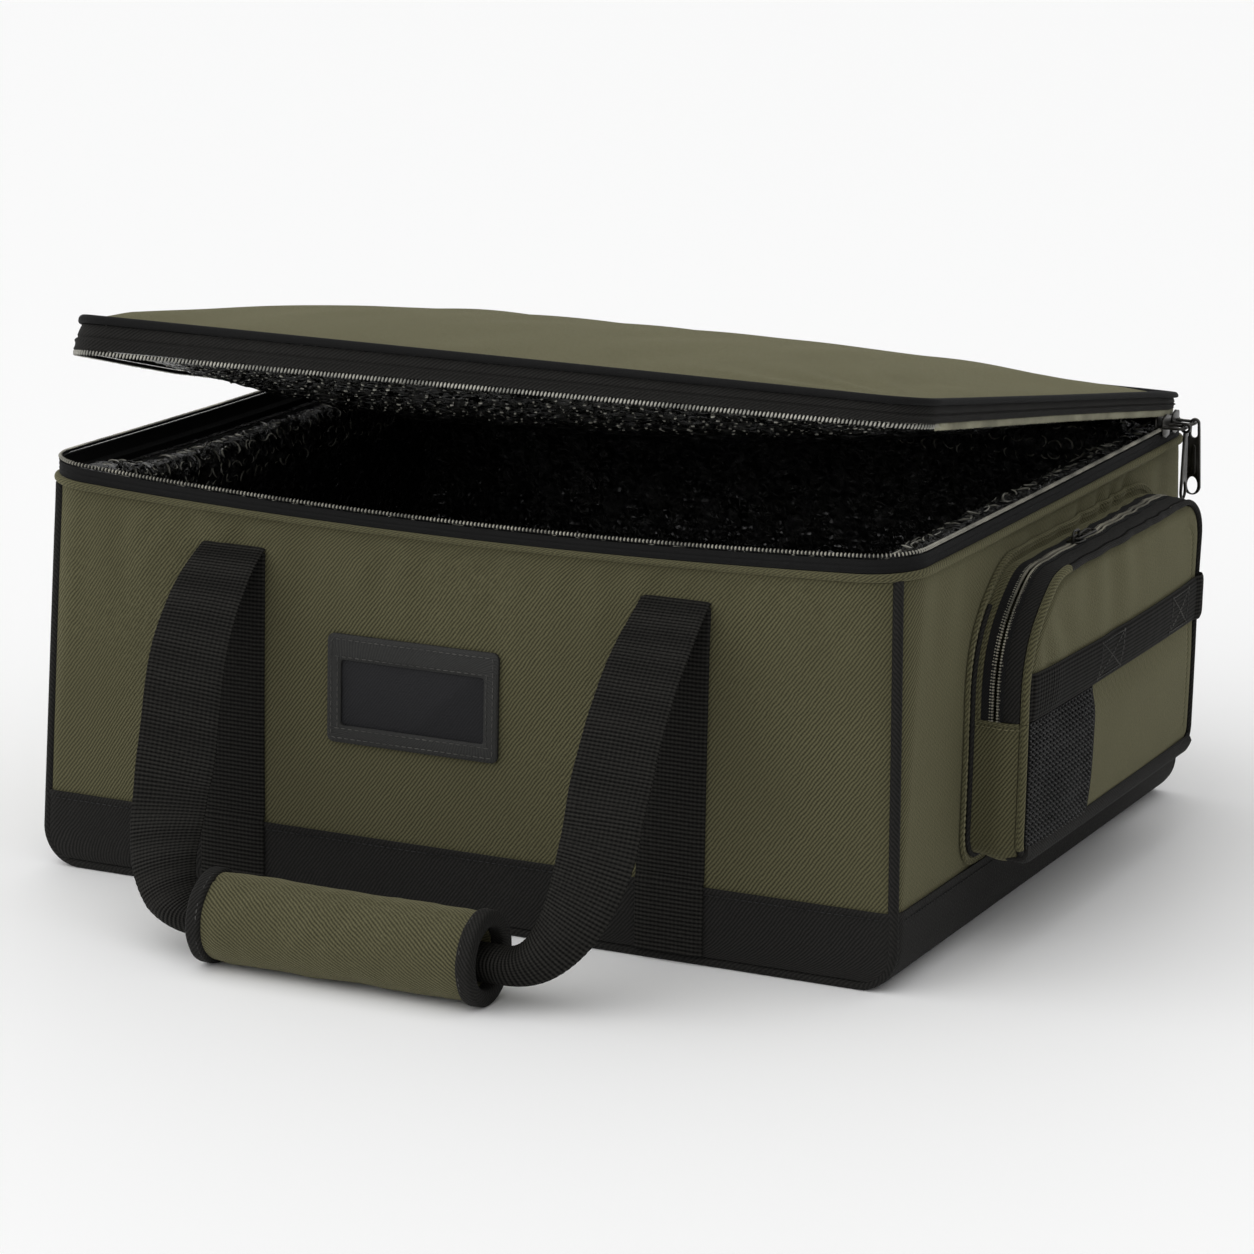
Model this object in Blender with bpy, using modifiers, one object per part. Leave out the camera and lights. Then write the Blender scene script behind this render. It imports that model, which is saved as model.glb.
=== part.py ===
"""Insulated delivery bag: soft walls, a zipped lid, two handles and a side pocket.

Metres, +Z up. The origin is on the floor under the middle of the base. The front
faces -Y, +X is on the right of someone who looks at the front, and the lid stands
a few degrees open on its hinge along the back of the rim.
"""
import math

import bmesh
import bpy
from mathutils import Matrix, Vector

# Body
BAG_WIDTH = 0.500
BAG_DEPTH = 0.440
RIM_BEAD_HEIGHT = 0.2125
RIM_CORNER = 0.026
FOOT_CORNER = 0.004
FOOT_ROUND = 0.020
CLEAR = 0.0003
OVERRUN = 0.004
SHELL = 0.0012
TRIM = 0.0010
TRIM_TOP = 0.042
TRIM_LAP = 0.010
PIPING_RADIUS = 0.0024
BEAD_RADIUS = 0.0023
BEAD_PROUD = 0.0006
BAND = 0.0015
RIM_BAND_HEIGHT = 0.0071
FOAM = 0.0060
LINING = 0.0010
BASE_BOARD = 0.0030
PAD_ROUND = 0.0010

# Main zip and lid
COIL_RADIUS = 0.0011
ZIP_GAP = 0.0010
LID_BAND_HEIGHT = 0.0125
LID_RISE = 0.012
LID_CROWN_POWER = 2.4
LID_OPEN_ANGLE = math.radians(8.0)
HINGE_END_MARGIN = 0.005
SLIDER_LENGTH = 0.011
SLIDER_PLATE = 0.0010
SLIDER_WEB = 0.0004
BRIDGE_REACH = 0.0115
BRIDGE_BAR = 0.0014
BRIDGE_WIDTH = 0.0016
REAR_SLIDER_INSET = 0.0335
SLIDER_SPACING = 0.0165
PULL_LENGTH = 0.041
PULL_THICK = 0.0014
PULL_EYE = 0.0031
PULL_EYE_BORE = 0.0015
PULL_END = 0.0042
PULL_NECK = 0.0026
PULL_HOLE_WIDTH = 0.0050
PULL_HOLE_LENGTH = 0.0095

# Webbing, handles and grips
STRAP_WIDTH = 0.038
STRAP = 0.0016
STRAP_X = 0.127
STRAP_FOLD_DROP = 0.024
STRAP_STEP = 0.004
STRAP_TURN = 0.040
GRIP_REACH = 0.107
GRIP_LENGTH = 0.160
GRIP_BORE = 0.0196
GRIP_RADIUS = 0.0225
BINDING_RADIUS = 0.0240
BINDING_LENGTH = 0.0080
HANDLE_BULGE = 0.0255

# Label holder
LABEL_X = -0.0145
LABEL_WIDTH = 0.099
LABEL_FOOT = 0.092
LABEL_HEIGHT = 0.058
LABEL_ROUND = 0.003
LABEL_SHEET = 0.0010
LABEL_RAIL = 0.0012
WINDOW_WIDTH = 0.083
WINDOW_HEIGHT = 0.035
WINDOW_DROP = 0.0020

# Side pocket
POCKET_FRONT_INSET = 0.089
POCKET_BACK_INSET = 0.074
POCKET_FOOT = 0.050
POCKET_TOP = 0.1945
POCKET_DEPTH = 0.0279
POCKET_FRONT_CORNER = 0.060
POCKET_BACK_CORNER = 0.025
POCKET_FOOT_CORNER = 0.012
POCKET_ZIP_OUT = 0.0148
POCKET_ZIP_FOOT = 0.1235
POCKET_SHEET = 0.0012
FLANGE = 0.0010
FLANGE_LIP = 0.0060
FLANGE_LAP = 0.0080
POCKET_PIPING_RADIUS = 0.0022
POCKET_PIPING_INSET = 0.0010
POCKET_SLIDER_FROM_FRONT = 0.114
POCKET_SLIDER_CLEAR = 0.0006
POCKET_PULL_LENGTH = 0.026
POCKET_PULL_HALF_WIDTH = 0.0036
POCKET_PULL_BAR = 0.0012
POCKET_PULL_SLOT_HALF = 0.0018
POCKET_PULL_SLOT_LENGTH = 0.0080
POCKET_BRIDGE_REACH = 0.0052
MESH_SHEET = 0.0006
MESH_WIDTH = 0.092
WEBBING_WIDTH = 0.0245
WEBBING = 0.0014
WEBBING_MARGIN = 0.0010
WEBBING_RAMP = 0.010
WEBBING_WRAP = 0.009

# How finely curves are divided
CORNER_STEPS = 6
ROUND_STEPS = 24

# Colours as red, green, blue, and how rough each surface is
OLIVE = (0.085, 0.082, 0.045)
BLACK = (0.017, 0.017, 0.018)
DARK = (0.010, 0.010, 0.010)
GREY = (0.12, 0.12, 0.12)
METAL = (0.05, 0.05, 0.052)

HALF_WIDTH = BAG_WIDTH / 2
HALF_DEPTH = BAG_DEPTH / 2
SHELL_FOOT = TRIM + CLEAR
PIPING_FOOT = PIPING_RADIUS + CLEAR
PANEL_FOOT = PIPING_FOOT + PIPING_RADIUS + CLEAR
WALL_TOP = RIM_BEAD_HEIGHT - BEAD_RADIUS - CLEAR
LINING_OUT = SHELL + CLEAR + FOAM + CLEAR
BAND_FOOT = RIM_BEAD_HEIGHT + BEAD_RADIUS + CLEAR
BAND_TOP = BAND_FOOT + RIM_BAND_HEIGHT
BODY_COIL_HEIGHT = BAND_TOP + CLEAR + COIL_RADIUS
ZIP_PLANE = BODY_COIL_HEIGHT + COIL_RADIUS + ZIP_GAP / 2
LID_COIL_HEIGHT = ZIP_PLANE + ZIP_GAP / 2 + COIL_RADIUS
LID_BAND_FOOT = LID_COIL_HEIGHT + COIL_RADIUS + CLEAR
LID_BEAD_HEIGHT = LID_BAND_FOOT + LID_BAND_HEIGHT + CLEAR + BEAD_RADIUS
DIAGONAL_SHARE = 1 - math.sqrt(0.5)
POCKET_FRONT_Y = POCKET_FRONT_INSET - HALF_DEPTH
POCKET_BACK_Y = HALF_DEPTH - POCKET_BACK_INSET
POCKET_SLIDER_Y = POCKET_FRONT_Y + POCKET_SLIDER_FROM_FRONT
REAR_SLIDER_Y = HALF_DEPTH - REAR_SLIDER_INSET
FRONT_SLIDER_Y = REAR_SLIDER_Y - SLIDER_SPACING
STRAP_FOLD_HEIGHT = RIM_BEAD_HEIGHT - STRAP_FOLD_DROP

YZ_FRAME = Matrix(((0, 0, 1, 0), (1, 0, 0, 0), (0, 1, 0, 0), (0, 0, 0, 1)))
XZ_FRAME = Matrix(((1, 0, 0, 0), (0, 0, 1, 0), (0, 1, 0, 0), (0, 0, 0, 1)))
YX_FRAME = Matrix(((0, 1, 0, 0), (1, 0, 0, 0), (0, 0, 1, 0), (0, 0, 0, 1)))
XY_FRAME = Matrix.Identity(4)

for item in list(bpy.data.objects):
    bpy.data.objects.remove(item, do_unlink=True)

bag = bpy.data.collections.new("pizza_delivery_bag")
bpy.context.scene.collection.children.link(bag)
cutters = bpy.data.collections.new("pizza_delivery_bag_cutters")
bpy.context.scene.collection.children.link(cutters)


def add_material(obj, colour, roughness, metallic=0.0):
    """Give an object its own Principled material."""
    made = bpy.data.materials.new(obj.name + "_material")
    made.use_nodes = True
    shader = made.node_tree.nodes["Principled BSDF"]
    shader.inputs["Base Color"].default_value = (*colour, 1.0)
    shader.inputs["Roughness"].default_value = roughness
    shader.inputs["Metallic"].default_value = metallic
    made.diffuse_color = (*colour, 1.0)
    obj.data.materials.clear()
    obj.data.materials.append(made)


def evaluated_mesh(obj):
    """Return a mesh of the object with its modifiers, its caps welded and faces out."""
    bpy.context.view_layer.update()
    graph = bpy.context.evaluated_depsgraph_get()
    mesh = bpy.data.meshes.new_from_object(obj.evaluated_get(graph))
    work = bmesh.new()
    work.from_mesh(mesh)
    bmesh.ops.remove_doubles(work, verts=work.verts, dist=CLEAR / 100)
    bmesh.ops.recalc_face_normals(work, faces=work.faces)
    work.to_mesh(mesh)
    work.free()
    return mesh


def finish(obj, colour, roughness, metallic=0.0, smooth=True):
    """Shade a finished piece and give it its material."""
    if smooth:
        obj.data.shade_smooth()
        obj.data.set_sharp_from_angle(angle=math.radians(35))
    add_material(obj, colour, roughness, metallic)
    return obj


def place_mesh(name, mesh, home=bag):
    """Put a mesh into the scene as a named object."""
    mesh.name = name
    obj = bpy.data.objects.new(name, mesh)
    home.objects.link(obj)
    return obj


def prism(name, loops, low, high, frame, home=bag):
    """Fill flat loops of points and extrude them from low to high across their plane."""
    curve = bpy.data.curves.new(name, "CURVE")
    curve.dimensions = "2D"
    curve.fill_mode = "BOTH"
    curve.extrude = (high - low) / 2
    for loop in loops:
        spline = curve.splines.new("POLY")
        spline.points.add(len(loop) - 1)
        for point, place in zip(spline.points, loop):
            point.co = (place[0], place[1], 0, 1)
        spline.use_cyclic_u = True
    guide = bpy.data.objects.new(name, curve)
    home.objects.link(guide)
    mesh = evaluated_mesh(guide)
    bpy.data.objects.remove(guide, do_unlink=True)
    mesh.transform(Matrix.Translation((0, 0, (low + high) / 2)))
    mesh.transform(frame)
    obj = place_mesh(name, mesh, home)
    obj.data = evaluated_mesh(obj)
    return obj


def tube(name, path, radius, cyclic=False, resolution=2):
    """Run a round section along a path."""
    curve = bpy.data.curves.new(name, "CURVE")
    curve.dimensions = "3D"
    curve.bevel_depth = radius
    curve.bevel_resolution = resolution
    curve.use_fill_caps = not cyclic
    spline = curve.splines.new("POLY")
    spline.points.add(len(path) - 1)
    for point, place in zip(spline.points, path):
        point.co = (*place, 1)
    spline.use_cyclic_u = cyclic
    guide = bpy.data.objects.new(name, curve)
    bag.objects.link(guide)
    mesh = evaluated_mesh(guide)
    bpy.data.objects.remove(guide, do_unlink=True)
    return place_mesh(name, mesh)


def skin(name, across, along, place, thickness, lift=0.0):
    """Lay a grid on a surface and thicken it: outwards above zero, inwards below."""
    work = bmesh.new()
    bmesh.ops.create_grid(work, x_segments=across, y_segments=along, size=1)
    for vert in work.verts:
        vert.co = place((vert.co.x + 1) / 2, (vert.co.y + 1) / 2)
    work.normal_update()
    if lift:
        moves = [(vert, vert.normal * lift) for vert in work.verts]
        for vert, move in moves:
            vert.co += move
    mesh = bpy.data.meshes.new(name)
    work.to_mesh(mesh)
    work.free()
    obj = place_mesh(name, mesh)
    solid = obj.modifiers.new("Thickness", "SOLIDIFY")
    solid.thickness = abs(thickness)
    solid.offset = 1 if thickness > 0 else -1
    solid.use_even_offset = True
    return obj


def slab(name, low, high, round_edge=0.0):
    """A box between two corners, with softened edges."""
    work = bmesh.new()
    bmesh.ops.create_cube(work, size=2)
    for vert in work.verts:
        share = (vert.co + Vector((1, 1, 1))) / 2
        vert.co = Vector(lo + (hi - lo) * part for lo, hi, part in zip(low, high, share))
    mesh = bpy.data.meshes.new(name)
    work.to_mesh(mesh)
    work.free()
    obj = place_mesh(name, mesh)
    if round_edge:
        bevel = obj.modifiers.new("Soft edges", "BEVEL")
        bevel.width = round_edge
        bevel.segments = 2
    return obj


def combine(obj, other, operation="UNION"):
    """Join another solid to this one, or cut it away, and drop the other."""
    change = obj.modifiers.new("Combine", "BOOLEAN")
    change.operation = operation
    change.solver = "EXACT"
    change.object = other
    obj.data = evaluated_mesh(obj)
    obj.modifiers.clear()
    bpy.data.objects.remove(other, do_unlink=True)
    return obj


def arc(centre, radius, start, end, steps):
    """Points on an arc, angles in degrees."""
    turns = [math.radians(start + (end - start) * step / steps) for step in range(steps + 1)]
    return [(centre[0] + radius * math.cos(turn), centre[1] + radius * math.sin(turn)) for turn in turns]


def rounded_rectangle(half_x, half_y, radius, steps=CORNER_STEPS, middle=(0, 0)):
    """A rounded rectangle, counter-clockwise from the end of its lower side."""
    x, y = middle
    in_x = half_x - radius
    in_y = half_y - radius
    points = arc((x + in_x, y - in_y), radius, -90, 0, steps)
    points += arc((x + in_x, y + in_y), radius, 0, 90, steps)
    points += arc((x - in_x, y + in_y), radius, 90, 180, steps)
    points += arc((x - in_x, y - in_y), radius, 180, 270, steps)
    return points


def rim_loop(inset):
    """The outline of the rim in plan, moved inwards by inset."""
    return rounded_rectangle(HALF_WIDTH - inset, HALF_DEPTH - inset, RIM_CORNER - inset)


def ring(name, outer, inner, low, high):
    """A closed band between two insets of the rim."""
    return prism(name, [rim_loop(outer), rim_loop(inner)], low, high, XY_FRAME)


# Walls

def corner_radius(height):
    """Plan radius of the upright corners: crisp at the foot, round at the rim."""
    share = height / RIM_BEAD_HEIGHT
    return FOOT_CORNER + (RIM_CORNER - FOOT_CORNER) * share


def corner_inset(from_corner, radius):
    """How far a rounded corner draws the wall in, by distance from the sharp corner."""
    if from_corner >= radius:
        return 0.0
    rest = radius - max(from_corner, 0.0)
    return radius - math.sqrt(max(radius * radius - rest * rest, 0.0))


def foot_inset(height):
    """How far the rounded foot draws the side walls in."""
    rest = SHELL_FOOT + FOOT_ROUND - height
    if rest <= 0:
        return 0.0
    return FOOT_ROUND - math.sqrt(max(FOOT_ROUND * FOOT_ROUND - rest * rest, 0.0))


def piping_inset(height):
    """How far in from the sharp corner the upright piping runs."""
    return DIAGONAL_SHARE * corner_radius(height)


PIPING_BED = PIPING_RADIUS + CLEAR
FOOT_PIPING_INSET = piping_inset(SHELL_FOOT + FOOT_ROUND)
PIPING_TURN = SHELL_FOOT + FOOT_ROUND - PIPING_FOOT


def face_edge(height):
    """Half the width of the front and back walls, which stop beside their piping."""
    turn_middle = HALF_WIDTH - FOOT_PIPING_INSET - PIPING_TURN
    rest = SHELL_FOOT + FOOT_ROUND - height
    if rest <= 0:
        return HALF_WIDTH - piping_inset(height) - PIPING_BED
    reach = PIPING_TURN - PIPING_BED
    return turn_middle + math.sqrt(max(reach * reach - rest * rest, 0.0))


def side_edge(height):
    """Half the length of the side walls, which stop beside the piping."""
    return HALF_DEPTH - piping_inset(height) - PIPING_BED


def spread(across, half_length, edge, height):
    """Place a grid column: half of the columns on the flat, half round the corners."""
    side = across * 2 - 1
    flat_share, most_share = 0.5, 0.97
    flat = min(half_length - corner_radius(height), edge * most_share)
    if abs(side) <= flat_share:
        return side / flat_share * flat
    reach = flat + (abs(side) - flat_share) / (1 - flat_share) * (edge - flat)
    return math.copysign(reach, side)


def face_place(sign, low, high):
    """Surface of the front wall (sign -1) or back wall (sign 1)."""
    def place(across, up):
        height = low + (high - low) * up
        reach = spread(across, HALF_WIDTH, face_edge(height), height)
        inset = corner_inset(HALF_WIDTH - abs(reach), corner_radius(height))
        return Vector((-sign * reach, sign * (HALF_DEPTH - inset), height))
    return place


def side_place(sign, low, high):
    """Surface of the right wall (sign 1) or left wall (sign -1)."""
    def place(across, up):
        height = low + (high - low) * up
        reach = spread(across, HALF_DEPTH, side_edge(height), height)
        inset = corner_inset(HALF_DEPTH - abs(reach), corner_radius(height))
        return Vector((sign * (HALF_WIDTH - inset - foot_inset(height)), sign * reach, height))
    return place


def boot_place(across, up):
    """Surface of the boot: down one side, under the base and up the other."""
    upright = TRIM_TOP - SHELL_FOOT - FOOT_ROUND
    flat = HALF_WIDTH - FOOT_ROUND
    quarter = FOOT_ROUND * math.pi / 2
    girth = (up * 2 - 1) * (upright + quarter + flat)
    sign = math.copysign(1, girth)
    run = abs(girth)
    if run <= flat:
        x, height = run, SHELL_FOOT
    elif run <= flat + quarter:
        turn = (run - flat) / FOOT_ROUND
        x = flat + FOOT_ROUND * math.sin(turn)
        height = SHELL_FOOT + FOOT_ROUND * (1 - math.cos(turn))
    else:
        x, height = HALF_WIDTH, SHELL_FOOT + FOOT_ROUND + run - flat - quarter
    reach = spread(across, HALF_DEPTH, side_edge(height), height)
    inset = corner_inset(HALF_DEPTH - abs(reach), corner_radius(height))
    return Vector((sign * (x - inset), reach, height))


def boot_rows(across, up):
    """Share the boot's rows out so that its rounded edges get most of them."""
    upright = TRIM_TOP - SHELL_FOOT - FOOT_ROUND
    flat = HALF_WIDTH - FOOT_ROUND
    quarter = FOOT_ROUND * math.pi / 2
    total = upright + quarter + flat
    side = up * 2 - 1
    flat_share = 1 / 8
    curve_share = 7 / 8
    if abs(side) <= flat_share:
        run = abs(side) / flat_share * flat
    elif abs(side) <= curve_share:
        run = flat + (abs(side) - flat_share) / (curve_share - flat_share) * quarter
    else:
        run = flat + quarter + (abs(side) - curve_share) / (1 - curve_share) * upright
    return boot_place(across, (math.copysign(run / total, side) + 1) / 2)


for name, sign in (("front_panel", -1), ("back_panel", 1)):
    finish(skin(name, 16, 4, face_place(sign, PANEL_FOOT, WALL_TOP), -SHELL), OLIVE, 0.85)
for name, sign in (("right_side_panel", 1), ("left_side_panel", -1)):
    foot = TRIM_TOP - TRIM_LAP
    finish(skin(name, 16, 4, side_place(sign, foot, WALL_TOP), -SHELL), OLIVE, 0.85)
for name, sign in (("front_base_trim", -1), ("back_base_trim", 1)):
    finish(skin(name, 12, 8, face_place(sign, PANEL_FOOT, TRIM_TOP), TRIM, CLEAR), BLACK, 0.8)
finish(skin("base_boot", 8, 16, boot_rows, TRIM, CLEAR), BLACK, 0.8)


def piping_path(sign):
    """Piping down one corner, along the foot of the face and up the other corner."""
    turn_x = HALF_WIDTH - FOOT_PIPING_INSET - PIPING_TURN
    turn_z = SHELL_FOOT + FOOT_ROUND
    top = WALL_TOP - PIPING_RADIUS
    steps = 4
    half = []
    for step in range(steps):
        height = top + (turn_z - top) * step / steps
        inset = piping_inset(height)
        half.append(Vector((HALF_WIDTH - inset, sign * (HALF_DEPTH - inset), height)))
    for x, height in arc((turn_x, turn_z), PIPING_TURN, 0, -90, CORNER_STEPS):
        half.append(Vector((x, sign * (HALF_DEPTH - FOOT_PIPING_INSET), height)))
    other = [Vector((-point.x, point.y, point.z)) for point in reversed(half)]
    return half + other


for name, sign in (("front_piping", -1), ("back_piping", 1)):
    finish(tube(name, piping_path(sign), PIPING_RADIUS), BLACK, 0.6)

# Rim
bead_path = [(x, y, RIM_BEAD_HEIGHT) for x, y in rim_loop(-BEAD_PROUD)]
finish(tube("rim_bead", bead_path, BEAD_RADIUS, cyclic=True), OLIVE, 0.8)
finish(ring("rim_band", 0, BAND, BAND_FOOT, BAND_TOP), BLACK, 0.75)


def coil_path(height):
    """The zip's run: from the back of one side, round the front, to the other side."""
    loop = rim_loop(BAND / 2)
    corner = CORNER_STEPS + 1
    start = loop[3 * corner - CORNER_STEPS // 2 - 1:3 * corner]
    left = loop[3 * corner:]
    front_right = loop[:corner]
    back_right = loop[corner:corner + CORNER_STEPS // 2 + 1]
    run = [Vector((x, y, height)) for x, y in start + left + front_right + back_right]
    path = [run[0]]
    for point in run[1:]:
        if (point - path[-1]).length > CLEAR:
            path.append(point)
    return path


finish(tube("body_zip_coil", coil_path(BODY_COIL_HEIGHT), COIL_RADIUS, resolution=1), DARK, 0.4)

# Inside of the body
board_top = SHELL_FOOT + BASE_BOARD
board_x = HALF_WIDTH - FOOT_ROUND - CLEAR
board_y = HALF_DEPTH - FOOT_PIPING_INSET - PIPING_BED - CLEAR
finish(slab("base_board", (-board_x, -board_y, SHELL_FOOT), (board_x, board_y, board_top)), GREY, 0.5)

pad_foot = board_top + CLEAR
pad_top = pad_foot + FOAM
pad_x = HALF_WIDTH - foot_inset(pad_foot) - CLEAR
finish(slab("base_foam", (-pad_x, -board_y, pad_foot), (pad_x, board_y, pad_top), PAD_ROUND), GREY, 0.9)

lining_foot = pad_top + CLEAR
lining_top = WALL_TOP
foam_top = lining_top - LINING - CLEAR
wall_pad_x = HALF_WIDTH - RIM_CORNER - CLEAR
wall_pad_y = HALF_DEPTH - RIM_CORNER - CLEAR
pad_out = SHELL + CLEAR
for name, sign in (("front_foam", -1), ("back_foam", 1)):
    near, far = sorted((sign * (HALF_DEPTH - pad_out), sign * (HALF_DEPTH - pad_out - FOAM)))
    low = (-wall_pad_x, near, lining_foot)
    finish(slab(name, low, (wall_pad_x, far, foam_top), PAD_ROUND), GREY, 0.9)
for name, sign in (("right_foam", 1), ("left_foam", -1)):
    near, far = sorted((sign * (HALF_WIDTH - pad_out), sign * (HALF_WIDTH - pad_out - FOAM)))
    low = (near, -wall_pad_y, SHELL_FOOT + FOOT_ROUND)
    finish(slab(name, low, (far, wall_pad_y, foam_top), PAD_ROUND), GREY, 0.9)

lining = prism("lining", [rim_loop(LINING_OUT)], lining_foot, lining_top, XY_FRAME)
flange = ring("lining_flange", pad_out, LINING_OUT + LINING / 2, lining_top - LINING, lining_top)
hollow = prism("lining_hollow", [rim_loop(LINING_OUT + LINING)], lining_foot + LINING,
               lining_top + OVERRUN, XY_FRAME, cutters)
combine(lining, hollow, "DIFFERENCE")
combine(lining, flange)
finish(lining, DARK, 0.45)


# Lid, laid out closed and then tilted on its pivot

lid_pivot = bpy.data.objects.new("lid_pivot", None)
lid_pivot.location = (0, HALF_DEPTH + CLEAR + TRIM, ZIP_PLANE)
lid_pivot.rotation_euler = (-LID_OPEN_ANGLE, 0, 0)
bag.objects.link(lid_pivot)


def hang(obj, pivot):
    """Parent a piece laid out in place to a pivot empty, keeping its layout."""
    obj.parent = pivot
    obj.location = -pivot.location
    return obj


def crown(x, y, half_x, half_y):
    """Height of the lid's crown over its edge."""
    share_x = min(abs(x) / half_x, 1)
    share_y = min(abs(y) / half_y, 1)
    return LID_RISE * (1 - share_x ** LID_CROWN_POWER) * (1 - share_y ** LID_CROWN_POWER)


def crown_place(inset, drop):
    """Crowned surface over a rounded rectangle, this far in and this far down."""
    half_x = HALF_WIDTH - inset
    half_y = HALF_DEPTH - inset
    radius = RIM_CORNER - inset

    def place(across, along):
        x = (across * 2 - 1) * half_x
        y = (along * 2 - 1) * half_y
        over_x = abs(x) - (half_x - radius)
        over_y = abs(y) - (half_y - radius)
        if over_x > 0 and over_y > 0:
            length = math.hypot(over_x, over_y)
            shrink = max(over_x, over_y) / length
            x = math.copysign(half_x - radius + over_x * shrink, x)
            y = math.copysign(half_y - radius + over_y * shrink, y)
        return Vector((x, y, LID_BEAD_HEIGHT - drop + crown(x, y, half_x, half_y)))
    return place


def even_rows(place, half_x, half_y, radius):
    """Share the grid's lines out so that a third of them go round the corners."""
    def share_out(share, half):
        side = share * 2 - 1
        flat = half - radius
        flat_share = 2 / 3
        if abs(side) <= flat_share:
            reach = abs(side) / flat_share * flat
        else:
            reach = flat + (abs(side) - flat_share) / (1 - flat_share) * radius
        return (math.copysign(reach / half, side) + 1) / 2

    def shared(across, along):
        return place(share_out(across, half_x), share_out(along, half_y))
    return shared


def crowned_sheet(name, inset, drop, thickness):
    """A sheet that follows the lid's crown."""
    place = crown_place(inset, drop)
    shared = even_rows(place, HALF_WIDTH - inset, HALF_DEPTH - inset, RIM_CORNER - inset)
    return skin(name, 12, 12, shared, -thickness)


lid_edge = BEAD_RADIUS - BEAD_PROUD + CLEAR
lid_inside = BAND + CLEAR
foam_drop = SHELL + CLEAR
lid_lining_drop = foam_drop + FOAM + 2 * CLEAR
hang(finish(crowned_sheet("lid_top", lid_edge, 0, SHELL), OLIVE, 0.85), lid_pivot)
hang(finish(crowned_sheet("lid_foam", lid_inside, foam_drop, FOAM), GREY, 0.9), lid_pivot)
hang(finish(crowned_sheet("lid_lining", lid_inside, lid_lining_drop, LINING), DARK, 0.45), lid_pivot)
lid_bead_path = [(x, y, LID_BEAD_HEIGHT) for x, y in rim_loop(-BEAD_PROUD)]
hang(finish(tube("lid_bead", lid_bead_path, BEAD_RADIUS, cyclic=True), BLACK, 0.6), lid_pivot)
lid_band = ring("lid_band", 0, BAND, LID_BAND_FOOT, LID_BAND_FOOT + LID_BAND_HEIGHT)
hang(finish(lid_band, BLACK, 0.75), lid_pivot)
lid_coil = tube("lid_zip_coil", coil_path(LID_COIL_HEIGHT), COIL_RADIUS, resolution=1)
hang(finish(lid_coil, DARK, 0.4), lid_pivot)

# The cloth hinge along the back is one strip, in two nodes because it bends at its middle
hinge_x = HALF_WIDTH - RIM_CORNER - HINGE_END_MARGIN
hinge_inner = HALF_DEPTH + CLEAR
lower_strip = slab("lid_hinge_strip_lower", (-hinge_x, hinge_inner, BAND_FOOT),
                   (hinge_x, hinge_inner + TRIM, ZIP_PLANE - CLEAR / 2))
finish(lower_strip, BLACK, 0.8)
upper_strip = slab("lid_hinge_strip_upper", (-hinge_x, hinge_inner, ZIP_PLANE + CLEAR / 2),
                   (hinge_x, hinge_inner + TRIM, LID_BAND_FOOT + LID_BAND_HEIGHT - CLEAR))
hang(finish(upper_strip, BLACK, 0.8), lid_pivot)


# Main zip sliders

def h_section(middle_a, middle_b, half_gap, half_run):
    """Outline of a slider: two plates with a thin web between the coils."""
    face = half_gap
    back = half_gap + SLIDER_PLATE
    web = SLIDER_WEB / 2
    quarter = [(back, half_run), (face + CLEAR / 2, half_run), (face, web)]
    shape = [(a, b) for a, b in quarter]
    shape += [(-a, b) for a, b in reversed(quarter)]
    shape += [(-a, -b) for a, b in quarter]
    shape += [(a, -b) for a, b in reversed(quarter)]
    return [(middle_a + a, middle_b + b) for a, b in shape]


def bridge_outline(base, reach, middle):
    """Outline of the bridge over a slider's outer plate, along its travel."""
    half = SLIDER_LENGTH / 2 - CLEAR
    outer = reach + BRIDGE_BAR / 2
    inner = reach - BRIDGE_BAR / 2
    leg = half - BRIDGE_BAR
    return [(middle - half, base), (middle - half, outer), (middle + half, outer), (middle + half, base),
            (middle + leg, base), (middle + leg, inner), (middle - leg, inner), (middle - leg, base)]


def teardrop(length, end_radius, middle, top):
    """Outline of a hanging pull: a round eye above, a round tab end below."""
    low = top - length + end_radius
    points = arc((middle, top), PULL_EYE, 0, 180, 8)
    points += [(middle - PULL_NECK, top - PULL_EYE)]
    points += arc((middle, low), end_radius, 180, 360, 10)
    points += [(middle + PULL_NECK, top - PULL_EYE)]
    return points


def oval(middle, height, half_width, half_length):
    """An oval hole."""
    turns = [2 * math.pi * step / ROUND_STEPS for step in range(ROUND_STEPS)]
    return [(middle + half_width * math.cos(turn), height + half_length * math.sin(turn)) for turn in turns]


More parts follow.
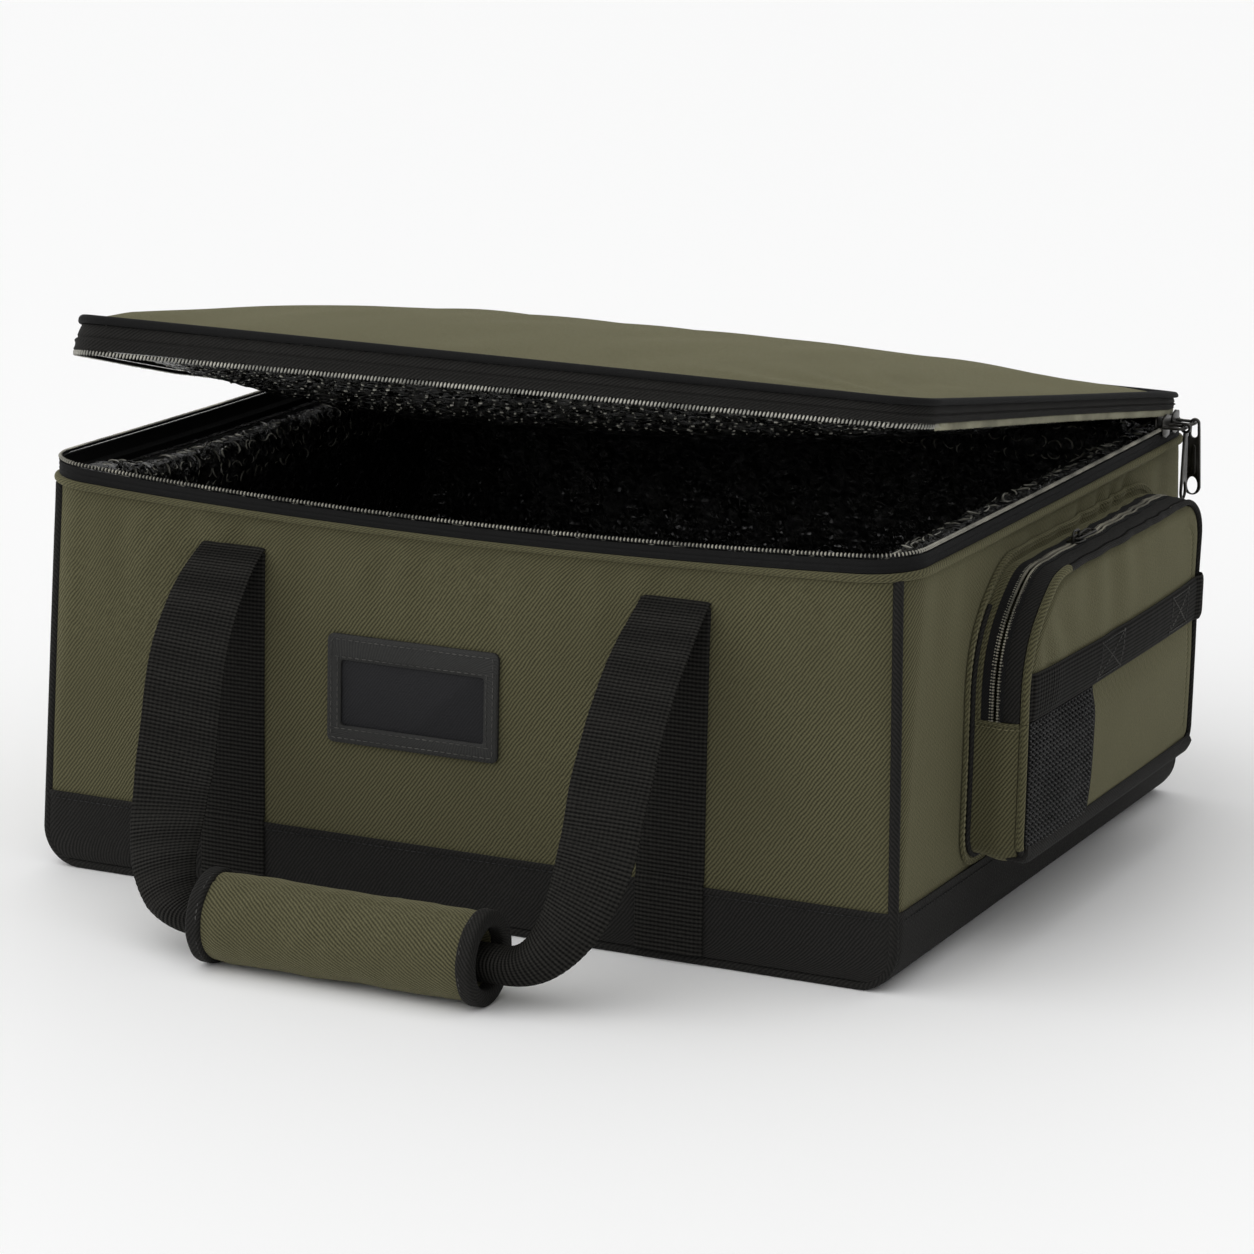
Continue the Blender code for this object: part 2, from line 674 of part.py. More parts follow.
coil_x = HALF_WIDTH - BAND / 2
slider_half_gap = COIL_RADIUS + CLEAR
slider_half_run = ZIP_GAP / 2 + 2 * COIL_RADIUS + CLEAR
plate_x = coil_x + slider_half_gap
bar_x = plate_x + SLIDER_PLATE + BRIDGE_REACH
for name, middle, turned in (("front_slider", FRONT_SLIDER_Y, True), ("rear_slider", REAR_SLIDER_Y, False)):
    low = middle - SLIDER_LENGTH / 2
    outline = h_section(coil_x, ZIP_PLANE, slider_half_gap, slider_half_run)
    body = prism(name, [outline], low, low + SLIDER_LENGTH, XZ_FRAME)
    bridge = bridge_outline(plate_x + SLIDER_PLATE / 2, bar_x, middle)
    arch = prism(name + "_bridge", [bridge], ZIP_PLANE - BRIDGE_WIDTH / 2,
                 ZIP_PLANE + BRIDGE_WIDTH / 2, YX_FRAME, cutters)
    finish(combine(body, arch), METAL, 0.35, 1.0, smooth=False)

    pivot = bpy.data.objects.new(name + "_pull_pivot", None)
    pivot.location = (bar_x, middle, ZIP_PLANE)
    bag.objects.link(pivot)
    eye = arc((bar_x, ZIP_PLANE), PULL_EYE_BORE, 0, 330, 11)
    hole_height = ZIP_PLANE - PULL_LENGTH + PULL_END + PULL_HOLE_LENGTH / 2 - PULL_HOLE_WIDTH / 2
    if turned:
        loop = prism(name + "_pull", [arc((bar_x, ZIP_PLANE), PULL_EYE, 0, 330, 11), eye],
                     middle - PULL_THICK / 2, middle + PULL_THICK / 2, XZ_FRAME)
        top = ZIP_PLANE - (PULL_EYE + PULL_EYE_BORE) / 2
        low_end = ZIP_PLANE - PULL_LENGTH + PULL_END
        tab = [(middle - PULL_NECK, top), *arc((middle, low_end), PULL_END, 180, 360, 10),
               (middle + PULL_NECK, top)]
        hole = oval(middle, hole_height, PULL_HOLE_WIDTH / 2, PULL_HOLE_LENGTH / 2)
        blade = prism(name + "_tab", [tab, hole], bar_x - PULL_THICK / 2, bar_x + PULL_THICK / 2,
                      YZ_FRAME, cutters)
        pull = combine(loop, blade)
    else:
        hole = oval(bar_x, hole_height, PULL_HOLE_WIDTH / 2, PULL_HOLE_LENGTH / 2)
        pull = prism(name + "_pull", [teardrop(PULL_LENGTH, PULL_END, bar_x, ZIP_PLANE), eye, hole],
                     middle - PULL_THICK / 2, middle + PULL_THICK / 2, XZ_FRAME)
    hang(finish(pull, METAL, 0.35, 1.0, smooth=False), pivot)


# Webbing up the walls and the handle loops

anchor_low = TRIM + 2 * CLEAR
anchor_high = CLEAR
axis_out = CLEAR + STRAP + CLEAR + STRAP / 2
grip_height = BINDING_RADIUS + CLEAR


def anchor_outline():
    """Side view of a sewn strap, as distance out from the wall and height."""
    step_low = TRIM_TOP + CLEAR
    step_high = step_low + STRAP_STEP
    top = STRAP_FOLD_HEIGHT - CLEAR
    inner = [(anchor_low, PANEL_FOOT), (anchor_low, step_low), (anchor_high, step_high), (anchor_high, top)]
    outer = [(out + STRAP, height) for out, height in reversed(inner)]
    return inner + outer


for face, sign in (("front", -1), ("rear", 1)):
    for side, middle in (("left", -STRAP_X), ("right", STRAP_X)):
        outline = [(sign * (HALF_DEPTH + out), height) for out, height in anchor_outline()]
        strap = prism(f"{face}_anchor_{side}", [outline], middle - STRAP_WIDTH / 2,
                      middle + STRAP_WIDTH / 2, YZ_FRAME)
        finish(strap, DARK, 0.7, smooth=False)


fold = Vector((0, STRAP_FOLD_HEIGHT))
bar = Vector((GRIP_REACH, grip_height))
bulge_way = Vector((fold.y - bar.y, bar.x)).normalized()
belly = (fold + bar) / 2 + bulge_way * HANDLE_BULGE


def bend(share):
    """Side view of a hanging loop: out and down from the fold to the grip."""
    rest = 1 - share
    return fold * rest * rest + belly * 2 * rest * share + bar * share * share


bend_steps = [bend(step / ROUND_STEPS) for step in range(ROUND_STEPS + 1)]
bend_length = sum((after - before).length for before, after in zip(bend_steps, bend_steps[1:]))


def on_bend(run):
    """Point of the side view at a distance along it, straight on past the grip."""
    done = 0.0
    for before, after in zip(bend_steps, bend_steps[1:]):
        length = (after - before).length
        if done + length >= run:
            return before.lerp(after, (run - done) / length)
        done += length
    return bar + (bar - belly).normalized() * (run - done)


def strap_middle(share):
    """Middle of the strap and its direction, flat on the loop's surface."""
    leg = bend_length - STRAP_TURN
    quarter = STRAP_TURN * math.pi / 2
    half_bar = STRAP_X - STRAP_TURN
    side = 1 if share >= 0.5 else -1
    part = abs(share * 2 - 1)
    bar_share, turn_share = 0.12, 0.56
    if part <= bar_share:
        return Vector((side * part / bar_share * half_bar, bend_length)), Vector((1, 0))
    if part <= turn_share:
        turn = (part - bar_share) / (turn_share - bar_share) * quarter / STRAP_TURN
        x = half_bar + STRAP_TURN * math.sin(turn)
        run = bend_length - STRAP_TURN * (1 - math.cos(turn))
        return Vector((side * x, run)), Vector((math.cos(turn), -side * math.sin(turn)))
    run = leg * (1 - (part - turn_share) / (1 - turn_share))
    return Vector((side * STRAP_X, run)), Vector((0, -side))


def loop_place(sign):
    """Surface of a handle's webbing loop."""
    def place(along, across):
        middle, direction = strap_middle(along)
        normal = Vector((-direction.y, direction.x))
        spot = middle + normal * (across - 0.5) * STRAP_WIDTH
        out, height = on_bend(max(spot.y, 0))
        return Vector((-sign * spot.x, sign * (HALF_DEPTH + axis_out + out), height))
    return place


for face, sign in (("front", -1), ("rear", 1)):
    pivot = bpy.data.objects.new(face + "_handle_pivot", None)
    pivot.location = (0, sign * (HALF_DEPTH + axis_out), STRAP_FOLD_HEIGHT)
    bag.objects.link(pivot)
    loop = skin(face + "_handle_strap", 50, 2, loop_place(sign), STRAP)
    loop.modifiers["Thickness"].offset = 0
    hang(finish(loop, DARK, 0.7), pivot)
    grip_y = sign * (HALF_DEPTH + axis_out + GRIP_REACH)
    bore = oval(grip_y, grip_height, GRIP_BORE, GRIP_BORE)
    wrap_half = GRIP_LENGTH / 2 - BINDING_LENGTH - CLEAR
    wrap = prism(face + "_grip", [oval(grip_y, grip_height, GRIP_RADIUS, GRIP_RADIUS), bore],
                 -wrap_half, wrap_half, YZ_FRAME)
    hang(finish(wrap, OLIVE, 0.85), pivot)
    for side, low in (("left", -GRIP_LENGTH / 2), ("right", GRIP_LENGTH / 2 - BINDING_LENGTH)):
        end = prism(f"{face}_grip_binding_{side}",
                    [oval(grip_y, grip_height, BINDING_RADIUS, BINDING_RADIUS), bore],
                    low, low + BINDING_LENGTH, YZ_FRAME)
        hang(finish(end, BLACK, 0.7), pivot)


# Label holder on the front

label_middle = (LABEL_X, LABEL_FOOT + LABEL_HEIGHT / 2)
label_loop = rounded_rectangle(LABEL_WIDTH / 2, LABEL_HEIGHT / 2, LABEL_ROUND, 3, label_middle)
window_middle = (LABEL_X, LABEL_FOOT + LABEL_HEIGHT / 2 - WINDOW_DROP)
window_loop = rounded_rectangle(WINDOW_WIDTH / 2, WINDOW_HEIGHT / 2, LABEL_ROUND / 2, 3, window_middle)
label_back = -HALF_DEPTH - CLEAR
finish(prism("label_backing", [label_loop], label_back - LABEL_SHEET, label_back, XZ_FRAME),
       DARK, 0.6, smooth=False)
frame_back = label_back - LABEL_SHEET - CLEAR
finish(prism("label_frame", [label_loop, window_loop], frame_back - LABEL_RAIL, frame_back, XZ_FRAME),
       BLACK, 0.7, smooth=False)


# Side pocket, drawn in the plane of the right wall

def pocket_arch(grow):
    """The pocket's outline above the ends of its zip, from front to back, grown by this much."""
    front = POCKET_FRONT_Y - grow
    back = POCKET_BACK_Y + grow
    top = POCKET_TOP + grow
    front_corner = POCKET_FRONT_CORNER + grow
    back_corner = POCKET_BACK_CORNER + grow
    points = [(front, POCKET_ZIP_FOOT + CLEAR)]
    points += arc((front + front_corner, top - front_corner), front_corner, 180, 90, 10)
    points += arc((back - back_corner, top - back_corner), back_corner, 90, 0, CORNER_STEPS)
    points += [(back, POCKET_ZIP_FOOT + CLEAR)]
    return points


def pocket_trough(grow):
    """The outline below the ends of the zip, from back to front, grown by this much."""
    front = POCKET_FRONT_Y - grow
    back = POCKET_BACK_Y + grow
    foot = POCKET_FOOT - grow
    corner = max(POCKET_FOOT_CORNER + grow, CLEAR)
    points = [(back, POCKET_ZIP_FOOT)]
    points += arc((back - corner, foot + corner), corner, 0, -90, CORNER_STEPS)
    points += arc((front + corner, foot + corner), corner, 270, 180, CORNER_STEPS)
    points += [(front, POCKET_ZIP_FOOT)]
    return points


def pocket_strip(name, outline, low, high):
    """A strip of the pocket's wall between two distances from the bag's wall."""
    shape = outline(0) + list(reversed(outline(-POCKET_SHEET)))
    return prism(name, [shape], HALF_WIDTH + low, HALF_WIDTH + high, YZ_FRAME)


pocket_base = CLEAR + FLANGE + CLEAR
flange_loop = pocket_arch(FLANGE_LIP)[1:-1] + pocket_trough(FLANGE_LIP)[1:-1]
flange_hole = pocket_arch(-FLANGE_LAP)[1:-1] + pocket_trough(-FLANGE_LAP)[1:-1]
finish(prism("pocket_flange", [flange_loop, flange_hole], HALF_WIDTH + CLEAR,
             HALF_WIDTH + CLEAR + FLANGE, YZ_FRAME), OLIVE, 0.85, smooth=False)
coil_half = ZIP_GAP / 2 + COIL_RADIUS
back_gusset_end = POCKET_ZIP_OUT - coil_half - COIL_RADIUS - CLEAR
front_gusset_start = POCKET_ZIP_OUT + coil_half + COIL_RADIUS + CLEAR
finish(pocket_strip("pocket_back_gusset", pocket_arch, pocket_base, back_gusset_end), OLIVE, 0.85)
finish(pocket_strip("pocket_lower_gusset", pocket_trough, pocket_base, POCKET_DEPTH), OLIVE, 0.85)

piping_grow = -POCKET_PIPING_INSET
piping_out = POCKET_DEPTH + CLEAR + POCKET_PIPING_RADIUS
face_grow = piping_grow - POCKET_PIPING_RADIUS - CLEAR
face_out = piping_out - POCKET_SHEET / 2
webbing_out = face_out + POCKET_SHEET + CLEAR
hinge_out = max(webbing_out + WEBBING, piping_out + POCKET_PIPING_RADIUS + CLEAR + WEBBING) + CLEAR

flap_pivot = bpy.data.objects.new("pocket_flap_pivot", None)
flap_pivot.location = (HALF_WIDTH + hinge_out, 0, POCKET_ZIP_FOOT)
bag.objects.link(flap_pivot)


def pocket_line(outline, grow, out):
    """A path round the pocket at a distance from the bag's wall."""
    return [(HALF_WIDTH + out, y, z) for y, z in outline(grow)]


coil_grow = -POCKET_SHEET / 2
back_coil = tube("pocket_zip_coil_back", pocket_line(pocket_arch, coil_grow, POCKET_ZIP_OUT - coil_half),
                 COIL_RADIUS, resolution=1)
finish(back_coil, DARK, 0.4)
front_coil = tube("pocket_zip_coil_front", pocket_line(pocket_arch, coil_grow, POCKET_ZIP_OUT + coil_half),
                  COIL_RADIUS, resolution=1)
hang(finish(front_coil, DARK, 0.4), flap_pivot)
front_gusset = pocket_strip("pocket_front_gusset", pocket_arch, front_gusset_start, POCKET_DEPTH)
hang(finish(front_gusset, BLACK, 0.8), flap_pivot)
flap_piping = tube("pocket_flap_piping", pocket_line(pocket_arch, piping_grow, piping_out),
                   POCKET_PIPING_RADIUS)
hang(finish(flap_piping, OLIVE, 0.8), flap_pivot)
finish(tube("pocket_lower_piping", pocket_line(pocket_trough, piping_grow, piping_out),
            POCKET_PIPING_RADIUS), BLACK, 0.7)
flap = prism("pocket_flap", [pocket_arch(face_grow)], HALF_WIDTH + face_out,
             HALF_WIDTH + face_out + POCKET_SHEET, YZ_FRAME)
hang(finish(flap, OLIVE, 0.85, smooth=False), flap_pivot)
finish(prism("pocket_lower_panel", [pocket_trough(face_grow)], HALF_WIDTH + face_out,
             HALF_WIDTH + face_out + POCKET_SHEET, YZ_FRAME), OLIVE, 0.85, smooth=False)

panel_front = POCKET_FRONT_Y - face_grow
panel_back = POCKET_BACK_Y + face_grow
mesh_foot = POCKET_FOOT - face_grow + CLEAR
mesh_corner = POCKET_FOOT_CORNER + face_grow - CLEAR
mesh_front = panel_front + CLEAR
mesh_back = panel_front + MESH_WIDTH
mesh_loop = [(mesh_back, POCKET_ZIP_FOOT - CLEAR), (mesh_back, mesh_foot)]
mesh_loop += arc((mesh_front + mesh_corner, mesh_foot + mesh_corner), mesh_corner, 270, 180, CORNER_STEPS)
mesh_loop += [(mesh_front, POCKET_ZIP_FOOT - CLEAR)]
finish(prism("pocket_mesh", [mesh_loop], HALF_WIDTH + webbing_out,
             HALF_WIDTH + webbing_out + MESH_SHEET, YZ_FRAME), DARK, 0.9, smooth=False)


webbing_low = POCKET_ZIP_FOOT + WEBBING_MARGIN


def webbing_outline():
    """Plan of the webbing: flat on the flap, over the piping and round the pocket's back edge."""
    over = piping_out + POCKET_PIPING_RADIUS + CLEAR
    beside = POCKET_BACK_Y + piping_grow + POCKET_PIPING_RADIUS + CLEAR
    below_top = POCKET_TOP - webbing_low - WEBBING_WIDTH
    start = panel_front + corner_inset(below_top, POCKET_FRONT_CORNER) + CLEAR
    inner = [(start, webbing_out), (panel_back - WEBBING_RAMP, webbing_out),
             (panel_back, over), (beside, over), (beside, over - WEBBING_WRAP)]
    outer = [(beside + WEBBING, over - WEBBING_WRAP), (beside + WEBBING, over + WEBBING),
             (panel_back, over + WEBBING), (panel_back - WEBBING_RAMP, webbing_out + WEBBING),
             (start, webbing_out + WEBBING)]
    return [(y, HALF_WIDTH + out) for y, out in inner + outer]


webbing = prism("pocket_webbing", [webbing_outline()], webbing_low, webbing_low + WEBBING_WIDTH, YX_FRAME)
hang(finish(webbing, DARK, 0.7, smooth=False), flap_pivot)

# Pocket slider, on the top run of its zip
zip_height = POCKET_TOP + coil_grow
half_gap = COIL_RADIUS + POCKET_SLIDER_CLEAR
zip_x = HALF_WIDTH + POCKET_ZIP_OUT
outline = [(x, z) for z, x in h_section(zip_height, zip_x, half_gap, slider_half_run)]
slider_low = POCKET_SLIDER_Y - SLIDER_LENGTH / 2
pocket_slider = prism("pocket_slider", [outline], slider_low, slider_low + SLIDER_LENGTH, XZ_FRAME)
plate_top = zip_height + half_gap + SLIDER_PLATE
pocket_bar = plate_top + POCKET_BRIDGE_REACH
arch_outline = bridge_outline(plate_top - SLIDER_PLATE / 2, pocket_bar, POCKET_SLIDER_Y)
pocket_bridge = prism("pocket_slider_bridge", [arch_outline], zip_x - BRIDGE_WIDTH / 2,
                      zip_x + BRIDGE_WIDTH / 2, YZ_FRAME, cutters)
finish(combine(pocket_slider, pocket_bridge), METAL, 0.35, 1.0, smooth=False)

pull_height = plate_top + CLEAR + POCKET_PULL_BAR / 2
pull_pivot = bpy.data.objects.new("pocket_slider_pull_pivot", None)
pull_pivot.location = (zip_x, POCKET_SLIDER_Y, pull_height)
bag.objects.link(pull_pivot)
bar_half = POCKET_PULL_BAR / 2
tab_end = POCKET_SLIDER_Y + POCKET_PULL_LENGTH - POCKET_PULL_HALF_WIDTH
tab_loop = [(zip_x - POCKET_PULL_HALF_WIDTH, POCKET_SLIDER_Y - bar_half),
            (zip_x + POCKET_PULL_HALF_WIDTH, POCKET_SLIDER_Y - bar_half)]
tab_loop += arc((zip_x, tab_end), POCKET_PULL_HALF_WIDTH, 0, 180, 8)
slot_end = POCKET_SLIDER_Y + POCKET_PULL_SLOT_LENGTH
slot_loop = [(zip_x - POCKET_PULL_SLOT_HALF, POCKET_SLIDER_Y + bar_half),
             (zip_x + POCKET_PULL_SLOT_HALF, POCKET_SLIDER_Y + bar_half),
             (zip_x + POCKET_PULL_SLOT_HALF, slot_end), (zip_x - POCKET_PULL_SLOT_HALF, slot_end)]
pocket_pull = prism("pocket_slider_pull", [tab_loop, slot_loop], pull_height - POCKET_PULL_BAR / 2,
                    pull_height + POCKET_PULL_BAR / 2, XY_FRAME)
hang(finish(pocket_pull, METAL, 0.35, 1.0, smooth=False), pull_pivot)
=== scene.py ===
"""Insulated delivery bag: zipped lid, two handles and a side pocket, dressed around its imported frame."""
import logging
import math
from dataclasses import dataclass
from enum import Enum
from typing import Callable, Iterable, Optional, Sequence

import bmesh
import bpy
import numpy as np
from mathutils import Matrix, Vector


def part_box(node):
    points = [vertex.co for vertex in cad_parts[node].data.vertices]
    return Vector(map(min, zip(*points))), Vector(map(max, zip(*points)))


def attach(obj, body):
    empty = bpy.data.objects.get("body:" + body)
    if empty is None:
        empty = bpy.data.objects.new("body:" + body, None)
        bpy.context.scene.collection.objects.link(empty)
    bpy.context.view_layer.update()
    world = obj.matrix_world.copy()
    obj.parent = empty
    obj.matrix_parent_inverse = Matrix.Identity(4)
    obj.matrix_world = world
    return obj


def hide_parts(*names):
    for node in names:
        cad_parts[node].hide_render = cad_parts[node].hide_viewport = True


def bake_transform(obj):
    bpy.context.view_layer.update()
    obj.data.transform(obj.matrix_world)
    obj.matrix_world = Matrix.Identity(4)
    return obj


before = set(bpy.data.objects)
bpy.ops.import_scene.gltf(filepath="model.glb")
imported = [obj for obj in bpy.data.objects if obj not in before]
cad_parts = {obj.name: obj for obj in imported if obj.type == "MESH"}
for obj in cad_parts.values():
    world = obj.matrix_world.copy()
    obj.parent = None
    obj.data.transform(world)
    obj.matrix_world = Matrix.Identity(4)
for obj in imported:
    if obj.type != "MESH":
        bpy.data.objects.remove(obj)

Array = np.ndarray
Socket = bpy.types.NodeSocket
Object = bpy.types.Object
Guide = tuple[Array, Array, bool]  # points, the way out of the surface at each, and whether the path closes

log = logging.getLogger("bag")
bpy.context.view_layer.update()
UV_NAME = "cloth"
DOUBLE = 1e-6
SOFT_EDGE = 40.0
RIB_EDGE = 70.0
ACROSS, UPWARD = (1.0, 0.0, 0.0), (0.0, 0.0, 1.0)


class Body(str, Enum):
    """The bodies of the frame that the pieces ride on."""

    BAG = "bag_body"
    LID = "lid"
    FRONT_HANDLE = "front_handle"
    REAR_HANDLE = "rear_handle"
    FRONT_SLIDER = "front_slider"
    REAR_SLIDER = "rear_slider"
    FRONT_PULL = "front_pull"
    REAR_PULL = "rear_pull"
    FLAP = "pocket_flap"
    POCKET_SLIDER = "pocket_slider"
    POCKET_PULL = "pocket_pull"


class Slot(str, Enum):
    """The material slots."""

    OLIVE = "olive_fabric"
    BLACK = "black_fabric"
    WEBBING = "black_webbing"
    MESH = "black_mesh"
    LABEL = "label_vinyl"
    GRIP = "grip_padding"
    FILM = "lining_film"
    FOAM = "foam"
    COIL = "zip_coil"
    METAL = "zip_metal"


# Shapes in numbers

def ease(values: Array, low: float, high: float) -> Array:
    """Rise smoothly from 0 at low to 1 at high."""
    share = np.clip((np.asarray(values, float) - low) / (high - low), 0.0, 1.0)
    return share * share * (3.0 - 2.0 * share)


def hump(values: Array, middle: float, spread: float) -> Array:
    """A soft bell of height 1."""
    return np.exp(-(((np.asarray(values, float) - middle) / spread) ** 2))


def ripple(points: Array, seed: int, waves: int, longest: float, shortest: float) -> Array:
    """Smooth seeded unevenness between about -1 and 1, from waves that cross each other.

    Args:
        points: places, in metres, as an array that ends in 2 or 3 coordinates.
        seed: picks the waves.
        waves: how many waves are summed.
        longest: the longest wave, in metres.
        shortest: the shortest wave, in metres.
    Returns:
        One value for each place.
    """
    draw = np.random.default_rng(seed)
    total = np.zeros(points.shape[:-1])
    for _ in range(waves):
        way = draw.normal(size=points.shape[-1])
        way /= np.linalg.norm(way)
        length = shortest * (longest / shortest) ** draw.random()
        total += np.sin(points @ way * math.tau / length + draw.random() * math.tau)
    return total / math.sqrt(waves) / 1.4


def crinkle(points: Array, seed: int, waves: int, longest: float, shortest: float) -> Array:
    """Sharp-ridged unevenness between 0 and 1, as creased film has.

    Args:
        points: Places on the cloth, (..., 2) or (..., 3).
        seed: Seed of the waves.
        waves: How many waves are added.
        longest: Longest wave, in metres.
        shortest: Shortest wave, in metres.

    Returns:
        One value for each place.
    """
    first = ripple(points, seed, waves, longest, shortest)
    second = ripple(points + 0.5, seed + 1, waves, longest, shortest)
    return (1.0 - np.clip(np.abs(first), 0, 1)) * 0.6 + (1.0 - np.clip(np.abs(second), 0, 1)) * 0.4


def unit(vectors: Array) -> Array:
    """Vectors at length 1."""
    return vectors / np.maximum(np.linalg.norm(vectors, axis=-1, keepdims=True), 1e-12)


def run_lengths(path: Array, closed: bool = False) -> Array:
    """Distance along a path at each point, with the closing length added where it is closed.

    Args:
        path: Points in order.
        closed: Whether the last point joins the first.

    Returns:
        One distance for each point, and one more where it is closed.
    """
    ends = np.vstack([path, path[:1]]) if closed else path
    steps = np.linalg.norm(np.diff(ends, axis=0), axis=1)
    return np.concatenate([[0.0], np.cumsum(steps)])


def resample(path: Array, spacing: float, closed: bool = False) -> Array:
    """Points at even spacing along a path.

    Args:
        path: Points in order.
        spacing: Wanted distance between points.
        closed: Whether the last point joins the first.

    Returns:
        The new points.
    """
    ends = np.vstack([path, path[:1]]) if closed else path
    lengths = run_lengths(path, closed)
    count = max(int(round(lengths[-1] / spacing)), 3)
    wanted = np.linspace(0.0, lengths[-1], count + 1)
    if closed:
        wanted = wanted[:-1]
    return np.stack([np.interp(wanted, lengths, ends[:, axis]) for axis in range(path.shape[1])], -1)


def tangents(path: Array, closed: bool = False) -> Array:
    """Directions along a path.

    Args:
        path: Points in order.
        closed: Whether the last point joins the first.

    Returns:
        One direction for each point.
    """
    if closed:
        return unit(np.roll(path, -1, axis=0) - np.roll(path, 1, axis=0))
    return unit(np.gradient(path, axis=0))


def arc(centre: Sequence[float], radius: float, start: float, end: float, steps: int) -> Array:
    """Points on an arc in a plane, angles in degrees."""
    turns = np.radians(np.linspace(start, end, steps + 1))
    return np.stack([centre[0] + radius * np.cos(turns), centre[1] + radius * np.sin(turns)], -1)


def rounded_rectangle(half_x: float, half_y: float, radius: float, middle: Sequence[float] = (0.0, 0.0),
                      steps: int = 12) -> Array:
    """A rounded rectangle in a plane, counter-clockwise.

    Args:
        half_x: Half its width.
        half_y: Half its height.
        radius: Radius of its corners.
        middle: Its middle.
        steps: Steps in each corner.

    Returns:
        Its points, (n, 2).
    """
    x, y = middle
    in_x, in_y = half_x - radius, half_y - radius
    return np.vstack([
        arc((x + in_x, y - in_y), radius, -90, 0, steps), arc((x + in_x, y + in_y), radius, 0, 90, steps),
        arc((x - in_x, y + in_y), radius, 90, 180, steps), arc((x - in_x, y - in_y), radius, 180, 270, steps)])


def grid_normals(grid: Array, wrap_rows: bool = False, wrap_columns: bool = False) -> Array:
    """Normals of a grid of points, from rows crossed with columns.

    Args:
        grid: The points, (rows, columns, 3).
        wrap_rows: Whether the last row joins the first.
        wrap_columns: Whether the last column joins the first.

    Returns:
        The normals.
    """
    def slope(axis: int, wrap: bool) -> Array:
        """Differences along one axis of the grid.

        Args:
            axis: The axis, 0 for rows.
            wrap: Whether the last one joins the first.

        Returns:
            The differences.
        """
        if wrap:
            return np.roll(grid, -1, axis=axis) - np.roll(grid, 1, axis=axis)
        return np.gradient(grid, axis=axis)
    return unit(np.cross(slope(1, wrap_columns), slope(0, wrap_rows)))


def facing(way: Sequence[float], path: Array) -> Array:
    """One direction for every point of a path."""
    return np.broadcast_to(np.array(way, float), path.shape)


def circle_profile(radius: float, sides: int) -> Array:
    """A round section: across and up."""
    turns = np.arange(sides) * math.tau / sides
    return np.stack([radius * np.cos(turns), radius * np.sin(turns)], -1)


# Meshes

def add_object(name: str, data: bpy.types.ID) -> Object:
    """Make an object and link it to the scene.

    Args:
        name: Name of the object.
        data: Its mesh, curve, camera or light.

    Returns:
        The object.
    """
    made = bpy.data.objects.new(name, data)
    bpy.context.scene.collection.objects.link(made)
    return made


def close_mesh(name: str, mesh: bpy.types.Mesh, smooth: float) -> Object:
    """Join doubled points, turn the faces outwards, shade the mesh and make its object.

    Args:
        name: Name of the object.
        mesh: The mesh.
        smooth: Angle in degrees above which an edge is sharp.

    Returns:
        The object.
    """
    work = bmesh.new()
    work.from_mesh(mesh)
    bmesh.ops.remove_doubles(work, verts=work.verts, dist=DOUBLE)
    bmesh.ops.recalc_face_normals(work, faces=work.faces)
    work.to_mesh(mesh)
    work.free()
    mesh.shade_smooth()
    mesh.set_sharp_from_angle(angle=math.radians(smooth))
    return add_object(name, mesh)


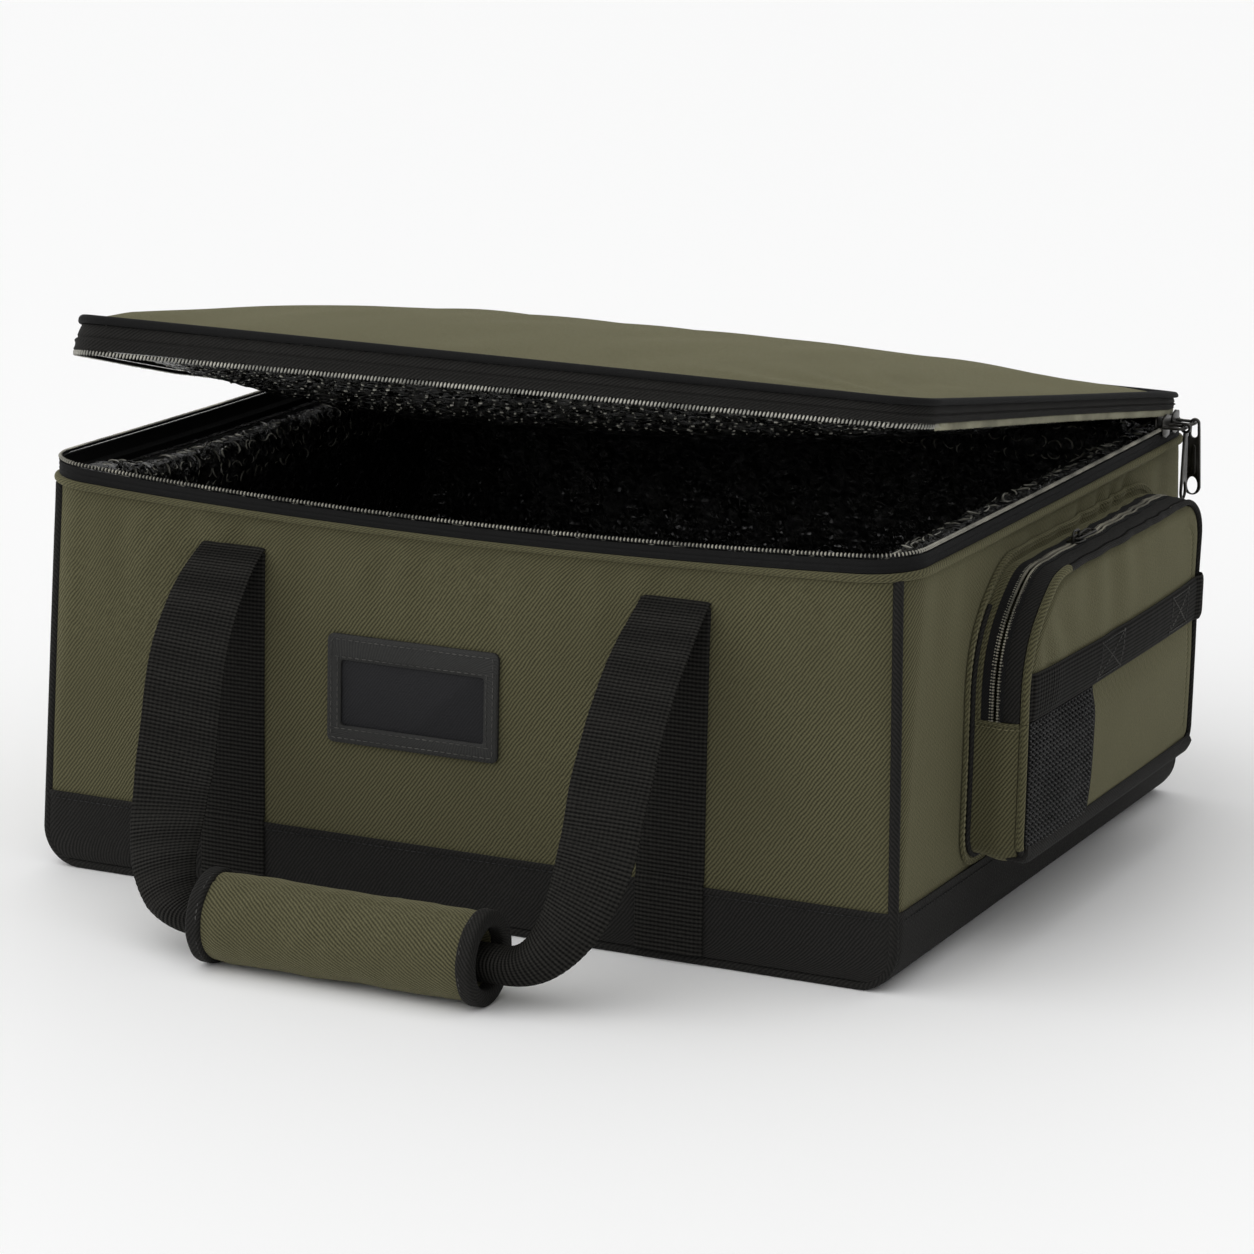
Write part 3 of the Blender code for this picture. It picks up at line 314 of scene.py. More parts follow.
class Draft:
    """Vertices, faces and cloth coordinates gathered for one mesh."""

    def __init__(self) -> None:
        """Start empty."""
        self.points: list[Array] = []
        self.faces: list[Array] = []
        self.cloth: list[Array] = []
        self.caps: list[tuple[list[int], Array]] = []
        self.count = 0

    def add_points(self, points: Array) -> int:
        """Add vertices and return the index of the first.

        Args:
            points: The vertices, (..., 3).

        Returns:
            The index of the first one.
        """
        start = self.count
        flat = points.reshape(-1, 3)
        self.points.append(flat)
        self.count += len(flat)
        return start

    def quads(self, indices: Array, us: Array, vs: Array) -> None:
        """Join a table of vertex indices into four-sided faces.

        Args:
            indices: vertex numbers by row and column, its first row or column repeated where it closes.
            us: cloth coordinate of each column, in metres.
            vs: cloth coordinate of each row, in metres.
        """
        self.faces.append(np.stack([indices[:-1, :-1], indices[:-1, 1:], indices[1:, 1:], indices[1:, :-1]],
                                   -1).reshape(-1, 4))
        u, v = np.meshgrid(us, vs)
        table = np.stack([u, v], -1)
        self.cloth.append(np.stack([table[:-1, :-1], table[:-1, 1:], table[1:, 1:], table[1:, :-1]],
                                   2).reshape(-1, 2))

    def grid(self, grid: Array, us: Array, vs: Array, wrap_rows: bool = False,
             wrap_columns: bool = False) -> Array:
        """Add a grid of points as a surface and return its table of indices.

        Args:
            grid: The points, (rows, columns, 3).
            us: Cloth coordinate of each column.
            vs: Cloth coordinate of each row.
            wrap_rows: Whether the last row joins the first.
            wrap_columns: Whether the last column joins the first.

        Returns:
            The table of indices.
        """
        rows, columns = grid.shape[:2]
        start = self.add_points(grid)
        table = np.arange(rows * columns).reshape(rows, columns) + start
        joined = table
        if wrap_rows:
            joined = np.vstack([joined, joined[:1]])
        if wrap_columns:
            joined = np.hstack([joined, joined[:, :1]])
        self.quads(joined, us, vs)
        return table

    def shell(self, outer: Array, inner: Array, us: Array, vs: Array, wrap_columns: bool = False) -> None:
        """Add a closed sheet between two grids of one shape.

        Args:
            outer: The outer face, (rows, columns, 3).
            inner: The inner face.
            us: Cloth coordinate of each column.
            vs: Cloth coordinate of each row.
            wrap_columns: Whether the last column joins the first.
        """
        first = self.grid(outer, us, vs, wrap_columns=wrap_columns)
        second = self.grid(inner, us, vs, wrap_columns=wrap_columns)
        close = (lambda line: np.append(line, line[0])) if wrap_columns else (lambda line: line)
        edge = np.array([0.0, 0.001])
        for row, v in ((0, vs[0]), (-1, vs[-1])):
            self.quads(np.stack([close(first[row]), close(second[row])]), us, edge + v)
        if not wrap_columns:
            for column, u in ((0, us[0]), (-1, us[-1])):
                self.quads(np.stack([first[:, column], second[:, column]], -1), edge + u, vs)

    def tube(self, grid: Array, us: Array, vs: Array, closed: bool = False) -> None:
        """Add rings of points as a tube, with its ends closed unless it joins its own start.

        Args:
            grid: The rings, (rings, points, 3).
            us: Cloth coordinate round a ring.
            vs: Cloth coordinate along the tube.
            closed: Whether the last ring joins the first.
        """
        table = self.grid(grid, us, vs, wrap_rows=closed, wrap_columns=True)
        if not closed:
            self.cap(table[0])
            self.cap(table[-1])

    def cap(self, line: Iterable[int], cloth: Optional[Array] = None) -> None:
        """Close an end with one face."""
        line = list(line)
        self.caps.append((line, np.zeros((len(line), 2)) if cloth is None else cloth))

    def build(self, name: str, smooth: float = SOFT_EDGE) -> Object:
        """Make the mesh, with its faces turned outwards.

        Args:
            name: the piece's name.
            smooth: edges sharper than this, in degrees, stay crisp.
        Returns:
            The new object, linked to the scene.
        """
        mesh = bpy.data.meshes.new(name)
        points = np.vstack(self.points)
        quads = np.vstack(self.faces) if self.faces else np.zeros((0, 4), int)
        loops = [quads.reshape(-1)] + [np.array(line) for line, _ in self.caps]
        sizes = np.concatenate([np.full(len(quads), 4), [len(line) for line, _ in self.caps]]).astype(np.int32)
        corners = np.concatenate(loops).astype(np.int32)
        mesh.vertices.add(len(points))
        mesh.vertices.foreach_set("co", points.astype(np.float32).ravel())
        mesh.loops.add(len(corners))
        mesh.loops.foreach_set("vertex_index", corners)
        mesh.polygons.add(len(sizes))
        starts = np.concatenate([[0], np.cumsum(sizes)[:-1]]).astype(np.int32)
        mesh.polygons.foreach_set("loop_start", starts)
        layer = mesh.uv_layers.new(name=UV_NAME)
        cloth = np.vstack(self.cloth + [table for _, table in self.caps])
        layer.data.foreach_set("uv", cloth.astype(np.float32).ravel())
        mesh.update(calc_edges=True)
        mesh.validate()
        return close_mesh(name, mesh, smooth)


def still(points: Array) -> Array:
    """Leave points where they are."""
    return points


def sweep(name: str, path: Array, outward: Array, profile: Array, closed: bool = False,
          smooth: float = SOFT_EDGE, form: Callable[[Array], Array] = still,
          draft: Optional[Draft] = None) -> Optional[Object]:
    """Run a section along a path.

    Args:
        name: the piece's name.
        path: points along the run.
        outward: at each point, the way that the section's first axis points.
        profile: the section, as distance outward and distance along the remaining axis.
        closed: whether the path joins its own start.
        smooth: edges sharper than this, in degrees, stay crisp.
        form: moves the finished points, as a slumping wall does.
        draft: gathers the faces instead of making an object.
    Returns:
        The new object, unless a draft gathers it.
    """
    along = tangents(path, closed)
    out = unit(outward - (outward * along).sum(-1, keepdims=True) * along)
    side = np.cross(out, along)
    shape = np.broadcast_to(profile, (len(path), *profile.shape[-2:]))
    grid = form(path[:, None] + out[:, None] * shape[..., :1] + side[:, None] * shape[..., 1:])
    target = draft or Draft()
    target.tube(grid, run_lengths(shape[len(path) // 2], True), run_lengths(path, closed), closed)
    return None if draft else target.build(name, smooth)


def plate(draft: Draft, outline: Array, low: Array, high: Array, place: Callable[[Array], Array],
          edge: float = 0.0) -> None:
    """Add a flat plate with softened edges, drawn in a plane and placed by a function.

    Args:
        draft: gathers the faces.
        outline: the plate's outline in its plane, counter-clockwise.
        low: height of its under face.
        high: height of its upper face.
        place: turns points of plane and height into places in the scene.
        edge: how far the upper and lower edges are rounded in.
    """
    along = unit(np.roll(outline, -1, axis=0) - np.roll(outline, 1, axis=0))
    inward = np.stack([-along[:, 1], along[:, 0]], -1)
    levels = [(low, edge), (low + edge * 0.3, edge * 0.3), (low + edge, 0.0), (high - edge, 0.0),
              (high - edge * 0.3, edge * 0.3), (high, edge)] if edge else [(low, 0.0), (high, 0.0)]
    rows = [np.column_stack([outline + inward * inset, np.full(len(outline), height)])
            for height, inset in levels]
    grid = place(np.stack(rows))
    us = run_lengths(outline, True)
    table = draft.grid(grid, us, np.array([height for height, _ in levels]), wrap_columns=True)
    flat = outline.reshape(-1, 2)
    draft.cap(table[0], flat)
    draft.cap(table[-1], flat)


# Node trees

class Nodes:
    """Short calls for building one node tree."""

    def __init__(self, tree: bpy.types.NodeTree) -> None:
        """Work on this tree."""
        self.tree = tree

    def add(self, kind: str, inputs: Optional[dict] = None, **settings: object) -> bpy.types.Node:
        """Add a node, with its settings and its inputs as values or sockets.

        Args:
            kind: Kind of the node.
            inputs: A value or a socket for each input.
            settings: Properties of the node.

        Returns:
            The node.
        """
        node = self.tree.nodes.new(kind)
        for key, value in settings.items():
            setattr(node, key, value)
        for key, value in (inputs or {}).items():
            if isinstance(value, bpy.types.NodeSocket):
                self.tree.links.new(value, node.inputs[key])
            else:
                node.inputs[key].default_value = value
        return node

    def math(self, operation: str, first: object, second: object = 0.5) -> Socket:
        """One sum."""
        return self.add("ShaderNodeMath", {0: first, 1: second}, operation=operation).outputs["Value"]

    def noise(self, vector: Socket, scale: float, detail: float = 2.0, distortion: float = 0.0) -> Socket:
        """Even-natured noise around 0.5."""
        return self.add("ShaderNodeTexNoise", {"Vector": vector, "Scale": scale, "Detail": detail,
                                               "Distortion": distortion}).outputs["Fac"]

    def spread(self, value: Socket, low: float, high: float, to_low: float = 0.0,
               to_high: float = 1.0) -> Socket:
        """Bring one range of a value to another."""
        return self.add("ShaderNodeMapRange", {"Value": value, "From Min": low, "From Max": high,
                                               "To Min": to_low, "To Max": to_high}).outputs["Result"]

    def blend(self, share: Socket, first: object, second: object) -> Socket:
        """Mix two colours."""
        return self.add("ShaderNodeMix", {0: share, 6: first, 7: second}, data_type="RGBA").outputs[2]

    def stretch(self, vector: Socket, scale: Sequence[float]) -> Socket:
        """Scale a pattern's coordinates."""
        return self.add("ShaderNodeMapping", {"Vector": vector, "Scale": scale}).outputs["Vector"]


class GuideTree(Nodes):
    """A geometry tree that turns guide lines into a finished mesh, with its sizes as named inputs."""

    def __init__(self, name: str, inputs: Sequence[tuple[str, str]]) -> None:
        """Start the tree.

        Args:
            name: the tree's name.
            inputs: label and kind of each input that stands between the guide lines and the finish.
        """
        super().__init__(bpy.data.node_groups.new(name, "GeometryNodeTree"))
        for label, kind in (("Geometry", "Geometry"), *inputs, ("Finish", "Material")):
            self.tree.interface.new_socket(label, in_out="INPUT", socket_type="NodeSocket" + kind)
        self.tree.interface.new_socket("Geometry", in_out="OUTPUT", socket_type="NodeSocketGeometry")
        self.given = self.add("NodeGroupInput").outputs

    def curve(self) -> Socket:
        """The guide lines as curves."""
        return self.add("GeometryNodeMeshToCurve", {"Mesh": self.given["Geometry"]}).outputs["Curve"]

    def draw(self, limits: Sequence[str]) -> Socket:
        """A random vector between minus and plus the inputs named for its three axes.

        Args:
            limits: Names of the three inputs.

        Returns:
            The vector.
        """
        high = self.add("ShaderNodeCombineXYZ", {axis: self.given[limit] for axis, limit in zip("XYZ", limits)})
        low = self.add("ShaderNodeVectorMath", {0: high.outputs["Vector"], "Scale": -1.0}, operation="SCALE")
        return self.add("FunctionNodeRandomValue", {"Min": low.outputs["Vector"], "Max": high.outputs["Vector"],
                                                    "Seed": self.given["Seed"]},
                        data_type="FLOAT_VECTOR").outputs["Value"]

    def end(self, geometry: Socket) -> None:
        """Realize the instances, set the finish and hand the mesh over.

        Args:
            geometry: The instances.
        """
        real = self.add("GeometryNodeRealizeInstances", {"Geometry": geometry}).outputs["Geometry"]
        dressed = self.add("GeometryNodeSetMaterial", {"Geometry": real, "Material": self.given["Finish"]})
        self.add("NodeGroupOutput", {"Geometry": dressed.outputs["Geometry"]})

    def apply(self, name: str, guides: Sequence[Guide], look: str, values: dict[str, object]) -> Object:
        """Run the tree on guide lines and keep the result as a plain mesh.

        Args:
            name: the piece's name.
            guides: the guide lines.
            look: the finish's name.
            values: the other inputs by label.
        Returns:
            The new object.
        """
        edges, start = [], 0
        for path, _, closed in guides:
            numbers = np.arange(len(path)) + start
            edges.append(np.stack([numbers[:-1], numbers[1:]], -1))
            if closed:
                edges.append(np.array([[numbers[-1], numbers[0]]]))
            start += len(path)
        mesh = bpy.data.meshes.new(name)
        mesh.from_pydata(np.vstack([guide[0] for guide in guides]).tolist(), np.vstack(edges).tolist(), [])
        ways = np.vstack([np.broadcast_to(way, path.shape) for path, way, _ in guides])
        attribute = mesh.attributes.new("outward", "FLOAT_VECTOR", "POINT")
        attribute.data.foreach_set("vector", ways.astype(np.float32).ravel())
        piece = add_object(name, mesh)
        modifier = piece.modifiers.new("guides", "NODES")
        modifier.node_group = self.tree
        values = {**values, "Finish": LOOK[look]}
        for socket in self.tree.interface.items_tree:
            if socket.name in values and socket.in_out == "INPUT":
                modifier[socket.identifier] = values[socket.name]
        return settle_modifiers(piece)


class PathRepeat(GuideTree):
    """Repeats one small item along guide lines at even spacing."""

    def __init__(self) -> None:
        """Build the tree once."""
        super().__init__("repeat_along_path", (
            ("Item", "Object"), ("Spacing", "Float"), ("Size change", "Float"), ("Tilt change", "Float"),
            ("Turn change", "Float"), ("Seed", "Int")))
        given = self.given
        spots = self.add("GeometryNodeCurveToPoints", {"Curve": self.curve(), "Length": given["Spacing"]},
                         mode="LENGTH").outputs
        outward = self.add("GeometryNodeInputNamedAttribute", {"Name": "outward"}, data_type="FLOAT_VECTOR")
        facing = self.add("FunctionNodeAxesToRotation", {
            "Primary Axis": spots["Tangent"], "Secondary Axis": outward.outputs["Attribute"]},
            primary_axis="X", secondary_axis="Z").outputs["Rotation"]
        shake = self.draw(("Tilt change", "Tilt change", "Turn change"))
        turned = self.add("FunctionNodeRotateRotation", {"Rotation": facing, "Rotate By": shake},
                          rotation_space="LOCAL").outputs["Rotation"]
        chance = self.add("FunctionNodeRandomValue", {"Seed": given["Seed"]}, data_type="FLOAT")
        for end, operation in (("Min", "SUBTRACT"), ("Max", "ADD")):
            limit = next(socket for socket in chance.inputs if socket.name == end and socket.enabled)
            self.tree.links.new(self.math(operation, 1.0, given["Size change"]), limit)
        item = self.add("GeometryNodeObjectInfo", {"Object": given["Item"]}).outputs["Geometry"]
        placed = self.add("GeometryNodeInstanceOnPoints", {
            "Points": spots["Points"], "Instance": item, "Rotation": turned,
            "Scale": next(socket for socket in chance.outputs if socket.enabled)})
        self.end(placed.outputs["Instances"])

    def run(self, name: str, guides: Sequence[Guide], item: Object, spacing: float, look: str,
            changes: tuple[float, float, float], seed: int) -> Object:
        """Repeat an item along guide lines, and drop the item.

        Args:
            name: the piece's name.
            guides: the guide lines; the item's top faces the way that each gives.
            item: the small mesh to repeat, which lies along X with its top towards +Z.
            spacing: distance between items, in metres.
            look: the items' finish.
            changes: how far items vary in scale as a share, and in tilt and turn in radians.
            seed: picks the random draws.
        Returns:
            The new object.
        """
        piece = self.apply(name, guides, look, {
            "Item": item, "Spacing": spacing, "Size change": changes[0], "Tilt change": changes[1],
            "Turn change": changes[2], "Seed": seed})
        bpy.data.objects.remove(item, do_unlink=True)
        return piece


class Net(GuideTree):
    """Turns guide lines into a net of round threads."""

    def __init__(self) -> None:
        """Build the tree once."""
        super().__init__("thread_net", (("Thread", "Float"), ("Sides", "Int"), ("Unevenness", "Float"),
                                        ("Seed", "Int")))
        shift = self.add("GeometryNodeSetPosition", {"Geometry": self.curve(),
                                                     "Offset": self.draw(("Unevenness",) * 3)})
        circle = self.add("GeometryNodeCurvePrimitiveCircle", {"Resolution": self.given["Sides"],
                                                               "Radius": self.given["Thread"]})
        tube = self.add("GeometryNodeCurveToMesh", {
            "Curve": shift.outputs["Geometry"], "Profile Curve": circle.outputs["Curve"], "Fill Caps": True})
        self.end(tube.outputs["Mesh"])


def settle_modifiers(piece: Object) -> Object:
    """Turn an object's live modifiers into its plain mesh.

    Args:
        piece: The object.

    Returns:
        The same object.
    """
    bpy.context.view_layer.update()
    graph = bpy.context.evaluated_depsgraph_get()
    made = bpy.data.meshes.new_from_object(piece.evaluated_get(graph), preserve_all_data_layers=True,
                                           depsgraph=graph)
    piece.modifiers.clear()
    old, piece.data = piece.data, made
    made.name = piece.name
    bpy.data.meshes.remove(old)
    return piece


# Finishes

def colour(red: float, green: float, blue: float) -> tuple[float, float, float, float]:
    """A colour written as it is seen, 0 to 255, as linear light.

    Args:
        red: Red, 0 to 255.
        green: Green, 0 to 255.
        blue: Blue, 0 to 255.

    Returns:
        Red, green, blue and an opacity of 1.
    """
    def linear(value: float) -> float:
        """One channel as linear light."""
        value /= 255.0
        return value / 12.92 if value <= 0.04045 else ((value + 0.055) / 1.055) ** 2.4
    return (linear(red), linear(green), linear(blue), 1.0)


def grey(value: float) -> tuple[float, float, float, float]:
    """A neutral colour written as it is seen, 0 to 255."""
    return colour(value, value, value)


def new_group(name: str, inputs: Sequence[tuple[str, str]],
              outputs: Sequence[str]) -> tuple[Nodes, bpy.types.Node, bpy.types.Node]:
    """Start a shader group: its nodes, its input node and its output node.

    Args:
        name: Name of the group.
        inputs: Name and kind of each input.
        outputs: Names of the outputs.

    Returns:
        Its nodes, its input node and its output node.
    """
    tree = bpy.data.node_groups.new(name, "ShaderNodeTree")
    for label, kind in inputs:
        tree.interface.new_socket(label, in_out="INPUT", socket_type=kind)
    for label in outputs:
        tree.interface.new_socket(label, in_out="OUTPUT", socket_type="NodeSocketFloat")
    return Nodes(tree), tree.nodes.new("NodeGroupInput"), tree.nodes.new("NodeGroupOutput")


def twill_group() -> bpy.types.NodeTree:
    """Diagonal weave: relief, thread tone, yarn unevenness and slow shading over the cloth.

    Returns:
        The group.
    """
    nodes, given, result = new_group("twill_weave", [("Cloth", "NodeSocketVector"),
                                                     ("Pitch", "NodeSocketFloat")],
                                     ["Relief", "Thread", "Yarn", "Shade"])
    cloth, pitch = given.outputs["Cloth"], given.outputs["Pitch"]
    wander = nodes.math("MULTIPLY", nodes.noise(cloth, 130.0, 2.0), 0.9)
    split = nodes.add("ShaderNodeSeparateXYZ", {"Vector": cloth})
    across = nodes.math("MULTIPLY", split.outputs["X"], -0.80)
    up = nodes.math("MULTIPLY", split.outputs["Y"], 0.60)
    diagonal = nodes.math("ADD", nodes.math("DIVIDE", nodes.math("ADD", across, up), pitch), wander)
    line = nodes.math("SINE", nodes.math("MULTIPLY", diagonal, math.tau), 0.0)
    steps = nodes.math("DIVIDE", split.outputs["Y"], pitch)
    weft = nodes.math("SINE", nodes.math("MULTIPLY", steps, math.tau * 1.4), 0.0)
    thread = nodes.math("MULTIPLY_ADD", nodes.math("MULTIPLY", line, nodes.spread(weft, -1, 1, 0.6, 1.0)), 0.5)
    thread.node.inputs[2].default_value = 0.5
    fine = nodes.noise(nodes.stretch(cloth, (1.0, 2.2, 1.0)), 520.0, 2.0)
    yarn = nodes.spread(fine, 0.30, 0.70)
    relief = nodes.math("ADD", nodes.math("MULTIPLY", thread, 0.45), nodes.math("MULTIPLY", yarn, 0.55))
    shade = nodes.spread(nodes.noise(cloth, 14.0, 3.0, 0.4), 0.32, 0.68)
    for label, socket in (("Relief", relief), ("Thread", thread), ("Yarn", yarn), ("Shade", shade)):
        nodes.tree.links.new(socket, result.inputs[label])
    return nodes.tree


def wear_group() -> bpy.types.NodeTree:
    """Dust and rubbing: soft patches on every piece, and a paler tone on exposed edges.

    Returns:
        The group.
    """
    nodes, given, result = new_group("wear", [("Place", "NodeSocketVector"), ("Scale", "NodeSocketFloat")],
                                     ["Dust", "Rub"])
    soft = nodes.add("ShaderNodeTexNoise", {"Vector": given.outputs["Place"], "Scale": given.outputs["Scale"],
                                            "Detail": 4.0}).outputs["Fac"]
    speck = nodes.noise(given.outputs["Place"], 420.0, 2.0)
    dust = nodes.math("MULTIPLY", nodes.spread(soft, 0.45, 0.75), nodes.spread(speck, 0.45, 0.65))
    edges = nodes.add("ShaderNodeNewGeometry").outputs["Pointiness"]
    rub = nodes.math("MULTIPLY", nodes.spread(edges, 0.52, 0.62), nodes.spread(soft, 0.35, 0.6))
    nodes.tree.links.new(dust, result.inputs["Dust"])
    nodes.tree.links.new(rub, result.inputs["Rub"])
    return nodes.tree


@dataclass(frozen=True)
class Finish:
    """What every finish shares: a name, its tones and how rough it is."""

    name: str
    dark: tuple[float, float, float, float]
    light: tuple[float, float, float, float]
    rough: tuple[float, float] = (0.75, 0.95)
    sheen: float = 0.0
    specular: float = 0.35
    metallic: float = 0.0
    bump: float = 0.5
    depth: float = 0.0003

    def start(self) -> tuple[bpy.types.Material, Nodes, Socket, Socket]:
        """A new material with its nodes, cloth coordinates and object coordinates.

        Returns:
            The material, its nodes, its cloth coordinates and its object coordinates.
        """
        made = bpy.data.materials.new(self.name)
        made.use_nodes = True
        made.diffuse_color = self.light
        nodes = Nodes(made.node_tree)
        places = nodes.add("ShaderNodeTexCoord")
        cloth = nodes.add("ShaderNodeUVMap", uv_map=UV_NAME).outputs["UV"]
        return made, nodes, cloth, places.outputs["Object"]

    def close(self, made: bpy.types.Material, nodes: Nodes, base: Socket, rough: Socket,
              relief: Socket, place: Socket, dust: float = 0.12) -> bpy.types.Material:
        """Join colour, roughness and relief to the shader, with dust and rubbing over them.

        Args:
            made: The material.
            nodes: Its nodes.
            base: Its colour.
            rough: Its roughness.
            relief: Its relief, as a height.
            place: Coordinates for the dust.
            dust: How much dust lies on it.

        Returns:
            The material.
        """
        shader = made.node_tree.nodes["Principled BSDF"]
        wear = nodes.add("ShaderNodeGroup", node_tree=GROUPS["wear"])
        nodes.tree.links.new(place, wear.inputs["Place"])
        wear.inputs["Scale"].default_value = 9.0
        pale = tuple(min(1.0, part * 1.5 + 0.012) for part in self.light[:3]) + (1.0,)
        share = nodes.math("MULTIPLY", nodes.math("MAXIMUM", wear.outputs["Dust"], wear.outputs["Rub"]), dust)
        nodes.tree.links.new(nodes.blend(share, base, pale), shader.inputs["Base Color"])
        nodes.tree.links.new(rough, shader.inputs["Roughness"])
        raised = nodes.add("ShaderNodeBump", {"Height": relief, "Strength": self.bump,
                                              "Distance": self.depth})
        nodes.tree.links.new(raised.outputs["Normal"], shader.inputs["Normal"])
        tint = tuple(min(1.0, part * 5.0 + 0.15) for part in self.light[:3]) + (1.0,)
        for label, value in (("Specular IOR Level", self.specular), ("Metallic", self.metallic),
                             ("Sheen Weight", self.sheen), ("Sheen Roughness", 0.5), ("Sheen Tint", tint)):
            shader.inputs[label].default_value = value
        return made

    def make(self) -> bpy.types.Material:
        """Build the material."""
        raise NotImplementedError


@dataclass(frozen=True)
class Twill(Finish):
    """Coated twill: fine diagonal lines, uneven yarn and slow shading."""

    pitch: float = 0.00115

    def make(self) -> bpy.types.Material:
        """Build the material on the twill group.

        Returns:
            The material.
        """
        made, nodes, cloth, place = self.start()
        weave = nodes.add("ShaderNodeGroup", {"Cloth": cloth}, node_tree=GROUPS["twill"])
        weave.inputs["Pitch"].default_value = self.pitch
        middle = tuple((a + b) / 2 for a, b in zip(self.dark, self.light))
        tone = nodes.blend(weave.outputs["Thread"], self.dark, self.light)
        tone = nodes.blend(nodes.math("MULTIPLY", weave.outputs["Yarn"], 0.30), tone, middle)
        deep = tuple(part * 0.80 for part in middle[:3]) + (1.0,)
        tone = nodes.blend(nodes.math("MULTIPLY", weave.outputs["Shade"], 0.30), tone, deep)
        rough = nodes.spread(weave.outputs["Yarn"], 0, 1, *self.rough)
        return self.close(made, nodes, tone, rough, weave.outputs["Relief"], place)


@dataclass(frozen=True)
class Webbing(Finish):
    """Woven strap: yarn grain between the raised ribs, with painted shade in the hollows and paler painted rib tops."""

    pitch: float = 0.0011

    def make(self) -> bpy.types.Material:
        """Build the material from stretched noise along the ribs; the rib relief also paints the hollows dark as shade.

        Returns:
            The material.
        """
        made, nodes, cloth, place = self.start()
        grain = nodes.noise(nodes.stretch(cloth, (700.0, 1500.0, 1.0)), 1.0, 2.0)
        split = nodes.add("ShaderNodeSeparateXYZ", {"Vector": cloth})
        pick = nodes.math("SINE", nodes.math("MULTIPLY", split.outputs["X"], math.tau / self.pitch), 0.0)
        turns = nodes.math("MULTIPLY", split.outputs["Y"], math.tau / self.pitch)
        phase = nodes.math("SUBTRACT", turns, math.pi / 2)
        rib = nodes.math("SINE", phase, 0.0)
        relief = nodes.math("ADD", nodes.math("MULTIPLY", nodes.spread(rib, -1, 1), 0.75),
                            nodes.math("MULTIPLY", nodes.spread(pick, -1, 1), 0.25))
        # Colour follows the relief: hollows painted near black as shade, rib tops paler as highlight, mixed with real
        # yarn grain.
        rib_shade_and_grain = nodes.math("MULTIPLY", relief, nodes.spread(grain, 0.3, 0.7, 0.45, 1.0))
        tone = nodes.blend(rib_shade_and_grain, self.dark, self.light)
        rough = nodes.spread(grain, 0.3, 0.7, *self.rough)
        return self.close(made, nodes, tone, rough, relief, place)


@dataclass(frozen=True)
class Film(Finish):
    """Glossy black film: small creases that catch the light, their ridges painted paler as glints, and a dimpled grain.
    """

    crease: float = 130.0
    dimple: float = 210.0

    def make(self) -> bpy.types.Material:
        """Build the material from bent ridges, which also paint pale glints into the colour, and rows of dimples.

        Returns:
            The material.
        """
        made, nodes, cloth, place = self.start()
        bent = nodes.noise(place, self.crease, 3.0, 1.4)
        ridge_and_glint = nodes.math("ABSOLUTE", nodes.math("SUBTRACT", bent, 0.5), 0.0)
        ridge_and_glint = nodes.spread(ridge_and_glint, 0.0, 0.10, 1.0, 0.0)
        cells = nodes.add("ShaderNodeTexVoronoi", {"Vector": cloth, "Scale": self.dimple,
                                                   "Randomness": 0.45}).outputs["Distance"]
        relief = nodes.math("ADD", nodes.math("MULTIPLY", ridge_and_glint, 0.6), nodes.math("MULTIPLY", cells, 0.8))
        # The ridges lift the base colour towards the light tone: painted glints along the creases.
        tone = nodes.blend(nodes.math("MULTIPLY", ridge_and_glint, 0.5), self.dark, self.light)
        rough = nodes.spread(nodes.noise(place, 60.0, 3.0), 0.3, 0.7, *self.rough)
        return self.close(made, nodes, tone, rough, relief, place, 0.05)


@dataclass(frozen=True)
class Grained(Finish):
    """Moulded or cast surface: fine grain and slow unevenness, for vinyl, metal, thread, board and foam."""

    depth: float = 0.0002
    grain: float = 900.0
    patch: float = 40.0

    def make(self) -> bpy.types.Material:
        """Build the material from two sizes of noise.

        Returns:
            The material.
        """
        made, nodes, _, place = self.start()
        fine = nodes.noise(place, self.grain, 3.0)
        slow = nodes.noise(place, self.patch, 3.0)
        tone = nodes.blend(nodes.spread(slow, 0.35, 0.65), self.dark, self.light)
        rough = nodes.spread(nodes.math("ADD", nodes.math("MULTIPLY", fine, 0.5),
                                        nodes.math("MULTIPLY", slow, 0.5)), 0.35, 0.65, *self.rough)
        return self.close(made, nodes, tone, rough, fine, place)


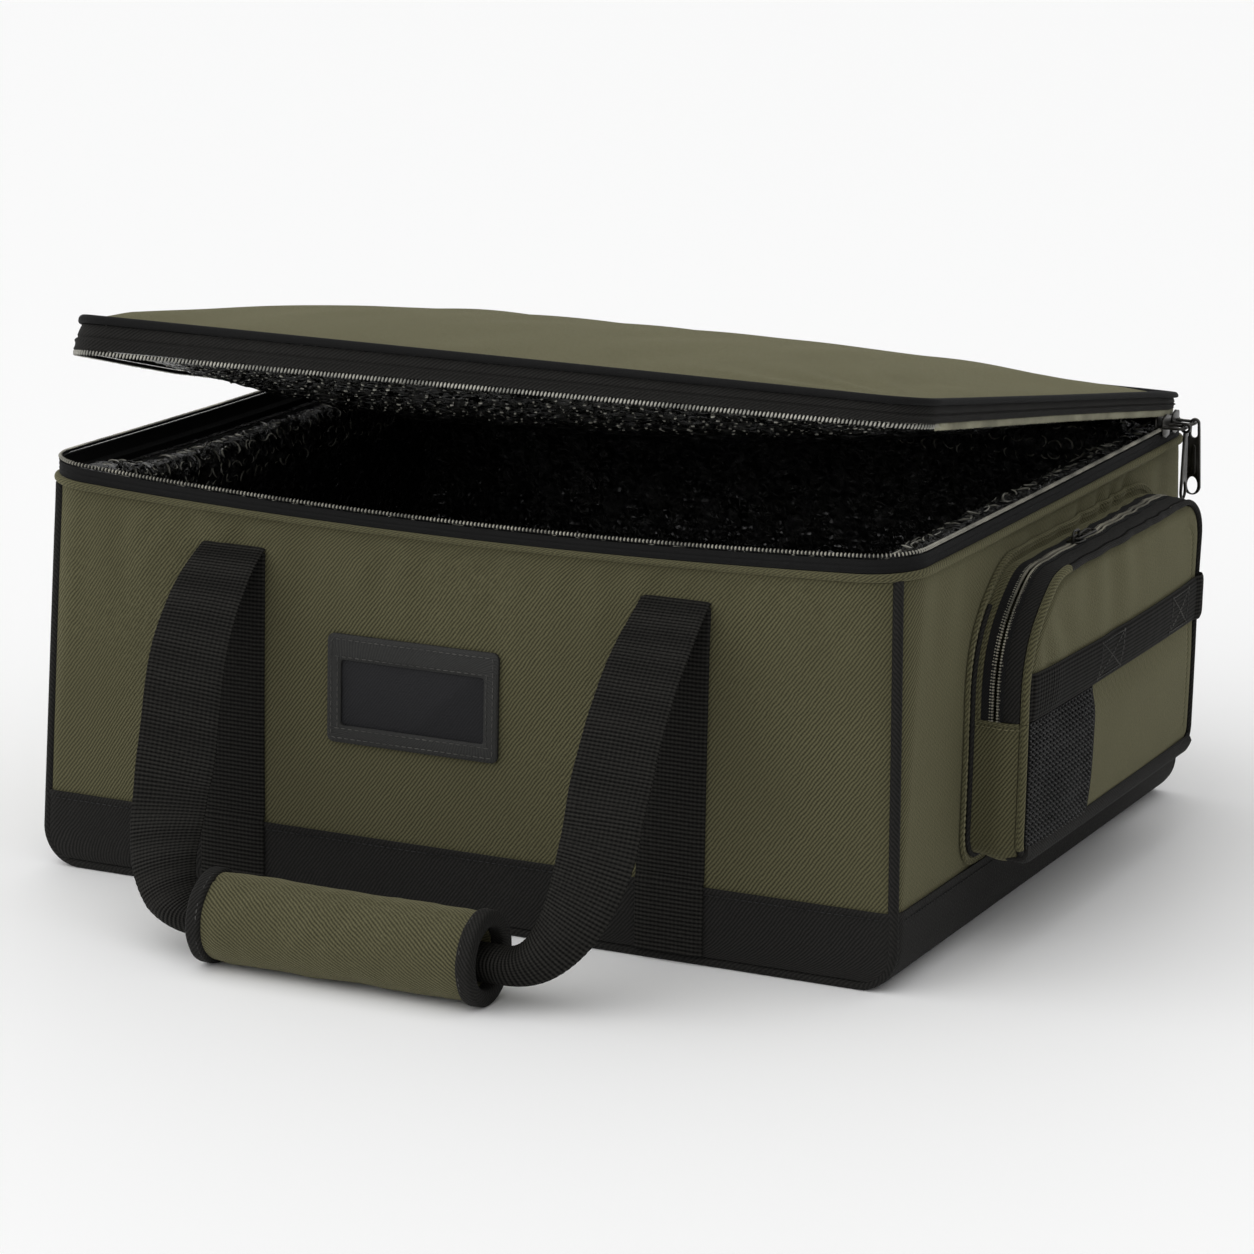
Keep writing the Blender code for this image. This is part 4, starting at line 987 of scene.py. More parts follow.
GROUPS = {"twill": twill_group(), "wear": wear_group()}
FINISHES = (
    Twill("olive_twill", colour(22, 21, 12), colour(103, 100, 74), (0.80, 0.95), sheen=0.22, specular=0.10,
          bump=0.8, depth=0.0005, pitch=0.0017),
    Twill("black_twill", grey(9), colour(44, 43, 41), (0.72, 0.90), sheen=0.06, specular=0.10,
          bump=0.8, depth=0.0005, pitch=0.0017),
    Twill("window_cloth", colour(20, 20, 22), colour(38, 38, 40), (0.55, 0.70), sheen=0.05, specular=0.16,
          bump=0.6, depth=0.0004, pitch=0.0014),
    Twill("black_tape", grey(11), grey(28), (0.72, 0.90), sheen=0.04, specular=0.12, bump=0.6, pitch=0.0010),
    Twill("label_vinyl", grey(26), colour(48, 48, 46), (0.48, 0.64), sheen=0.05, specular=0.22,
          bump=0.6, depth=0.0004, pitch=0.0015),
    Webbing("black_webbing", grey(2), colour(52, 51, 48), (0.65, 0.85), specular=0.06, bump=0.7, pitch=0.0022),
    Film("lining_film", grey(6), colour(66, 66, 62), (0.16, 0.34), specular=0.7, bump=1.0, depth=0.0016),
    # Pale tone for the small pieces laid on the black film: painted glints.
    Grained("film_glint", colour(70, 70, 65), colour(170, 168, 156), (0.2, 0.4), specular=0.6, bump=0.2, patch=160.0),
    Grained("zip_metal", colour(52, 51, 49), colour(84, 83, 79), (0.24, 0.42), 0.0, 0.5, 1.0, 0.08),
    Grained("zip_teeth", colour(120, 120, 114), colour(184, 182, 172), (0.26, 0.42), 0.0, 0.5, 0.7, 0.1),
    # The body's half of the main zip: the same teeth as the lid's, painted darker as shade under the open lid.
    Grained("dark_teeth", colour(96, 95, 88), colour(176, 173, 160), (0.30, 0.50), 0.0, 0.5, 0.3, 0.1),
    Grained("comb_teeth", colour(112, 110, 92), colour(150, 148, 126), (0.5, 0.7), 0.0, 0.3, 0.0, 0.1),
    Grained("pocket_teeth", colour(110, 108, 98), colour(172, 168, 152), (0.35, 0.5), 0.0, 0.4, 0.3, 0.1),
    Grained("mesh_thread", grey(20), grey(50), (0.5, 0.7), specular=0.25, bump=0.4, grain=2400.0),
    Grained("mesh_backing", grey(8), grey(17), (0.8, 0.95), specular=0.08, depth=0.0003, grain=1200.0),
    Grained("black_thread", grey(14), grey(40), (0.6, 0.8), specular=0.2, grain=2400.0),
    Grained("pale_thread", colour(48, 48, 47), colour(84, 83, 80), (0.6, 0.8), specular=0.2, grain=2400.0),
    Grained("olive_thread", colour(84, 81, 58), colour(122, 118, 92), (0.6, 0.8), specular=0.2, grain=2400.0),
    Grained("foam_grey", grey(118), grey(150), (0.85, 0.98), specular=0.3, bump=0.6, depth=0.0006, grain=700.0),
    Grained("board_grey", colour(90, 90, 92), colour(110, 110, 112), (0.4, 0.55), specular=0.5, bump=0.2, grain=400.0),
)
LOOK = {finish.name: finish.make() for finish in FINISHES}
REPEAT, NET = PathRepeat(), Net()


def dress(piece: Object, look: str, body: Optional[Body], slot: Slot, *nodes: str) -> Object:
    """Give a piece its finish and its body, and hide the frame's nodes that it stands for.

    Args:
        piece: the finished mesh object.
        look: the finish's name.
        body: the body that it rides on, or none for a piece that joins two.
        slot: not used.
        nodes: the frame's nodes that it replaces.
    Returns:
        The same object.
    """
    piece.data.materials.clear()
    piece.data.materials.append(LOOK[look])
    if body:
        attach(piece, body.value)
    if nodes:
        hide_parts(*nodes)
    log.info("%s on %s: %d faces", piece.name, body.value if body else "two bodies", len(piece.data.polygons))
    return piece


def sheet(name: str, outer: Array, inner: Array, us: Array, vs: Array, look: str, body: Optional[Body], slot: Slot,
          *nodes: str, wrap: bool = False, smooth: float = SOFT_EDGE) -> Object:
    """Make and dress a closed sheet between two grids of one shape.

    Args:
        name: the piece's name.
        outer: the outer face's points.
        inner: the inner face's points.
        us: cloth coordinate of each column, in metres.
        vs: cloth coordinate of each row, in metres.
        look: the finish's name.
        body: the body that it rides on, or none for a piece that joins two.
        slot: the material slot.
        nodes: the frame's nodes that it replaces.
        wrap: whether its last column joins its first.
        smooth: edges sharper than this, in degrees, stay crisp.
    Returns:
        The new object.
    """
    draft = Draft()
    draft.shell(outer, inner, us, vs, wrap)
    return dress(draft.build(name, smooth), look, body, slot, *nodes)


# The bag's own cut, as the frame has it

@dataclass(frozen=True)
class Cut:
    """Sizes that the sub-assemblies share, in metres."""

    half_x: float = 0.250
    half_y: float = 0.220
    bead_z: float = 0.2125
    rim_corner: float = 0.026
    foot_corner: float = 0.004
    foot_round: float = 0.020
    clear: float = 0.0003
    shell: float = 0.0012
    trim: float = 0.0010
    trim_top: float = 0.042
    piping: float = 0.0024
    bead: float = 0.0023
    proud: float = 0.0006
    band: float = 0.0015
    foam: float = 0.0060
    coil: float = 0.0011
    shell_foot: float = 0.0013
    panel_foot: float = 0.0054
    wall_top: float = 0.2099
    band_foot: float = 0.2151
    band_top: float = 0.2222
    body_coil: float = 0.2236
    zip_plane: float = 0.2252
    lid_coil: float = 0.2268
    lid_band_foot: float = 0.2282
    lid_bead: float = 0.2433
    hinge_y: float = 0.2213

    def corner(self, height: Array) -> Array:
        """Plan radius of the upright corners at a height."""
        return self.foot_corner + (self.rim_corner - self.foot_corner) * np.asarray(height) / self.bead_z

    def foot_inset(self, height: Array) -> Array:
        """How far the rounded foot draws the side walls in."""
        rest = np.clip(self.shell_foot + self.foot_round - np.asarray(height), 0, self.foot_round)
        return self.foot_round - np.sqrt(self.foot_round ** 2 - rest ** 2)

    def piping_inset(self, height: Array) -> Array:
        """How far in from the sharp corner the upright piping runs."""
        return (1 - math.sqrt(0.5)) * self.corner(height)

    def rim(self, inset: float, step: float = 0.0025) -> Array:
        """The outline of the rim in plan, moved inwards, at even steps."""
        loop = rounded_rectangle(self.half_x - inset, self.half_y - inset, self.rim_corner - inset)
        return resample(loop, step, closed=True)


CUT = Cut()


@dataclass(frozen=True)
class Slump:
    """How the soft walls settle: the front of the rim sags, the walls bow and the cloth puckers under its seam."""

    front_sag: float = 0.0086
    sag_start: float = 0.187
    bow: float = 0.0020
    left_pull: float = 0.0030
    left_set: float = 0.0050
    pucker: float = 0.0010
    crease: float = 0.0021
    gather: float = 0.00045

    def __call__(self, points: Array) -> Array:
        """Move points of the body from their cut places to where they settle.

        Args:
            points: Places on the body as cut, (..., 3).

        Returns:
            The places where they settle.
        """
        x, y, z = points[..., 0], points[..., 1], points[..., 2]
        across, along = np.clip(x / CUT.half_x, -1, 1), np.clip(y / CUT.half_y, -1, 1)
        front, back = ease(-y, 0.15, 0.20), ease(y, 0.15, 0.20)
        right, left = ease(x, 0.18, 0.23), ease(-x, 0.18, 0.23)
        span_x, span_y = 1 - across ** 2, 1 - along ** 2
        lift = ease(z, self.sag_start, CUT.body_coil)
        belly = np.sin(np.pi * np.clip(z / CUT.body_coil, 0, 1))
        sag = self.front_sag * span_x * front + 0.0007 * span_y * (right + left)
        under_seam = ease(z, 0.120, 0.196) * (1 - ease(z, 0.203, 0.2105))
        seed_x = np.stack([x, z * 0.16], -1)
        seed_y = np.stack([y, z * 0.16], -1)
        gather = ripple(np.stack([x - 0.6 * (z - 0.200), z * 0.10], -1), 13, 12, 0.022, 0.009) * \
            ease(z, 0.150, 0.203) * (1 - ease(z, 0.205, 0.2105))
        face = self.bow * span_x * belly + (self.pucker * ripple(seed_x, 11, 14, 0.075, 0.018) * under_seam
                                            + self.gather * gather) * (1 - across ** 8)
        flank = self.bow * 0.8 * span_y * belly + self.pucker * ripple(seed_y, 12, 14, 0.075, 0.020) * \
            under_seam * (1 - along ** 8)
        for middle, lean, size in ((0.030, 0.10, 0.5), (0.062, 0.16, 0.9), (0.084, 0.20, 1.0), (0.108, 0.24, 0.8)):
            fold = hump(y - lean * (z - 0.200), middle, 0.0055)
            flank = flank - self.crease * size * fold * right * ease(z, 0.188, 0.200) * (1 - ease(z, 0.204, 0.211))
        upper = ease(z, 0.120, 0.205)
        moved = points.copy()
        moved[..., 0] += right * flank - left * flank + left * (self.left_set + self.left_pull * span_y ** 2 * upper)
        moved[..., 1] += back * face - front * face
        moved[..., 2] -= sag * lift
        return moved


SLUMP = Slump()


def wall(across_half: float, out_half: float, edge: Array, heights: Array, columns: int,
         inset: Optional[Array] = None) -> tuple[Array, Array]:
    """A wall's surface with its rounded corners.

    Args:
        across_half: half the bag's size along the wall.
        out_half: half its size across the wall.
        edge: half the wall's own width at each height.
        heights: height of each row.
        columns: how many columns.
        inset: how far each row is drawn in.
    Returns:
        Rows of (distance along, distance out, height), and the distance over the cloth at each point.
    """
    radius = CUT.corner(heights)
    flat = np.minimum(across_half - radius, edge)
    turn = np.arcsin(np.clip((edge - flat) / radius, 0, 1))
    run = np.linspace(-1, 1, columns)[None] * (flat + radius * turn)[:, None]
    over = np.maximum(np.abs(run) - flat[:, None], 0) / radius[:, None]
    along = np.sign(run) * (np.minimum(np.abs(run), flat[:, None]) + radius[:, None] * np.sin(over))
    out = out_half - radius[:, None] * (1 - np.cos(over))
    if inset is not None:
        out = out - inset[:, None]
    return np.stack([along, out, np.broadcast_to(heights[:, None], along.shape)], -1), run


def face_edge(heights: Array) -> Array:
    """Half the width of the front and back walls beside their piping.

    Args:
        heights: Heights over the floor.

    Returns:
        Half the width at each height.
    """
    bed = CUT.piping - 0.0012
    turn = CUT.shell_foot + CUT.foot_round
    reach = turn - CUT.piping - CUT.clear
    middle = CUT.half_x - CUT.piping_inset(turn) - reach
    rest = np.clip(turn - heights, 0, reach - bed)
    low = middle + np.sqrt(np.maximum((reach - bed) ** 2 - rest ** 2, 0))
    return np.where(heights < turn, low, CUT.half_x - CUT.piping_inset(heights) - bed)


def side_edge(heights: Array) -> Array:
    """Half the length of the side walls beside the piping."""
    return CUT.half_y - CUT.piping_inset(heights) - CUT.piping + 0.0012


class Side(Enum):
    """The four walls: the way that each faces."""

    FRONT = (0, -1)
    BACK = (0, 1)
    RIGHT = (1, 0)
    LEFT = (-1, 0)

    def place(self, table: Array) -> Array:
        """Turn (along, out, height) into a place; along runs to the right of someone who faces the wall.

        Args:
            table: Rows of (along, out, height).

        Returns:
            The places, (..., 3).
        """
        x, y = self.value
        along, out, height = table[..., 0], table[..., 1], table[..., 2]
        return np.stack([x * out - y * along, y * out + x * along, height], -1)

    @property
    def outward(self) -> Array:
        """The way that the wall faces."""
        return np.array([*self.value, 0.0])


def layers(surface: Array, low: float, high: Array, outward: Array) -> tuple[Array, Array]:
    """The outer and inner face of a sheet between two heights over a surface, settled with the body.

    Args:
        surface: The nominal surface.
        low: Height of the inner face over it.
        high: Height of the outer face over it.
        outward: The way out of the surface.

    Returns:
        The outer and the inner face.
    """
    normals = grid_normals(surface)
    normals *= np.sign((normals * outward).sum(-1, keepdims=True))
    outer = SLUMP(surface + normals * np.broadcast_to(high, surface.shape[:-1])[..., None])
    return outer, SLUMP(surface + normals * low)


def stitch(length: float, radius: float) -> Object:
    """A small stitch that lies along X.

    Args:
        length: Its length.
        radius: Radius of its thread.

    Returns:
        The stitch.
    """
    draft = Draft()
    stations = np.array([-0.5, -0.32, 0.0, 0.32, 0.5])
    swell = np.array([0.25, 0.9, 1.0, 0.9, 0.25])
    turns = np.arange(6) * math.tau / 6
    rows = [np.column_stack([np.full(6, s * length), radius * w * np.cos(turns),
                             radius * (w * np.sin(turns) + 0.6 * w - 0.3)]) for s, w in zip(stations, swell)]
    draft.tube(np.stack(rows), np.arange(7) * 0.0004, stations * length)
    return draft.build("stitch_item", 80.0)


def tooth(length: float, width: float, height: float, slant: float = 0.0) -> Object:
    """A small rounded tooth: length along the zip, width across it, height above it, and how far it leans.

    Args:
        length: Its length along the zip.
        width: Its width across the zip.
        height: Its height above the tape.
        slant: How far its top leans.

    Returns:
        The tooth.
    """
    draft = Draft()
    levels = ((-0.5, 0.82), (0.15, 1.0), (0.5, 0.62))
    turns = (np.arange(8) + 0.5) * math.tau / 8
    rows = [np.column_stack([length / 2 * w * np.cos(turns) + slant * width / 2 * w * np.sin(turns),
                             width / 2 * w * np.sin(turns), np.full(8, level * height)]) for level, w in levels]
    draft.tube(np.stack(rows), np.arange(9) * 0.0003, np.arange(3) * 0.0003)
    return draft.build("tooth_item", 60.0)


def sew(name: str, guides: Sequence[Guide], look: str, body: Body, slot: Slot, pitch: float = 0.0036,
        length: float = 0.0026, radius: float = 0.00036) -> Object:
    """Sew rows of stitches along guide lines.

    Args:
        name: the piece's name.
        guides: the rows.
        look: the thread's finish.
        body: the body that it rides on.
        slot: the material slot.
        pitch: distance between stitches.
        length: length of a stitch.
        radius: how thick the thread is.
    Returns:
        The stitches as one piece.
    """
    piece = REPEAT.run(name, guides, stitch(length, radius), pitch, look, (0.08, 0.05, 0.05), 1)
    return dress(piece, look, body, slot)


def run_teeth(name: str, guides: Sequence[Guide], size: tuple[float, float, float], pitch: float, look: str,
              body: Body, seed: int = 5, slant: float = 0.0) -> Object:
    """Set zip teeth along guide lines.

    Args:
        name: the piece's name.
        guides: the rows of teeth.
        size: length along the zip, width across it and height of a tooth.
        pitch: distance between teeth.
        look: the teeth's finish.
        body: the body that they ride on.
        seed: picks the small unevenness.
        slant: how far the teeth lean along the zip, as a share of their width.
    Returns:
        The teeth as one piece.
    """
    piece = REPEAT.run(name, guides, tooth(*size, slant), pitch, look, (0.06, 0.05, 0.05), seed)
    return dress(piece, look, body, Slot.COIL)


@dataclass
class Walls:
    """The outer cloth: four walls, base trims, boot and corner piping."""

    cell: float = 0.0022
    hem_cell: float = 0.0012
    overlap: float = 0.010
    stitch_drop: float = 0.0042

    def panels(self) -> None:
        """The olive walls."""
        side_foot = CUT.trim_top - self.overlap
        for side, name, foot in (
                (Side.FRONT, "front_panel", CUT.panel_foot), (Side.BACK, "back_panel", CUT.panel_foot),
                (Side.RIGHT, "right_side_panel", side_foot), (Side.LEFT, "left_side_panel", side_foot)):
            surface, run, heights = self.surface(side, foot, CUT.wall_top, self.cell)
            sheet(name + "_cloth", *layers(surface, -CUT.shell, 0.0, side.outward), run[-1], heights, "olive_twill",
                  Body.BAG, Slot.OLIVE, name)

    def surface(self, side: Side, foot: float, top: float, cell: float) -> tuple[Array, Array, Array]:
        """A wall's nominal surface between two heights, with its cloth distances and heights.

        Args:
            side: The wall's side.
            foot: Height of its lower edge.
            top: Height of its upper edge.
            cell: Distance between its points.

        Returns:
            The surface, its cloth distances and its heights.
        """
        heights = np.linspace(foot, top, max(int((top - foot) / cell), 4) + 1)
        if side in (Side.FRONT, Side.BACK):
            columns = int(2 * CUT.half_x / self.cell)
            table, run = wall(CUT.half_x, CUT.half_y, face_edge(heights), heights, columns)
        else:
            columns = int(2 * CUT.half_y / self.cell)
            table, run = wall(CUT.half_y, CUT.half_x, side_edge(heights), heights, columns,
                              CUT.foot_inset(heights))
        return side.place(table), run, heights

    def hemmed(self, heights: Array) -> Array:
        """Thickness of the black cloth at each height, with the fold of its hem along the top."""
        return CUT.trim * (0.8 + 0.55 * hump(heights, CUT.trim_top - 0.0012, 0.0016))

    def trims(self) -> None:
        """The black trims on the front and back, hemmed along their top, with a row of stitches."""
        for side, name in ((Side.FRONT, "front_base_trim"), (Side.BACK, "back_base_trim")):
            surface, run, heights = self.surface(side, CUT.panel_foot, CUT.trim_top, self.hem_cell)
            thick = CUT.clear + self.hemmed(heights)
            thick = thick[:, None] + 0.00015 * ripple(surface, 31, 10, 0.05, 0.012)
            sheet(name + "_cloth", *layers(surface, CUT.clear, thick, side.outward), run[-1], heights, "black_twill",
                  Body.BAG, Slot.BLACK, name)
            row = np.argmin(np.abs(heights - CUT.trim_top + self.stitch_drop))
            guide = SLUMP(surface[row] + side.outward * (CUT.clear + CUT.trim))
            sew(name + "_stitches", [(guide[3:-3], side.outward, False)], "black_thread", Body.BAG, Slot.BLACK)

    def boot(self) -> None:
        """The black boot: up both sides and under the base."""
        upright = CUT.trim_top - CUT.shell_foot - CUT.foot_round
        flat, quarter = CUT.half_x - CUT.foot_round, CUT.foot_round * math.pi / 2
        rows = np.unique(np.round(np.concatenate([
            np.linspace(0, flat, 40), np.linspace(flat, flat + quarter, 14),
            np.linspace(flat + quarter, flat + quarter + upright, 14)]), 6))
        girth = np.concatenate([-rows[:0:-1], rows])
        run = np.abs(girth)
        turn = np.clip((run - flat) / CUT.foot_round, 0, math.pi / 2)
        x = np.minimum(run, flat) + CUT.foot_round * np.sin(turn)
        height = CUT.shell_foot + CUT.foot_round * (1 - np.cos(turn)) + np.maximum(run - flat - quarter, 0)
        table, across = wall(CUT.half_y, 0.0, side_edge(height), height, 160)
        sign = np.sign(girth + 1e-9)[:, None]
        surface = np.stack([sign * (x[:, None] + table[..., 1]), table[..., 0], table[..., 2]], -1)
        normals = grid_normals(surface)
        middle = len(girth) // 2
        normals *= -np.sign(normals[middle, 80, 2])
        thick = self.hemmed(height)[:, None, None]
        thick = np.where(height[:, None, None] < 0.012, CUT.trim, thick)
        sheet("base_boot_cloth", SLUMP(surface + normals * (CUT.clear + thick)), SLUMP(surface + normals * CUT.clear),
              across[0], girth, "black_twill", Body.BAG, Slot.BLACK, "base_boot")
        guides = []
        for sign, side in ((1, Side.RIGHT), (-1, Side.LEFT)):
            row = np.argmin(np.abs(sign * girth - (flat + quarter + upright - self.stitch_drop)))
            line = SLUMP(surface[row] + normals[row] * (CUT.clear + CUT.trim))
            guides.append((line[3:-3], side.outward, False))
        sew("base_boot_stitches", guides, "black_thread", Body.BAG, Slot.BLACK)

    def piping(self) -> None:
        """Round corded piping down the corners and along the foot of the front and back."""
        turn_z = CUT.shell_foot + CUT.foot_round
        foot_inset = CUT.piping_inset(turn_z)
        radius = turn_z - CUT.piping - CUT.clear
        heights = np.linspace(CUT.wall_top + 0.0008, turn_z, 60)[:-1]
        inset = CUT.piping_inset(heights)
        bend = arc((CUT.half_x - foot_inset - radius, turn_z), radius, 0, -90, 16)
        half = np.vstack([np.column_stack([CUT.half_x - inset, CUT.half_y - inset, heights]),
                          np.column_stack([bend[:, 0], np.full(17, CUT.half_y - foot_inset), bend[:, 1]])])
        for sign, name in ((-1, "front_piping"), (1, "back_piping")):
            path = resample(np.vstack([half, half[::-1] * (-1, 1, 1)]) * (1, sign, 1), 0.0025)
            piece = sweep(name + "_cord", path, facing((0.0, sign, 0.0), path), circle_profile(CUT.piping + 0.0004, 14),
                          form=SLUMP)
            dress(piece, "black_twill", Body.BAG, Slot.BLACK, name)

    def build(self) -> None:
        """Build every piece of the walls."""
        self.panels()
        self.trims()
        self.boot()
        self.piping()


@dataclass
class Rim:
    """The rim: olive bead, black band and the body's half of the zip."""

    pitch: float = 0.0021
    tooth_lean: float = 0.8
    facing_foot: float = 0.2080
    facing_in: float = 0.0046
    facing_thick: float = 0.0010

    def build(self) -> None:
        """Build the rim's pieces."""
        path, out = rim_path(-CUT.proud, CUT.bead_z)
        turns = np.arange(16) * math.tau / 16
        swell = CUT.bead * (1 + 0.04 * np.cos(2 * turns))
        profile = np.stack([swell * np.cos(turns), swell * np.sin(turns)], -1)
        dress(sweep("rim_bead_cord", path, out, profile, closed=True, form=SLUMP), "olive_twill", Body.BAG,
              Slot.OLIVE, "rim_bead")
        middle, half = (CUT.band_foot + CUT.band_top) / 2, (CUT.band_top - CUT.band_foot) / 2
        path, out = rim_path(0.0, middle)
        up = np.linspace(-1, 1, 9)
        puff = 0.0004 * np.abs(np.sin(up * math.pi * 1.5))
        foot = self.facing_foot - middle
        behind, near = -self.facing_in, -self.facing_in + self.facing_thick
        profile = np.vstack([
            np.column_stack([puff, up * half]),
            [(-CUT.band, half), (-CUT.band - 0.0003, 0.0), (-CUT.band - 0.0008, -half), (behind, -half - 0.0018),
             (behind, foot), (near, foot), (near, -half - 0.0020), (-self.facing_thick, -half + 0.0002)]])
        dress(sweep("rim_band_tape", path, out, profile, closed=True, form=SLUMP), "black_tape", Body.BAG,
              Slot.BLACK, "rim_band")
        path, out = zip_run(CUT.body_coil)
        core = sweep("body_zip_cord", path, out, circle_profile(CUT.coil * 0.8, 8), form=SLUMP)
        dress(core, "black_tape", Body.BAG, Slot.COIL, "body_zip_coil")
        way = unit(out * math.cos(self.tooth_lean) + np.array([0, 0, 1.0]) * math.sin(self.tooth_lean))
        run_teeth("body_zip_teeth", [(SLUMP(path) + way * CUT.coil * 0.75, way, False)], (0.00095, 0.0024, 0.0012),
                  self.pitch, "dark_teeth", Body.BAG)


def way_out(plan: Array) -> Array:
    """The level way out of a closed outline in plan, at each of its points."""
    along = tangents(plan, closed=True)
    return np.column_stack([along[:, 1], -along[:, 0], np.zeros(len(plan))])


def rim_path(inset: float, height: float) -> tuple[Array, Array]:
    """A level path round the rim and the way out of it."""
    plan = CUT.rim(inset)
    return np.column_stack([plan, np.full(len(plan), height)]), way_out(plan)


def zip_run(height: float) -> tuple[Array, Array]:
    """The zip's run from the back of one side round the front to the other, and the way out of it.

    Args:
        height: Height of the run over the floor.

    Returns:
        Its points and the way out at each.
    """
    path, out = rim_path(CUT.band / 2, height)
    order = np.argsort(np.mod(np.arctan2(path[:, 1] - 0.19, path[:, 0]) - math.radians(88), math.tau))
    keep = [index for index in order if path[index, 1] < 0.2105]
    return path[keep], out[keep]


@dataclass(frozen=True)
class LidForm:
    """How the open lid hangs: its left side droops over the rim, and its crown sinks a little towards the back."""

    tilt: float = math.radians(8.0)
    stations: tuple[float, ...] = (-0.22, -0.142, -0.0935, -0.05, -0.012, 0.05, 0.10, 0.15, 0.18, 0.2213)
    left_low: tuple[float, ...] = (0.0058, 0.0144, 0.0194, 0.0225, 0.0240, 0.0222, 0.0165, 0.0085, 0.0045, 0.0003)
    left_top: tuple[float, ...] = (0.0050, 0.0120, 0.0170, 0.0205, 0.0225, 0.0215, 0.0175, 0.0125, 0.0115, 0.0110)
    right_low: tuple[float, ...] = (0.0000, 0.0000, 0.0000, 0.0000, 0.0000, 0.0003, 0.0006, 0.0010, 0.0012, 0.0003)
    right_top: tuple[float, ...] = (0.0046, 0.0054, 0.0058, 0.0062, 0.0065, 0.0069, 0.0072, 0.0076, 0.0085, 0.0100)
    crown_sink: tuple[float, float] = (0.0043, 0.0052)
    pull: tuple[float, float] = (0.0125, 0.0170)
    back_pull: float = 0.0070
    fade: float = 0.020

    def drop(self, points: Array) -> Array:
        """How far each point of the closed lid hangs below its cut place.

        Args:
            points: Places on the closed lid.

        Returns:
            How far each one hangs.
        """
        x, y, z = points[..., 0], points[..., 1], points[..., 2]
        share = np.clip((x + CUT.half_x) / (2 * CUT.half_x), 0, 1)
        pick = [np.interp(y, self.stations, table) for table in
                (self.left_low, self.left_top, self.right_low, self.right_top)]
        low = pick[0] * (1 - share) + pick[2] * share
        sink = self.crown_sink[0] + self.crown_sink[1] * ease(y, 0.0, 0.22)
        high = sink + (pick[1] - sink) * np.exp(-share / self.fade) + (pick[3] - sink) * share ** 4
        level = np.clip((z - CUT.lid_band_foot) / (CUT.lid_bead - CUT.lid_band_foot), 0, 1)
        return low + (high - low) * level

    def droop(self, points: Array) -> Array:
        """Move points of the closed lid to where they hang, still closed.

        Args:
            points: Places on the closed lid.

        Returns:
            The places where they hang.
        """
        moved = points.copy()
        share = np.clip((points[..., 0] + CUT.half_x) / (2 * CUT.half_x), 0, 1)
        level = np.clip((points[..., 2] - CUT.lid_band_foot) / (CUT.lid_bead - CUT.lid_band_foot), 0, 1)
        rear = ease(points[..., 1], 0.17, 0.22)
        inward = self.pull[0] + (self.pull[1] - self.pull[0]) * level * (1 - rear)
        moved[..., 0] += inward * (1 - 0.6 * rear) * (1 - ease(share, 0.0, 0.55))
        moved[..., 0] -= self.back_pull * rear * ease(share, 0.75, 0.98)
        moved[..., 2] -= self.drop(points)
        return moved

    def open(self, points: Array) -> Array:
        """Tilt points of the closed lid about its hinge to where it stands at rest.

        Args:
            points: Places on the closed lid.

        Returns:
            The places at rest.
        """
        out, up = points[..., 1] - CUT.hinge_y, points[..., 2] - CUT.zip_plane
        cos, sin = math.cos(self.tilt), math.sin(self.tilt)
        return np.stack([points[..., 0], CUT.hinge_y + out * cos + up * sin, CUT.zip_plane - out * sin + up * cos], -1)

    def __call__(self, points: Array) -> Array:
        """Move points of the closed lid's cut to where they are at rest."""
        return self.open(self.droop(points))


LID_FORM = LidForm()


def rounded_grid(low: Sequence[float], high: Sequence[float], radius: float, cell: float,
                 turned_up: int = 0) -> tuple[Array, Array, Array, Array]:
    """A grid over a rounded rectangle.

    Args:
        low: its lowest x and y.
        high: its highest x and y.
        radius: radius of its corners.
        cell: size of a cell.
        turned_up: how many outer rings of the grid stand on the outline, as a turned-up edge.
    Returns:
        Plan places by row and column, the height share of the turned-up edge, and the cloth coordinates of the
        columns and the rows.
    """
    low, high = np.array(low), np.array(high)
    half, middle = (high - low) / 2, (high + low) / 2
    columns, rows = (np.ceil(2 * half / cell).astype(int) + 1) | 1
    a, b = np.meshgrid(np.linspace(-1, 1, columns), np.linspace(-1, 1, rows))
    ring = np.maximum(np.abs(a), np.abs(b))
    flat_part = 1 - turned_up * 2 / max(columns, rows)
    reach = np.where(ring < flat_part, flat_part, ring)
    x, y = a / reach * half[0], b / reach * half[1]
    over_x, over_y = np.abs(x) - (half[0] - radius), np.abs(y) - (half[1] - radius)
    corner = (over_x > 0) & (over_y > 0)
    length = np.where(corner, np.hypot(over_x, over_y), 1.0)
    shrink = np.where(corner, np.maximum(over_x, over_y) / length, 1.0)
    x = np.where(corner, np.sign(x) * (half[0] - radius + over_x * shrink), x)
    y = np.where(corner, np.sign(y) * (half[1] - radius + over_y * shrink), y)
    rise = np.clip((ring - flat_part) / max(1 - flat_part, 1e-9), 0, 1)
    return (np.stack([x + middle[0], y + middle[1]], -1), rise, np.linspace(0, 2 * half[0], columns),
            np.linspace(0, 2 * half[1], rows))


def raised(plan: Array, height: Array) -> Array:
    """Places from a plan and a height at each of its points."""
    return np.concatenate([plan, np.broadcast_to(height, plan.shape[:-1])[..., None]], -1)


